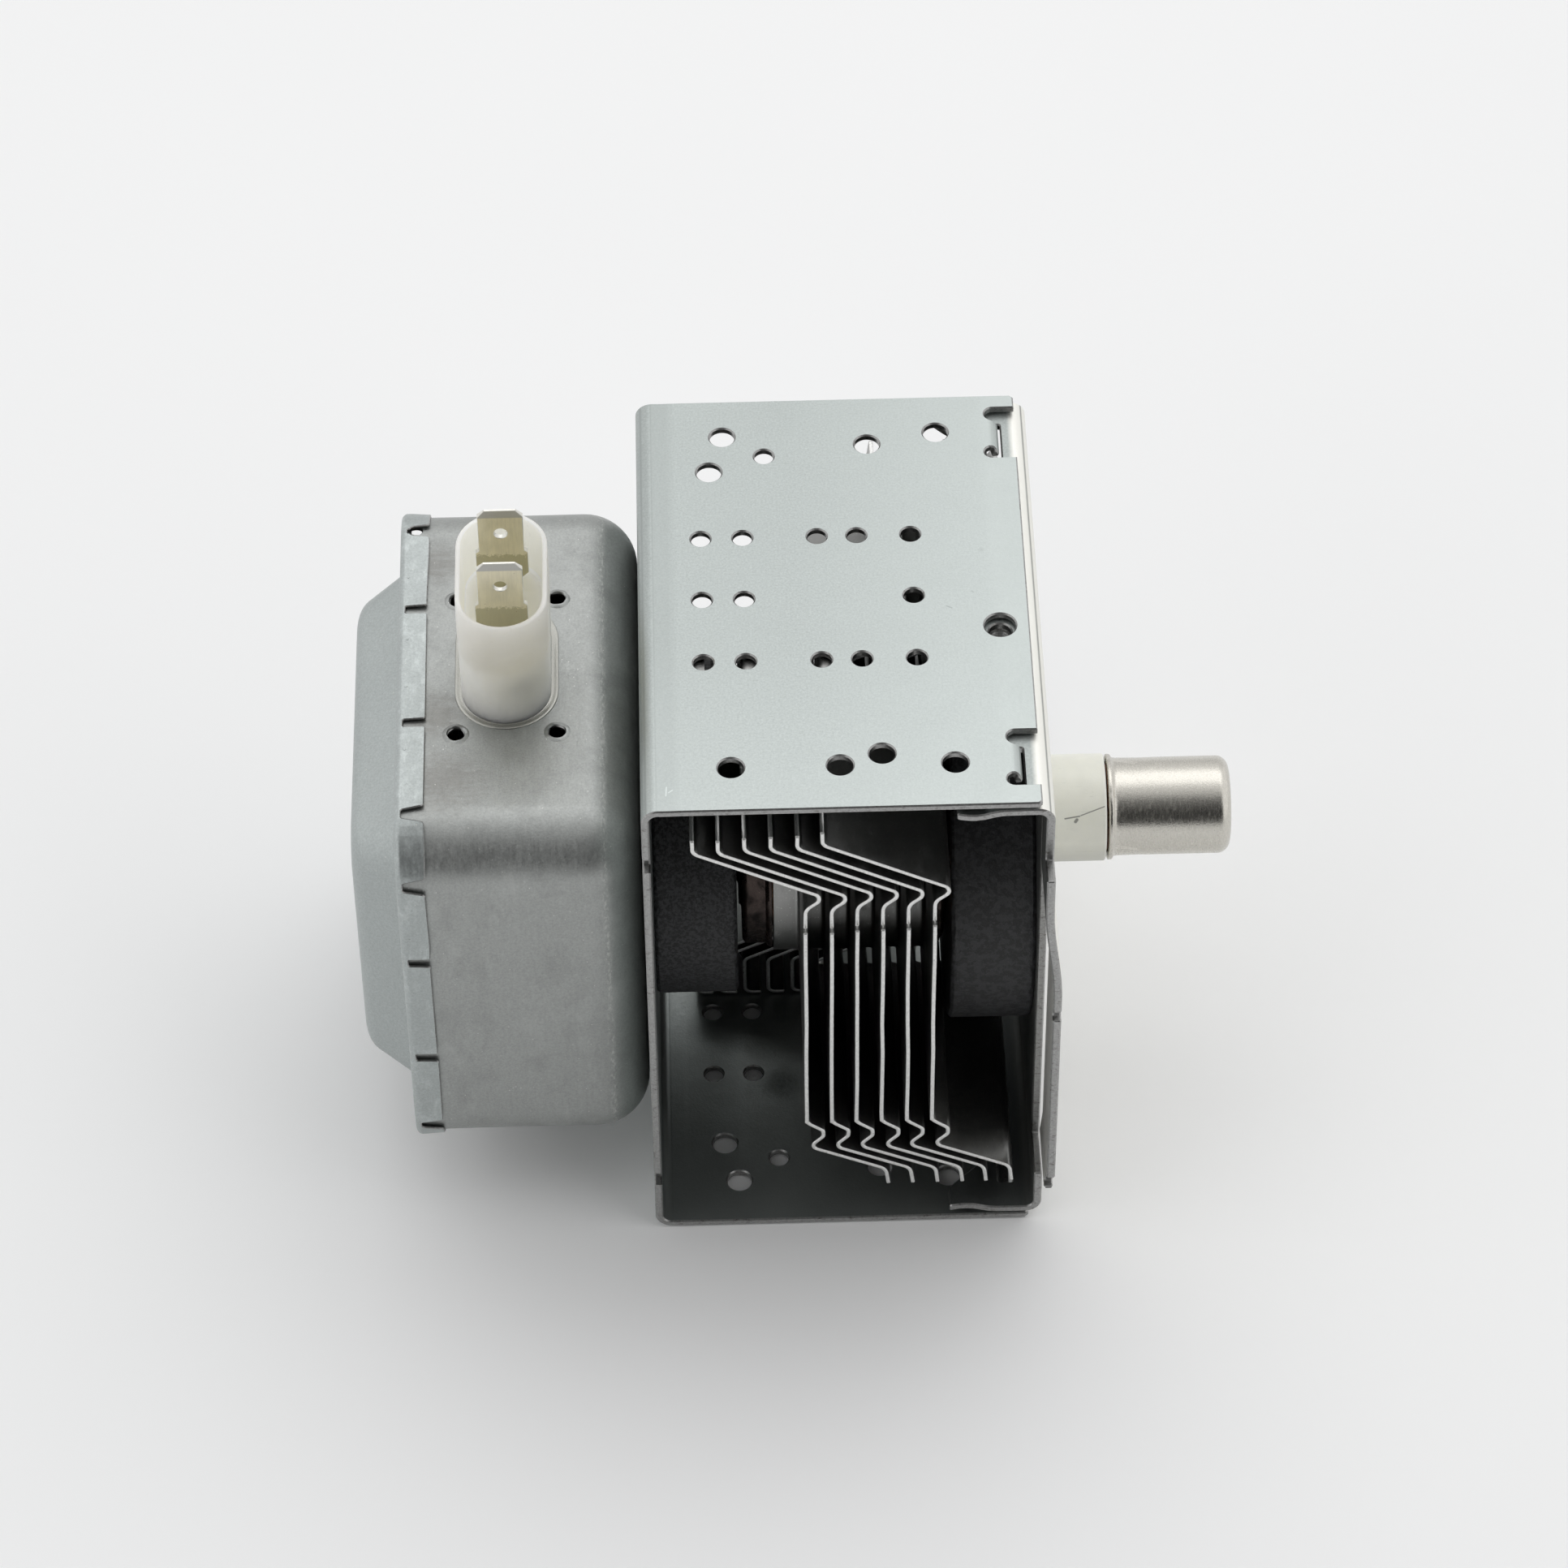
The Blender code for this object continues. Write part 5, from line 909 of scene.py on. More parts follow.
def socket_finish(name, base):
    """Moulded polyester that lets light through, with painted shade: greyer towards its foot and a dark patch on its
    front.
    """
    made = Finish(name, base, 0.3, 0.0)
    made.vary(made.grain(3.0, 3.0), 0.02)
    if name == "socket_polyester":
        # Painted shade: greyer towards the foot, and a dark patch on the front where less light comes through.
        made.wash(made.axis("Z"), 90.0, 79.0, 0.0, 0.25, (0.62, 0.63, 0.6))
        made.wash(made.near((-15.8, -11.3, 40.2), 6.5), 0.0, 0.9, 0.0, 0.6, (0.42, 0.42, 0.4))
    made.wash(made.grain(1.3, 4.0, shift=(4.0, 4.0, 1.0)), 0.66, 0.76, 0.0, 0.2, (0.7, 0.62, 0.42))
    made.raise_by(made.grain(0.3, 2.0), 0.01)
    made.shader.inputs["Subsurface Weight"].default_value = 1.0
    made.shader.inputs["Subsurface Radius"].default_value = (1.0, 1.0, 0.95)
    made.shader.inputs["Subsurface Scale"].default_value = 0.01
    return made.done()


def blade_finish(base):
    """Tin plating gone dull, scraped by a plug, with olive flux below the shoulders and painted shade along the
    bevelled tip.
    """
    made = Finish("terminal_tin", base, 0.4, 0.85)
    clouds = made.grain(1.6, 4.0, (1.0, 1.0, 1.8))
    made.vary(clouds, 0.09)
    made.roughen(clouds, 0.35, 0.65, 0.12)
    scrape = made.grain(0.22, 3.0, (1.0, 1.0, 12.0), (1.0, 5.0, 2.0))
    made.vary(scrape, 0.05)
    made.raise_by(scrape, 0.006)
    ragged = made.math("ADD", made.axis("Z"), made.span(made.grain(0.6, 5.0, rough=0.7), 0.3, 0.7, -0.6, 0.6))
    made.wash(ragged, 95.2, 94.9, 0.0, 0.65, (0.4, 0.38, 0.24))
    # Painted shade: a darker band along the bevelled tip.
    made.wash(made.axis("Z"), 102.25, 102.4, 0.0, 0.75, (0.42, 0.43, 0.45))
    specks = made.cells(1.1, shift=(2.0, 1.0, 5.0))
    made.wash(specks, 0.04, 0.08, 0.6, 0.0, (0.3, 0.2, 0.1))
    return made.done()


def resin_finish(base):
    """Cast potting resin."""
    made = Finish("potting_resin", base, 0.42, 0.0)
    made.vary(made.grain(2.4, 3.0), 0.08)
    made.raise_by(made.grain(0.9, 2.0), 0.03)
    return made.done()


FINISHES = {}


def finish(name):
    """Material of that name, made when it is first asked for."""
    if name in FINISHES:
        return FINISHES[name]
    tones = bpy.context.scene.magnetron_colours
    makers = {
        "yoke_zinc": lambda: yoke_finish(tones.zinc),
        "plate_zinc": lambda: plate_finish(tones.zinc),
        "case_zinc": lambda: case_finish(tones.case_zinc),
        "lid_zinc": lambda: lid_finish(tones.lid_zinc),
        "cut_steel": lambda: cut_steel_finish(tones.cut_steel),
        "fin_aluminium": lambda: aluminium_finish("fin_aluminium", tones.aluminium, 0.3),
        "fin_cut_edge": lambda: sheared_finish("fin_cut_edge", (0.8, 0.8, 0.785), 0.4),
        "magnet_ferrite": lambda: ferrite_finish("magnet_ferrite", tones.ferrite, 0.5, 0.95, (0.0, 0.0, 0.0)),
        "fine_ferrite": lambda: ferrite_finish("fine_ferrite", tones.ferrite, 1.1, 0.6, (8.0, 3.0, 5.0)),
        "oxidised_cup": lambda: seal_finish((0.055, 0.04, 0.035)),
        "anode_copper": lambda: metal_finish("anode_copper", (0.72, 0.36, 0.22), 0.32),
        "pole_steel": lambda: metal_finish("pole_steel", (0.45, 0.45, 0.46), 0.34),
        "cathode_molybdenum": lambda: metal_finish("cathode_molybdenum", (0.4, 0.4, 0.42), 0.34),
        "heater_tungsten": lambda: metal_finish("heater_tungsten", (0.25, 0.25, 0.27), 0.4),
        "stem_alumina": lambda: ceramic_finish("stem_alumina", tones.ceramic),
        "antenna_alumina": lambda: ceramic_finish("antenna_alumina", tones.ceramic),
        "cap_nickel": lambda: cap_finish(tones.nickel),
        "socket_polyester": lambda: socket_finish("socket_polyester", tones.socket),
        # Painted glow: the well's yellower tone stands in for warm light coming through the socket's walls.
        "socket_well_painted_glow": lambda: socket_finish("socket_well_painted_glow", (0.99, 0.94, 0.68)),
        "socket_floor": lambda: socket_finish("socket_floor", (0.99, 0.97, 0.86)),
        "collar_tin": lambda: metal_finish("collar_tin", (0.42, 0.42, 0.39), 0.36, 0.12, 0.02),
        "terminal_tin": lambda: blade_finish(tones.blade),
        "terminal_edge": lambda: metal_finish("terminal_edge", (0.72, 0.71, 0.66), 0.28, 0.12, 0.02),
        "potting_resin": lambda: resin_finish((0.3, 0.27, 0.2)),
        "choke_enamel": lambda: metal_finish("choke_enamel", (0.45, 0.2, 0.08), 0.3),
    }
    FINISHES[name] = makers[name]()
    return FINISHES[name]


def yoke_piece(sizes):
    """Channel folded from one blank: vents, fixing holes, die marks, notches and rolled lips."""
    sheet = sizes.sheet
    reach = YOKE_HIGH.x - YOKE_LOW.x
    line = SheetLine([(reach, HALF_HEIGHT), (0.0, HALF_HEIGHT), (0.0, -HALF_HEIGHT), (reach, -HALF_HEIGHT)],
                     [sizes.bend, sizes.bend])
    total = line.length
    lip_end = 52.1 * MM
    lip_root = lip_end - sizes.lip_roll
    lip_blank_end = lip_root + sizes.lip_roll * math.radians(80)
    width = sizes.lip_width
    hole = 1.1 * MM
    slot = 2.4 * MM

    def place(u, v, w):
        if u > total / 2:
            x, y, z = place(total - u, -v, w)
            return Vector((x, -y, -z))
        past_root = reach - u - lip_root
        if past_root > 0:
            for lip in LIPS:
                if lip - SEAM <= v <= lip + width + SEAM:
                    angle = past_root / sizes.lip_roll
                    spoke = sizes.lip_roll - w
                    return Vector((lip_root + spoke * math.sin(angle), v,
                                   HALF_HEIGHT - sizes.lip_roll + spoke * math.cos(angle)))
        point, left = line.at(u)
        x = reach - u
        sunk = soft_step(x, 2.4 * MM, 2.6 * MM) - soft_step(x, 4.2 * MM, 5.4 * MM)
        point = point + left * (w + sizes.die_mark * sunk)
        return Vector((point.x, v, point.y))

    def on_wall(x, y):
        return reach - x, y

    def on_base(z):
        return total / 2 - z

    chain = []
    for side in (-1, 1):
        edge = side * HALF_DEPTH
        low, high = on_base(32.7 * MM), on_base(35.3 * MM)
        notch_floor = edge - side * 1.6 * MM
        notch = [(low, edge), (low, notch_floor), (high, notch_floor), (high, edge)]
        if side < 0:
            chain += notch + [(0.5 * MM, edge), (0.0, edge + 0.5 * MM)]
            for lip in LIPS:
                lip_top = lip + width
                rounded = slot / 2
                corner_x = 50.2 * MM + rounded
                cut = [(reach, lip - hole)] + arc(lip_end - hole, lip, hole, 270, 30, 12)
                cut += [(lip_blank_end, lip + 0.4 * MM), (lip_blank_end, lip_top)]
                cut += arc(corner_x, lip_top + rounded, rounded, 270, 90, 12) + [(reach, lip_top + slot)]
                chain += [on_wall(*spot) for spot in cut]
            chain += [(0.0, HALF_DEPTH - 0.5 * MM), (0.5 * MM, HALF_DEPTH)]
        else:
            chain += list(reversed(notch))
    loops = [chain + [(total - u, -v) for u, v in chain]]
    holes = []
    row_apart = 12.05 * MM
    outer_row, middle_row = (9.0, 14.9, 25.4, 31.0, 38.6), (9.0, 14.9, 38.6)
    for row, places in ((-1, outer_row), (0, middle_row), (1, outer_row)):
        holes += [(x * MM, row * row_apart, sizes.vent) for x in places]
    for x, inset in ((12.4, 7.4), (10.4, 14.5), (33.1, 9.5), (43.0, 7.4)):
        holes.append((x * MM, HALF_DEPTH - inset * MM, sizes.fixing))
    for x, inset in ((12.4, 7.9), (27.3, 7.9), (33.1, 9.9), (43.0, 7.9)):
        holes.append((x * MM, inset * MM - HALF_DEPTH, sizes.fixing))
    holes.append((18.3 * MM, HALF_DEPTH - 11.5 * MM, sizes.vent))
    holes.append((BOSS_X, BOSS_Y, BOSS_BORE + 0.6 * MM))
    for x, y, radius in holes:
        u, v = on_wall(x, y)
        loops.append(circle(u, v, radius, 40))
        loops.append(circle(total - u, -v, radius, 40))
    loops.append(circle(total / 2, 0.0, sizes.bore, 96))
    marks = line.creases(8)
    for x in (2.4, 2.5, 2.6, 4.2, 4.6, 5.0, 5.4):
        marks += [reach - x * MM, total - reach + x * MM]
    past = HALF_DEPTH + 2 * MM
    creases = [((u, -past), (u, past)) for u in marks]
    for lip in LIPS:
        for step in range(7):
            u = reach - lip_root - (lip_blank_end - lip_root) * step / 7
            low, high = lip - 0.3 * MM, lip + width + 0.3 * MM
            creases += [((u, low), (u, high)), ((total - u, -high), (total - u, -low))]
    built = bmesh.new()
    fold_sheet(built, loops, creases, place, sheet, sizes.cut_round)
    return finish_piece("yoke", built, ["yoke_zinc", "cut_steel"], ["yoke_channel"])


def plate_piece(sizes):
    """Closing plate: flanges with windows and drawn bosses, antenna bore and two lanced ears."""
    sheet = sizes.plate_sheet
    outer_x = PLATE_HIGH.x - sizes.ear_offset
    top = PLATE_HIGH.z
    back = PLATE_LOW.x
    line = SheetLine([(back, -top), (outer_x, -top), (outer_x, top), (back, top)],
                     [sizes.plate_bend, sizes.plate_bend])
    total = line.length
    recess = HALF_DEPTH - 7.8 * MM
    ear_inner = recess + 0.5 * MM
    ear_low = -33.5 * MM
    cut_back = 34.8 * MM

    def place(u, v, w):
        point, left = line.at(u)
        point = point + left * w
        x, z = point
        if abs(v) > recess + 0.25 * MM and abs(z) < 34.2 * MM:
            down = 1 - soft_step(z, 9.0 * MM, 27.0 * MM)
            x += sizes.ear_offset * down - 0.35 * MM * (1 - soft_step(z, ear_low, ear_low + 3 * MM))
        if x < outer_x - sizes.plate_bend and abs(v) > 30 * MM:
            wave = soft_step(abs(v), 31 * MM, HALF_DEPTH) * soft_step(outer_x - x, 4 * MM, 10 * MM)
            dip = 0.5 * MM * wave * (1 + 0.8 * math.sin((x - back) / (1.5 * MM)))
            z -= math.copysign(dip, z)
        return Vector((x, v, z))

    def on_face(z):
        return total / 2 + z

    def on_flange(x, side):
        return total / 2 + side * (total / 2 - (x - back))

    flange = outer_x - 9.0 * MM
    outline = []
    for end in (1, -1):
        edge = end * HALF_DEPTH
        tip = end * (HALF_DEPTH + sizes.ear_reach)
        inner = end * ear_inner
        side = [(on_flange(back, -1), edge), (on_face(-cut_back), edge), (on_face(-cut_back), end * recess),
                (on_face(cut_back - 0.6 * MM), end * recess), (on_face(cut_back), end * (recess + 0.25 * MM)),
                (on_face(cut_back - 0.6 * MM), inner), (on_face(ear_low), inner)]
        side += [(on_face(ear_low), tip - end * 0.6 * MM), (on_face(ear_low + 0.6 * MM), tip)]
        for middle in (-31.7 * MM, 5.0 * MM):
            for z, cut in ((-0.8, 0.0), (-0.8, 1.2), (0.8, 1.2), (0.8, 0.0)):
                if middle + z * MM > ear_low + 0.6 * MM:
                    side.append((on_face(middle + z * MM), tip - end * cut * MM))
        side += [(on_face(33.5 * MM), tip), (on_face(33.5 * MM), edge), (on_flange(back, 1), edge)]
        tip_cut, root_cut = edge - end * 3.6 * MM, edge - end * 8.1 * MM
        walk = [(on_flange(flange, -1), root_cut), (on_flange(back, -1), tip_cut)] + side
        walk += [(on_flange(back, 1), tip_cut), (on_flange(flange, 1), root_cut)]
        outline += walk if end > 0 else list(reversed(walk))
    loops = [round_corners(outline, 0.35 * MM)]
    loops.append(circle(total / 2, 0.0, CERAMIC_HIGH.y + 0.5 * MM, 96))
    near, far, window_play = 50.3 * MM, 52.4 * MM, 0.3 * MM
    for side in (1, -1):
        for lip in LIPS:
            low, high = lip - window_play, lip + sizes.lip_width + window_play
            window = [(on_flange(near, side), side * low), (on_flange(far, side), side * low),
                      (on_flange(far, side), side * high), (on_flange(near, side), side * high)]
            loops.append(round_corners(window, 0.3 * MM))
        loops.append(circle(on_flange(BOSS_X, side), side * BOSS_Y, BOSS_BORE, 40))
    past = HALF_DEPTH + 6 * MM
    creases = [((u, -past), (u, past)) for u in line.creases(8)]
    for step in range(21):
        u = on_face(ear_low + 1 * MM + 60.5 * MM * step / 20)
        for end in (-1, 1):
            creases.append(((u, end * (recess + 0.3 * MM)), (u, end * past)))
    for side in (-1, 1):
        for step in range(12):
            u = on_flange(back + 0.6 * MM + 8.6 * MM * step / 11, side)
            for end in (-1, 1):
                creases.append(((u, end * 30.5 * MM), (u, end * past)))
        for step in range(5):
            for end in (-1, 1):
                v = end * (31.5 + 1.8 * step) * MM
                creases.append(((on_flange(back, side), v), (on_flange(back + 9 * MM, side), v)))
    built = bmesh.new()
    fold_sheet(built, loops, creases, place, sheet, sizes.cut_round)
    for side in (1, -1):
        under = side * (top - sheet)
        profile = [(under + side * 0.2 * MM, 1.6 * MM), (under + side * 0.2 * MM, 2.9 * MM), (under, 2.6 * MM),
                   (under - side * 0.4 * MM, 2.32 * MM), (under - side * 1.4 * MM, 2.25 * MM),
                   (under - side * 1.6 * MM, 2.1 * MM), (under - side * 1.6 * MM, 1.75 * MM)]
        for turn in range(4):
            depth = under - side * (1.5 - 0.4 * turn) * MM
            profile += [(depth, 1.62 * MM), (depth + side * 0.2 * MM, 1.38 * MM)]
        turn_profile(built, profile, 40, (BOSS_X, side * BOSS_Y), axis="Z", finish=1)
    return finish_piece("plate", built, ["plate_zinc", "cut_steel"], ["closing_plate"])


def fin_piece(number, sizes):
    """One pressed fin: slotted blank, beads, four wings and a collar drawn round the anode."""
    sheet = sizes.sheet
    flat_x = sizes.first + (number - 1) * sizes.pitch
    wall = HALF_HEIGHT - 1.4 * MM - sheet / 2
    top = 22.0 * MM
    bead = sizes.bead
    sag = (1.1, 1.2, 0.8, 0.7, 0.6, 0.0)[(number - 1) % 6] * MM
    seated = SheetLine([(top, 0.0), (24.4 * MM - sag, 0.0), (26.1 * MM - sag, bead), (27.3 * MM - sag, bead),
                        (36.6 * MM - sag, -15.4 * MM), (wall, -15.4 * MM), (wall, -13.0 * MM)],
                       [2.0 * MM, 1.1 * MM, 1.1 * MM, 1.3 * MM, 1.0 * MM])
    free = SheetLine([(top, 0.0), (22.9 * MM, 0.0), (24.8 * MM, bead + 0.5 * MM), (26.1 * MM, bead + 0.5 * MM),
                      (28.35 * MM, 0.3 * MM), (33.8 * MM, 11.4 * MM), (37.2 * MM, 11.8 * MM)],
                     [1.4 * MM, 0.9 * MM, 0.9 * MM, 0.9 * MM, 1.9 * MM])
    wide = 39.2 * MM
    tongue = 40.3 * MM
    slot = 3.3 * MM
    step_z = 20.7 * MM - sag * 0.9
    tab_foot = top + seated.length - 6.1 * MM - sag
    tab_front = 26.0 * MM
    collar = ANODE_RADIUS + 0.3 * MM + sheet / 2
    root = 1.0 * MM
    neck = 4.1 * MM if number == 1 else 3.1 * MM

    def place(u, v, w):
        if u < 0:
            x, y, z = place(-u, -v, w)
            return Vector((x, -y, -z))
        depth = w - sheet / 2
        if u > top:
            point, left = (seated if v < 0 else free).at(u - top)
            point = point + left * depth
            z, x = point
        else:
            z, x = u, depth
        away = soft_step(math.hypot(v, z), collar + 1.5 * MM, collar + 12 * MM)
        rag = soft_step(abs(v), 35 * MM, wide) * wander(number + 40, (0.0, v, z), 1.9 * MM)
        drift = wander(number, (0.0, v, z), 17 * MM) + 0.4 * wander(number + 20, (0.0, v, z), 6 * MM) + 0.4 * rag
        return Vector((flat_x + x + sizes.ripple * away * drift, v, z))

    half = [(top - 0.35 * MM, tongue), (top, wide), (top + free.length, wide), (top + free.length, slot),
            (top + 1.0 * MM, slot)]
    half += arc(top + 0.8 * MM, 0.0, slot, 90, 270, 16)[1:-1]
    half += [(top + 1.0 * MM, -slot), (top + seated.length, -slot), (top + seated.length, -tab_front),
             (tab_foot, -tab_front), (tab_foot, -wide), (step_z, -wide), (step_z, -tongue)]
    outline = half + [(-u, -v) for u, v in half]
    hole = circle(0.0, 0.0, collar + root - 0.12 * MM, 96)
    creases = []
    for line, near, far in ((seated, -wide - MM, -slot + MM), (free, slot - MM, wide + MM)):
        for u in [0.0] + line.creases(5):
            creases.append(((top + u, near), (top + u, far)))
            creases.append(((-top - u, -near), (-top - u, -far)))
    for step in range(-6, 7):
        v = step * 6.2 * MM
        if abs(v) > slot:
            creases.append(((-60 * MM, v), (60 * MM, v)))
    for step in range(-3, 4):
        creases.append(((step * 6.5 * MM, -60 * MM), (step * 6.5 * MM, 60 * MM)))

    def on_collar(u, v):
        return abs(math.hypot(u, v) - collar - root) < 0.03 * MM

    built = bmesh.new()
    fold_sheet(built, [round_corners(outline, 0.12 * MM), hole], creases, place, sheet, 0.1 * MM, on_collar)
    outer, inner = [], []
    for side, bend in ((outer, root - sheet / 2), (inner, root + sheet / 2)):
        for step in range(7):
            angle = math.radians(90 * step / 6)
            side.append((flat_x - root + bend * math.cos(angle), collar + root - bend * math.sin(angle)))
        side.append((flat_x - neck + 0.1 * MM, collar + root - bend))
    lip = [(flat_x - neck, collar + sheet * 0.35), (flat_x - neck, collar - sheet * 0.35)]
    turn_profile(built, outer + lip + inner[::-1], 96, closed=False)
    bmesh.ops.remove_doubles(built, verts=built.verts[:], dist=0.02 * MM)
    return finish_piece(f"fin_{number}", built, ["fin_aluminium", "fin_cut_edge"],
                        [f"cooling_fin_{number}"], 50)


def magnet_piece(name, node, skin, seed, sizes):
    """Sintered ring with broken edges and small chips along them."""
    low, high = place_in_drawing(node)
    radius = high.y
    bore = 9.6 * MM
    edge = sizes.magnet_chamfer

    def chipped(along, reach, angle):
        if min(along - low.x, high.x - along) > 1.2 * edge or reach < bore + edge:
            return along, reach
        spot = (along * 3, reach * math.cos(angle), reach * math.sin(angle))
        chip = max(wander(seed, spot, 1.7 * MM) - 0.18, 0.0) * sizes.chip
        return along + math.copysign(chip, (low.x + high.x) / 2 - along), reach - chip

    half = [(0.0, bore), (0.0, radius - 2 * edge), (0.0, radius - edge), (edge * 0.4, radius - edge * 0.4),
            (edge, radius), (2 * edge, radius)]
    profile = [(low.x + inward, reach) for inward, reach in half]
    profile += [(high.x - inward, reach) for inward, reach in reversed(half)]
    built = bmesh.new()
    turn_profile(built, profile, 160, shift=chipped)
    return finish_piece(name, built, [skin], [node], 30)


def cup_piece(sizes):
    """Filter-side seal cup with its stepped shoulder, neck and uneven brazed seam."""
    sheet = 0.6 * MM
    open_x = CUP_HIGH.x
    closed_x = open_x - 4.3 * MM
    radius = 18.5 * MM
    shoulder = 12.7 * MM
    neck = 9.2 * MM

    def uneven(along, reach, angle):
        if reach < radius + 0.1 * MM:
            return along, reach
        bulge = wander(5, (along * 2, reach * math.cos(angle), reach * math.sin(angle)), 2.2 * MM)
        return along, min(reach + sizes.seam * bulge, CUP_HIGH.y)

    profile = [(open_x, CUP_HIGH.y), (open_x - 0.35 * MM, CUP_HIGH.y + 0.05 * MM),
               (open_x - 0.75 * MM, radius + 0.3 * MM), (open_x - 0.9 * MM, radius)]
    profile += arc(closed_x + 0.9 * MM, radius - 0.9 * MM, 0.9 * MM, 90, 180, 8)
    profile += [(closed_x, shoulder + 0.5 * MM), (closed_x - 0.15 * MM, shoulder + 0.2 * MM),
                (closed_x - 0.4 * MM, shoulder), (closed_x - 0.4 * MM, neck + 0.8 * MM),
                (closed_x - 0.6 * MM, neck + 0.2 * MM), (closed_x - 1.0 * MM, neck), (CUP_LOW.x, neck),
                (CUP_LOW.x, neck - sheet), (closed_x + sheet, neck - sheet),
                (closed_x + sheet, radius - sheet - 0.9 * MM), (open_x, radius - sheet)]
    built = bmesh.new()
    turn_profile(built, profile, 96, shift=uneven)
    return finish_piece("seal_cup", built, ["oxidised_cup"], ["seal_cup_filter_side"])


def antenna_pieces(sizes):
    """Antenna ceramic and the drawn cap on it."""
    radius = CERAMIC_HIGH.y
    profile = [(CERAMIC_LOW.x, 5.6 * MM)]
    profile += arc(CERAMIC_LOW.x + 0.35 * MM, radius - 0.35 * MM, 0.35 * MM, 180, 90, 4)
    profile += arc(CERAMIC_HIGH.x - 0.35 * MM, radius - 0.35 * MM, 0.35 * MM, 90, 0, 4)
    profile += [(CERAMIC_HIGH.x, 5.6 * MM)]
    built = bmesh.new()
    turn_profile(built, profile, 96)
    finish_piece("ceramic_tube", built, ["antenna_alumina"], ["antenna_ceramic"])

    sheet = 0.45 * MM
    left = CAP_LOW.x
    right = CAP_HIGH.x
    rim = CAP_HIGH.y
    body = rim - 0.6 * MM
    corner = sizes.cap_corner
    face = right - 0.12 * MM
    rim_steps = ((0.0, rim - 0.15 * MM), (0.08, rim - 0.04 * MM), (0.2, rim), (0.5, rim), (0.68, rim - 0.1 * MM),
                 (0.85, body + 0.16 * MM), (1.1, body + 0.04 * MM), (1.6, body), (4.0, body - 0.03 * MM),
                 (4.6, body - 0.06 * MM), (5.4, body - 0.02 * MM))
    profile = [(left, body - sheet)] + [(left + along * MM, reach) for along, reach in rim_steps]
    profile += [(right - 3.4 * MM, body)]
    profile += arc(right - corner, body - corner, corner, 90, 0, 12)
    profile += [(face, body - corner - 0.9 * MM), (face, 0.0)]
    inner = [(face - sheet, 0.0), (face - sheet, body - corner - 0.9 * MM)]
    inner += arc(right - corner, body - corner, corner - sheet, 0, 90, 6)

    def nicked(along, reach, angle):
        if along > left + 1.5 * MM:
            return along, reach
        nick = max(wander(3, (along, reach * math.cos(angle), reach * math.sin(angle)), 1.6 * MM) - 0.2, 0.0)
        return along, reach - nick * 0.3 * MM

    built = bmesh.new()
    turn_profile(built, profile + inner, 96, shift=nicked)
    return finish_piece("cap", built, ["cap_nickel"], ["antenna_cap"])


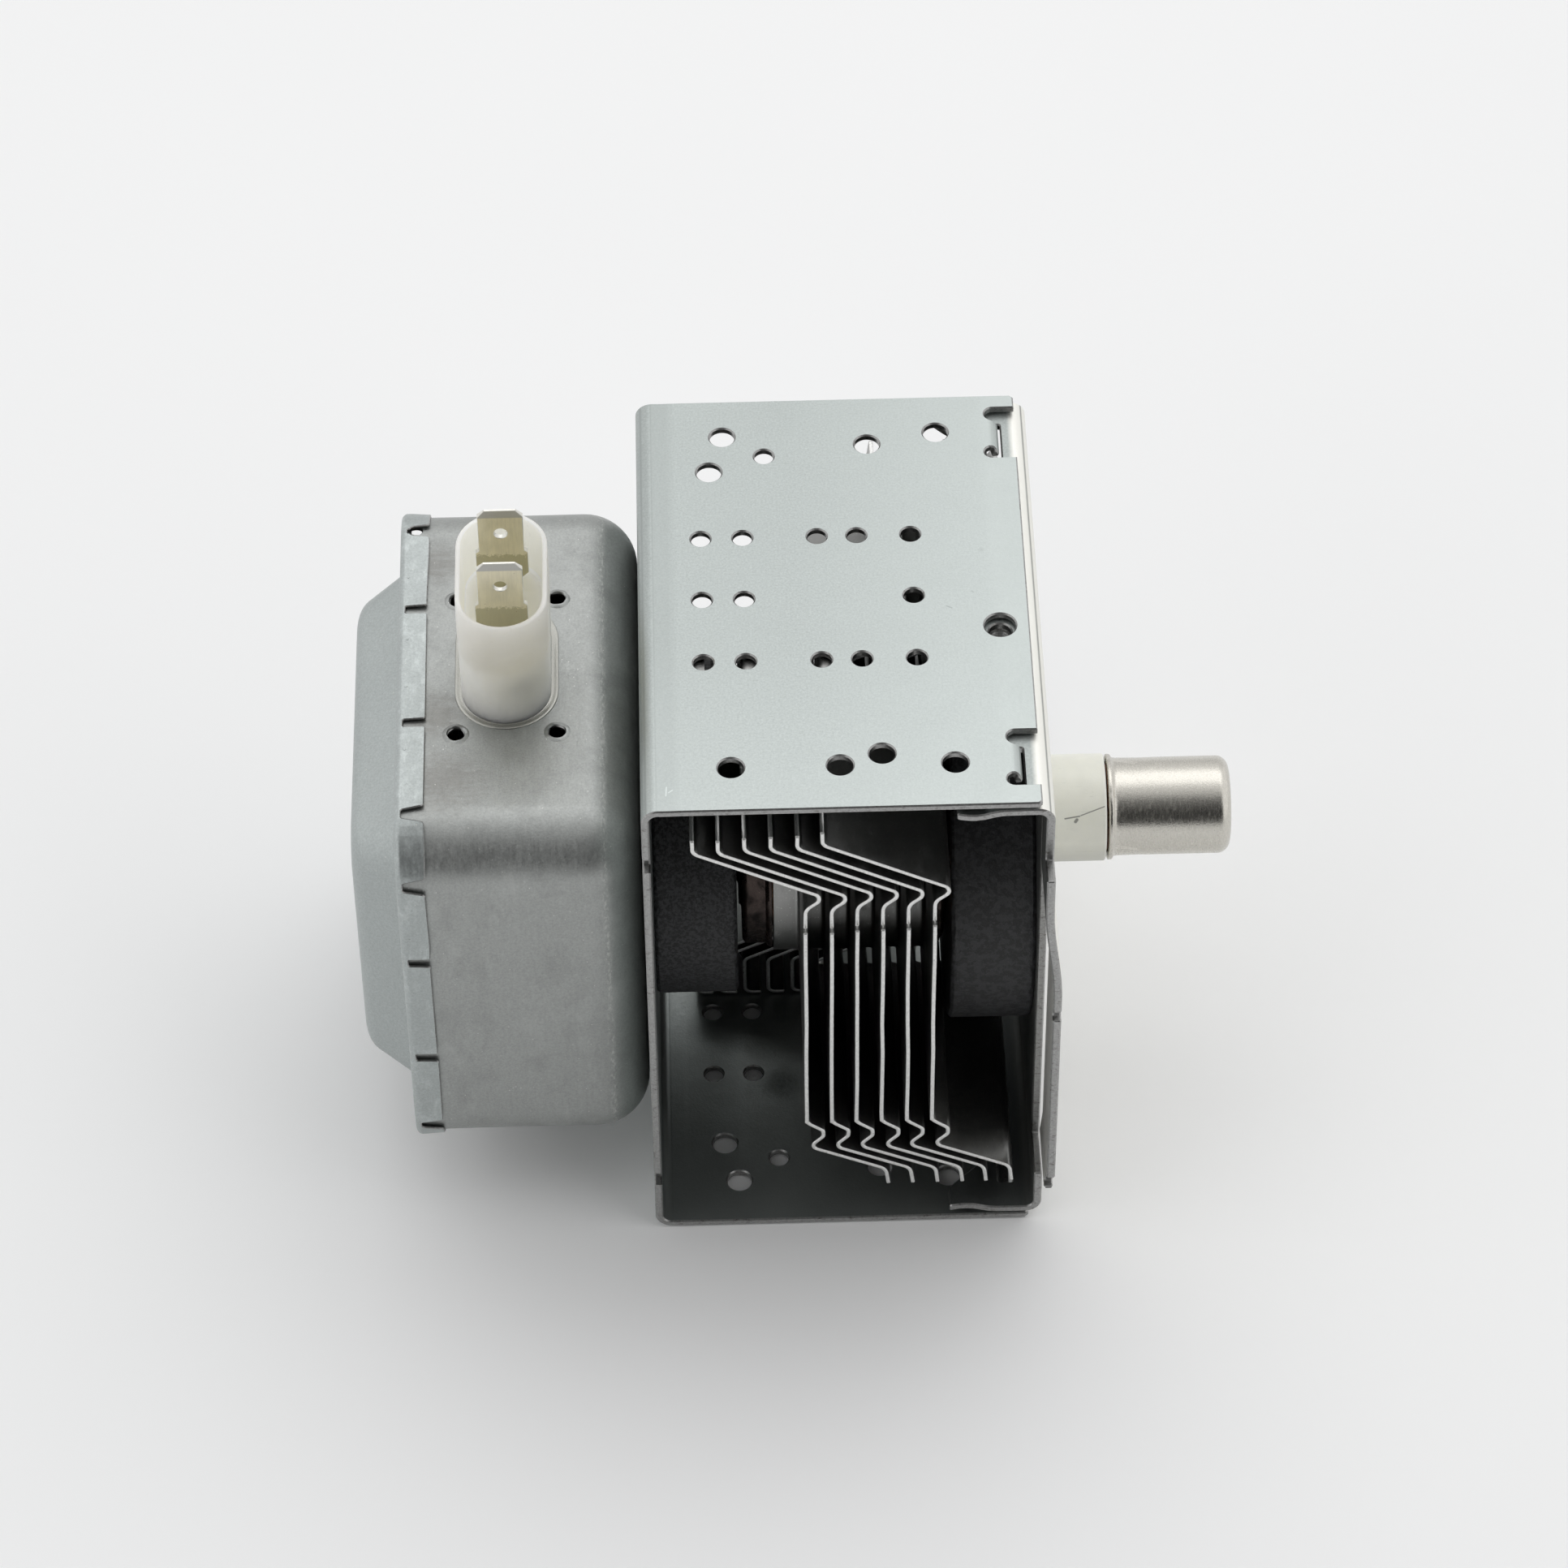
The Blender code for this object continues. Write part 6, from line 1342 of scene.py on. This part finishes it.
def case_piece(sizes):
    """Deep-drawn filter case with its connector opening and staked corners."""
    sheet = sizes.sheet
    outline = BoxOutline(CASE_HIGH.y, CASE_HIGH.z, sizes.corner)
    total = outline.starts[-1]
    low, high = CASE_LOW.x, CASE_HIGH.x
    bore = 10.6 * MM
    line = SheetLine([(low, 0.0), (high, 0.0), (high, 22.0 * MM)], [sizes.bottom])
    bend_end = line.creases(1)[-1]
    edge = 0.12 * MM

    def place(u, v, w):
        point, left = line.at(u)
        point = point + left * w
        x, inset = point
        y, z = outline.at(v, min(inset, sizes.bottom), 0.4 * MM)
        flat = (u - bend_end) / (line.length - bend_end)
        if flat > 0:
            spoke = Vector((y, z)).normalized() * bore
            y += (spoke.x - y) * flat
            z += (spoke.y - z) * flat
        held = soft_step(x, low, low + 6 * MM) * (1 - soft_step(u, 26 * MM, 40 * MM))
        bulge = 0.16 * MM * wander(8, (x, y, z), 22 * MM) * held
        away = Vector((0.0, y, z)).normalized() * bulge
        return Vector((x, y + away.y, z + away.z))

    loops = [[(0.0, -edge), (line.length, -edge), (line.length, total + edge), (0.0, total + edge)]]
    middle = (SOCKET_LOW.x + SOCKET_HIGH.x) / 2
    half_x, half_y = (COLLAR_HIGH.x - COLLAR_LOW.x) / 2, (COLLAR_HIGH.y - COLLAR_LOW.y) / 2
    loops.append(oval(middle - low, outline.over_top(0.0), half_x, half_y, 24))
    stakes = []
    stake_apart_x, stake_apart_y = 7.05 * MM, 13.0 * MM
    for side_x in (-1, 1):
        for side_y in (-1, 1):
            stake_x = middle + side_x * stake_apart_x
            stake_y = side_y * stake_apart_y
            ring = []
            for step in range(28):
                angle = 2 * math.pi * step / 28
                reach = (1.2 + 0.1 * math.cos(3 * angle + side_x + side_y)) * MM
                ring.append((stake_x - low + reach * math.cos(angle),
                             outline.over_top(stake_y) + reach * math.sin(angle)))
            loops.append(ring)
            stakes.append((stake_x, stake_y))
    corner_start, corner_end = outline.starts[3:5]
    corner_holes = ((-32.04, 0.92, 0.92), (-32.45, 0.1, 1.15))
    for x, share_round, radius in corner_holes:
        v = corner_start + (corner_end - corner_start) * share_round
        loops.append(circle(x * MM - low, v, radius * MM, 32))
    marks = outline.corner_marks(12)
    for part in (2, 4, 6):
        start, end = outline.starts[part], outline.starts[part + 1]
        marks += [start + (end - start) * step / 8 for step in range(1, 8)]
    creases = [((-MM, v), (line.length + MM, v)) for v in marks]
    rows = line.creases(12) + [step * 4.2 * MM for step in range(1, 6)]
    creases += [((u, -MM), (u, total + MM)) for u in rows]

    def on_seam(u, v):
        return v < SEAM or v > total - SEAM

    built = bmesh.new()
    fold_sheet(built, loops, creases, place, sheet, edge, on_seam)
    bmesh.ops.remove_doubles(built, verts=built.verts[:], dist=WELD)
    top = CASE_HIGH.z
    for stake_x, stake_y in stakes:
        rings = []
        for reach, lift in ((1.22, -0.1), (1.22, 0.12), (1.34, 0.26), (1.6, 0.22), (2.0, 0.0), (2.0, -0.1)):
            ring = []
            for x, y in circle(stake_x, stake_y, reach * MM, 28):
                uneven = 1 + 0.9 * wander(2, (x, y, 0.0), 1.1 * MM)
                ring.append((x, y, top + lift * MM * uneven))
            rings.append(ring)
        loft_rings(built, rings, closed=True)
    return finish_piece("case", built, ["case_zinc", "cut_steel"], ["filter_case"], 40)


def lid_piece(sizes):
    """Domed lid: its skirt is slotted into flaps that are pressed down over the case."""
    sheet = sizes.lid_sheet
    rim_x = CASE_LOW.x - 0.8 * MM
    face_x = LID_LOW.x
    skirt_end = LID_HIGH.x
    outline = BoxOutline(CASE_HIGH.y, CASE_HIGH.z, sizes.corner)
    total = outline.starts[-1]
    skirt = -0.66 * MM
    centre = 22.0 * MM
    line = SheetLine([(face_x, centre), (face_x, sizes.rim + sizes.dome_slope), (rim_x, sizes.rim), (rim_x, skirt),
                      (skirt_end, skirt)], [sizes.dome_round, 1.3 * MM, 0.85 * MM])
    edge = 0.12 * MM
    free = line.length
    root = free - (skirt_end + 33.25 * MM)
    cuts = []
    cuts_along_y, cuts_along_z = (26.8, 11.0, -11.1, -28.0), (25.8, 10.4, -10.1, -25.4)
    for y in cuts_along_y:
        cuts.append((outline.over_top(y * MM), abs(y) > 20))
        cuts.append((outline.under(y * MM), abs(y) > 20))
    for z in cuts_along_z:
        cuts.append((outline.down_front(z * MM), abs(z) > 20))
        cuts.append((outline.up_back(min(z, 24.9) * MM), abs(z) > 20))
    cuts.sort()

    def place(u, v, w):
        along = min(max(v, 0.0), total)
        point, left = line.at(u)
        x, inset = point + left * w
        out = soft_step(u, root, free)
        if out > 0:
            nearest = min(abs(along - cut) for cut, _ in cuts)
            lift = sizes.lift * (1 - soft_step(nearest, 0.5 * MM, 3.5 * MM)) - 0.18 * MM
            inset -= out * lift
            x += out * 0.25 * MM * wander(4, (0.0, along, 0.0), 9 * MM)
        y, z = outline.at(along, inset, 5.0 * MM)
        return Vector((x, y, z))

    edge_walk = [(free, -edge)]
    for cut, wide in cuts:
        near = (0.45 if wide else 0.5) * sizes.slot
        far = (0.85 if wide else 0.55) * sizes.slot
        low_side, high_side = [], []
        for widened, x, reach in ((outline.over_top(26.8 * MM), 1.95, 0.95 * MM),
                                  (outline.up_back(24.9 * MM), 2.5, 1.4 * MM)):
            if abs(cut - widened) < MM:
                near, far = 0.42 * MM, reach + 0.2 * MM
                turn = math.degrees(math.asin(near / reach))
                low_side = arc(free - x * MM, cut, reach, 270, 180 + turn, 8)
                high_side = arc(free - x * MM, cut, reach, 180 - turn, 90, 8)
        edge_walk += [(free, cut - far - 0.25 * MM), (free - 0.25 * MM, cut - far)] + low_side
        edge_walk += [(root + 0.15 * MM, cut - near), (root, cut - near + 0.15 * MM)]
        edge_walk += [(root, cut + near - 0.15 * MM), (root + 0.15 * MM, cut + near)]
        edge_walk += high_side + [(free - 0.25 * MM, cut + far), (free, cut + far + 0.25 * MM)]
    edge_walk += [(free, total + edge)]
    loops = [edge_walk + [(-edge, total + edge), (-edge, -edge)]]
    marks = outline.corner_marks(12)
    for cut, _ in cuts:
        marks += [cut - 3.2 * MM, cut - 1.8 * MM, cut + 1.8 * MM, cut + 3.2 * MM]
    creases = [((-MM, v), (free + MM, v)) for v in marks]
    rows = line.creases(7) + [root + 0.5 * MM, root + 1.6 * MM, root + 2.6 * MM, 3.0 * MM]
    creases += [((u, -MM), (u, total + MM)) for u in rows]

    def on_seam(u, v):
        return v < SEAM or v > total - SEAM or u < SEAM

    built = bmesh.new()
    fold_sheet(built, loops, creases, place, sheet, edge, on_seam)
    bmesh.ops.remove_doubles(built, verts=built.verts[:], dist=WELD)
    bmesh.ops.holes_fill(built, edges=[side for side in built.edges if side.is_boundary], sides=0)
    dimples = []
    for y in (17.4, 5.1, -4.1, -16.2):
        dimples += [(Vector((-32.9 * MM, y * MM, LID_HIGH.z)), Vector((0, 0, 1))),
                    (Vector((-32.9 * MM, y * MM, -LID_HIGH.z)), Vector((0, 0, -1)))]
    for z in (15.4, 3.9, -4.5, -16.1):
        dimples += [(Vector((-32.85 * MM, -LID_HIGH.y, z * MM)), Vector((0, -1, 0))),
                    (Vector((-32.85 * MM, LID_HIGH.y, z * MM)), Vector((0, 1, 0)))]
    pressed = 0.26 * MM
    for spot, out in dimples:
        spot = spot - out * (LID_HIGH.z - CASE_HIGH.z + skirt + pressed)
        turn = out.to_track_quat("Z", "Y").to_matrix()
        rings = []
        for reach, rise in ((1.0, -0.08), (0.75, 0.0), (0.5, 0.06), (0.32, 0.16), (0.16, 0.3)):
            rings.append([spot + turn @ Vector((x, y, rise)) * MM for x, y in circle(0.0, 0.0, reach, 12)])
        loft_rings(built, rings, cap_first=True, cap_last=True)
    return finish_piece("lid", built, ["lid_zinc", "cut_steel"], ["filter_lid"], 40)


def oval_ring(middle_x, half_x, half_y, z):
    """Ring of points round an oval at one height."""
    return [(x, y, z) for x, y in oval(middle_x, 0.0, half_x, half_y, 20)]


def socket_pieces(sizes):
    """Moulded socket on its pressed collar."""
    middle = (SOCKET_LOW.x + SOCKET_HIGH.x) / 2
    half_x = (SOCKET_HIGH.x - SOCKET_LOW.x) / 2
    half_y = (SOCKET_HIGH.y - SOCKET_LOW.y) / 2
    foot, rim = SOCKET_LOW.z, SOCKET_HIGH.z
    wall = sizes.wall
    floor = rim - sizes.floor
    rings = []
    for inset, z in ((0.3, foot - 0.55 * MM), (0.18, foot - 0.5 * MM), (0.16, foot), (0.0, foot + 12 * MM),
                     (0.04, rim - 0.35 * MM), (0.14, rim - 0.1 * MM), (0.3, rim)):
        rings.append(oval_ring(middle, half_x - inset * MM, half_y - inset * MM, z))
    for inset, z in ((-0.28, rim), (-0.08, rim - 0.12 * MM), (0.0, rim - 0.35 * MM), (0.12, floor + 0.8 * MM),
                     (0.3, floor + 0.2 * MM), (0.9, floor)):
        rings.append(oval_ring(middle, half_x - wall - inset * MM, half_y - wall - inset * MM, z))
    built = bmesh.new()
    loft_rings(built, rings, cap_first=True, cap_last=True)
    for face in built.faces:
        spot = face.calc_center_median()
        reach = math.hypot(spot.x - middle, max(abs(spot.y) - (half_y - half_x), 0.0))
        if reach < half_x - wall + 0.1 * MM and spot.z > floor - 0.1 * MM:
            face.material_index = 1 if spot.z > floor + 1.2 * MM else 2
    finish_piece("socket", built, ["socket_polyester", "socket_well_painted_glow", "socket_floor"],
                 ["connector_body"])

    half_x = (COLLAR_HIGH.x - COLLAR_LOW.x) / 2
    half_y = (COLLAR_HIGH.y - COLLAR_LOW.y) / 2
    low, face = COLLAR_LOW.z, CASE_HIGH.z
    lips = ((-0.26, 0.03), (-0.3, 0.1), (-0.24, 0.2), (-0.1, 0.25), (0.15, 0.22), (0.55, 0.2), (0.8, 0.3), (0.95, 0.5),
            (1.6, 0.5))
    levels = [(0.15, low), (0.15, face)] + [(inset, face + lift * MM) for inset, lift in lips] + [(1.6, low)]
    rings = [oval_ring(middle, half_x - inset * MM, half_y - inset * MM, z) for inset, z in levels]
    built = bmesh.new()
    loft_rings(built, rings, closed=True)
    return finish_piece("collar", built, ["collar_tin"], ["connector_collar"])


def blade_piece(number, sizes):
    """Blade terminal with cut corners, bevelled tip, locking hole and shoulders."""
    low, high = place_in_drawing(f"terminal_tab_{number}")
    middle_x = (low.x + high.x) / 2
    middle_y = (low.y + high.y) / 2
    half = sizes.blade_width / 2
    corner = sizes.blade_corner
    sheet = sizes.blade
    tip = high.z
    shoulder = tip - 7.9 * MM
    wide = (high.x - low.x) / 2
    shank = half * 0.55
    bevel_low = tip - 1.15 * MM
    outline = [(half - corner, tip), (half, tip - corner), (half, shoulder + 0.3 * MM), (wide, shoulder - 0.1 * MM),
               (wide, shoulder - 4.1 * MM), (shank, shoulder - 4.1 * MM - wide + shank), (shank, low.z)]
    outline += [(-x, z) for x, z in reversed(outline)]

    def place(u, v, w):
        thin = 0.17 * max(v - bevel_low, 0.0) * (1 - 2 * w / sheet)
        return Vector((middle_x + u, middle_y - sheet / 2 + w + thin, v))

    hole = circle(0.0, tip - 4.2 * MM, 0.93 * MM, 32)
    rows = (bevel_low, shoulder, shoulder - 4 * MM, shoulder - 8 * MM)
    creases = [((-5 * MM, z), (5 * MM, z)) for z in rows]
    built = bmesh.new()
    fold_sheet(built, [outline, hole], creases, place, sheet, 0.07 * MM)
    return finish_piece(f"blade_{number}", built, ["terminal_tin", "terminal_edge"],
                        [f"terminal_tab_{number}"])


def dress_inner_nodes():
    """Finishes for the pieces that keep their solids: the inside of the tube and of the case."""
    for name, nodes in INNER_NODES.items():
        for node in nodes:
            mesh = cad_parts[node].data
            for index in range(max(len(mesh.materials), 1)):
                if index < len(mesh.materials):
                    mesh.materials[index] = finish(name)
                else:
                    mesh.materials.append(finish(name))


def stage_floor(settings):
    """Pale seamless floor, with faint unevenness in its colour."""
    built = bmesh.new()
    bmesh.ops.create_grid(built, x_segments=8, y_segments=8, size=6.0)
    mesh = bpy.data.meshes.new("floor")
    built.to_mesh(mesh)
    built.free()
    floor = bpy.data.objects.new("floor", mesh)
    floor.location.z = -0.0002
    bpy.context.collection.objects.link(floor)
    paper = Finish("floor_paper", settings.floor, 0.75, 0.0)
    paper.vary(paper.grain(160.0, 2.0), 0.006)
    paper.raise_by(paper.grain(0.6, 3.0), 0.01)
    paper.shader.inputs["Specular IOR Level"].default_value = 0.2
    mesh.materials.append(paper.done())


def stage_world(settings):
    """Studio surroundings: bright above and behind, darker towards the camera's side."""
    world = bpy.data.worlds.new("studio")
    world.use_nodes = True
    bpy.context.scene.world = world
    tree = world.node_tree
    backdrop = tree.nodes["Background"]
    direction = tree.nodes.new("ShaderNodeTexCoord").outputs["Generated"]
    parts = tree.nodes.new("ShaderNodeSeparateXYZ")
    tree.links.new(direction, parts.inputs[0])

    def ramp(socket, stops):
        made = tree.nodes.new("ShaderNodeValToRGB")
        tree.links.new(socket, made.inputs[0])
        while len(made.color_ramp.elements) < len(stops):
            made.color_ramp.elements.new(0.5)
        for element, (place, level) in zip(made.color_ramp.elements, stops):
            element.position = place
            element.color = (level, level, level, 1.0)
        return made.outputs["Color"]

    def rise(value, low, high, top=1.0, smooth=True):
        made = tree.nodes.new("ShaderNodeMapRange")
        made.interpolation_type = "SMOOTHSTEP" if smooth else "LINEAR"
        for name, setting in (("From Min", low), ("From Max", high), ("To Max", top)):
            made.inputs[name].default_value = setting
        tree.links.new(value, made.inputs["Value"])
        return made.outputs["Result"]

    def blend(factor, first, second):
        mix = tree.nodes.new("ShaderNodeMix")
        mix.data_type = "RGBA"
        for socket, value in ((mix.inputs["Factor"], factor), (mix.inputs[6], first), (mix.inputs[7], second)):
            tree.links.new(value, socket)
        return mix.outputs[2]

    height = rise(parts.outputs["Z"], -1.0, 1.0, smooth=False)
    front = ramp(height, ((0.0, 0.75), (0.49, 0.65), (0.52, 0.03), (0.8, 0.04), (0.935, 0.2), (1.0, 0.8)))
    back = ramp(height, ((0.0, 0.7), (0.49, 0.7), (0.53, 0.62), (0.72, 0.84), (0.88, 1.0), (1.0, 0.92)))
    flank = ramp(height, ((0.0, 0.75), (0.49, 0.75), (0.52, 0.98), (0.75, 1.0), (1.0, 0.92)))
    wide = tree.nodes.new("ShaderNodeMath")
    wide.operation = "MULTIPLY"
    tree.links.new(parts.outputs["X"], wide.inputs[0])
    tree.links.new(parts.outputs["X"], wide.inputs[1])
    behind = tree.nodes.new("ShaderNodeMath")
    behind.operation = "MULTIPLY_ADD"
    tree.links.new(wide.outputs["Value"], behind.inputs[0])
    behind.inputs[1].default_value = 2.6
    tree.links.new(parts.outputs["Y"], behind.inputs[2])
    window = tree.nodes.new("ShaderNodeVectorMath")
    window.operation = "DOT_PRODUCT"
    tree.links.new(direction, window.inputs[0])
    window_way = (-0.84, -0.48, 0.25)
    window.inputs[1].default_value = window_way
    bright = blend(rise(wide.outputs["Value"], 0.08, 0.5), back, flank)
    room = blend(rise(behind.outputs["Value"], -0.16, 0.42), front, bright)
    lit = blend(rise(window.outputs["Value"], 0.74, 0.98, top=0.9), room, flank)
    tree.links.new(lit, backdrop.inputs["Color"])
    backdrop.inputs["Strength"].default_value = settings.sky


def stage_lamp(settings):
    """One large soft lamp overhead, a little behind and to the right."""
    lamp = bpy.data.lights.new("overhead", "AREA")
    lamp.shape = "RECTANGLE"
    lamp.size = 1.4
    lamp.size_y = 0.9
    lamp.energy = settings.lamp
    holder = bpy.data.objects.new("overhead", lamp)
    holder.location = (0.1, 0.62, 1.2)
    aim = Vector((0.0, 0.0, 0.03)) - holder.location
    holder.rotation_euler = aim.to_track_quat("-Z", "Y").to_euler()
    bpy.context.collection.objects.link(holder)


def stage_camera(settings):
    """Camera where the photograph was taken from."""
    pitch, yaw, roll = (math.radians(angle) for angle in (47.442, -0.98, -0.685))
    turn = Matrix.Rotation(yaw, 3, "Z") @ Matrix.Rotation(math.pi / 2 - pitch, 3, "X") @ Matrix.Rotation(roll, 3, "Z")
    lens = bpy.data.cameras.new("camera")
    lens.sensor_width = 36.0
    lens.lens = settings.lens
    lens.clip_start = 0.01
    camera = bpy.data.objects.new("camera", lens)
    across, above, away = 20.103, 4.945, 862.29
    spot = turn @ Vector((across, above, away)) * MM + DRAWING_ORIGIN
    camera.matrix_world = Matrix.Translation(spot) @ turn.to_4x4()
    bpy.context.collection.objects.link(camera)
    bpy.context.scene.camera = camera


class MAGNETRON_OT_yoke(bpy.types.Operator):
    """Fold the yoke channel and its closing plate"""

    bl_idname = "magnetron.yoke"
    bl_label = "Yoke and closing plate"

    def execute(self, context):
        yoke_piece(context.scene.magnetron_yoke)
        plate_piece(context.scene.magnetron_yoke)
        return {"FINISHED"}


class MAGNETRON_OT_fins(bpy.types.Operator):
    """Press the cooling fins"""

    bl_idname = "magnetron.fins"
    bl_label = "Cooling fins"

    def execute(self, context):
        sizes = context.scene.magnetron_fins
        for number in range(1, sizes.count + 1):
            fin_piece(number, sizes)
        return {"FINISHED"}


class MAGNETRON_OT_tube(bpy.types.Operator):
    """Make the ring magnets, the seal cup, the antenna ceramic and its cap"""

    bl_idname = "magnetron.tube"
    bl_label = "Magnets, cup and antenna"

    def execute(self, context):
        sizes = context.scene.magnetron_tube
        magnet_piece("left_magnet", "filter_side_magnet", "magnet_ferrite", 1, sizes)
        magnet_piece("right_magnet", "antenna_side_magnet", "fine_ferrite", 2, sizes)
        cup_piece(sizes)
        antenna_pieces(sizes)
        return {"FINISHED"}


class MAGNETRON_OT_filter_box(bpy.types.Operator):
    """Draw the filter case and crimp its lid"""

    bl_idname = "magnetron.filter_box"
    bl_label = "Filter case and lid"

    def execute(self, context):
        case_piece(context.scene.magnetron_filter_box)
        lid_piece(context.scene.magnetron_filter_box)
        return {"FINISHED"}


class MAGNETRON_OT_connector(bpy.types.Operator):
    """Make the socket, its collar and the two blade terminals"""

    bl_idname = "magnetron.connector"
    bl_label = "Connector"

    def execute(self, context):
        sizes = context.scene.magnetron_connector
        socket_pieces(sizes)
        for number in (1, 2):
            blade_piece(number, sizes)
        return {"FINISHED"}


class MAGNETRON_OT_inside(bpy.types.Operator):
    """Give the pieces inside the tube and the case their finishes"""

    bl_idname = "magnetron.inside"
    bl_label = "Inner pieces"

    def execute(self, context):
        dress_inner_nodes()
        return {"FINISHED"}


class MAGNETRON_OT_stage(bpy.types.Operator):
    """Set up the floor, the light and the camera"""

    bl_idname = "magnetron.stage"
    bl_label = "Stage"

    def execute(self, context):
        settings = context.scene.magnetron_stage
        stage_floor(settings)
        stage_world(settings)
        stage_lamp(settings)
        stage_camera(settings)
        context.scene.view_settings.view_transform = "Standard"
        return {"FINISHED"}


OPERATORS = (MAGNETRON_OT_stage, MAGNETRON_OT_yoke, MAGNETRON_OT_fins, MAGNETRON_OT_tube, MAGNETRON_OT_filter_box,
             MAGNETRON_OT_connector, MAGNETRON_OT_inside)
SETTINGS = (("magnetron_yoke", YokeSizes), ("magnetron_fins", FinSizes), ("magnetron_tube", TubeSizes),
            ("magnetron_filter_box", FilterBoxSizes), ("magnetron_connector", ConnectorSizes),
            ("magnetron_colours", FinishColours), ("magnetron_stage", StageSettings))


class MAGNETRON_PT_panel(bpy.types.Panel):
    """Lists the pieces and their settings"""

    bl_idname = "MAGNETRON_PT_panel"
    bl_label = "Magnetron"
    bl_space_type = "VIEW_3D"
    bl_region_type = "UI"
    bl_category = "Magnetron"

    def draw(self, context):
        layout = self.layout
        for operator in OPERATORS:
            layout.operator(operator.bl_idname)
        for name, group in SETTINGS:
            box = layout.box()
            box.label(text=group.__doc__)
            for key in group.__annotations__:
                box.prop(getattr(context.scene, name), key)


def register():
    """Register the settings, the operators and the panel."""
    for name, group in SETTINGS:
        bpy.utils.register_class(group)
        setattr(bpy.types.Scene, name, PointerProperty(type=group))
    for operator in OPERATORS:
        bpy.utils.register_class(operator)
    bpy.utils.register_class(MAGNETRON_PT_panel)


def unregister():
    """Take them all out again."""
    bpy.utils.unregister_class(MAGNETRON_PT_panel)
    for operator in reversed(OPERATORS):
        bpy.utils.unregister_class(operator)
    for name, group in reversed(SETTINGS):
        delattr(bpy.types.Scene, name)
        bpy.utils.unregister_class(group)


def main():
    """Build the stage and every piece on the frame."""
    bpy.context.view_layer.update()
    register()
    bpy.ops.magnetron.stage()
    bpy.ops.magnetron.yoke()
    bpy.ops.magnetron.fins()
    bpy.ops.magnetron.tube()
    bpy.ops.magnetron.filter_box()
    bpy.ops.magnetron.connector()
    bpy.ops.magnetron.inside()


if __name__ == "__main__":
    main()
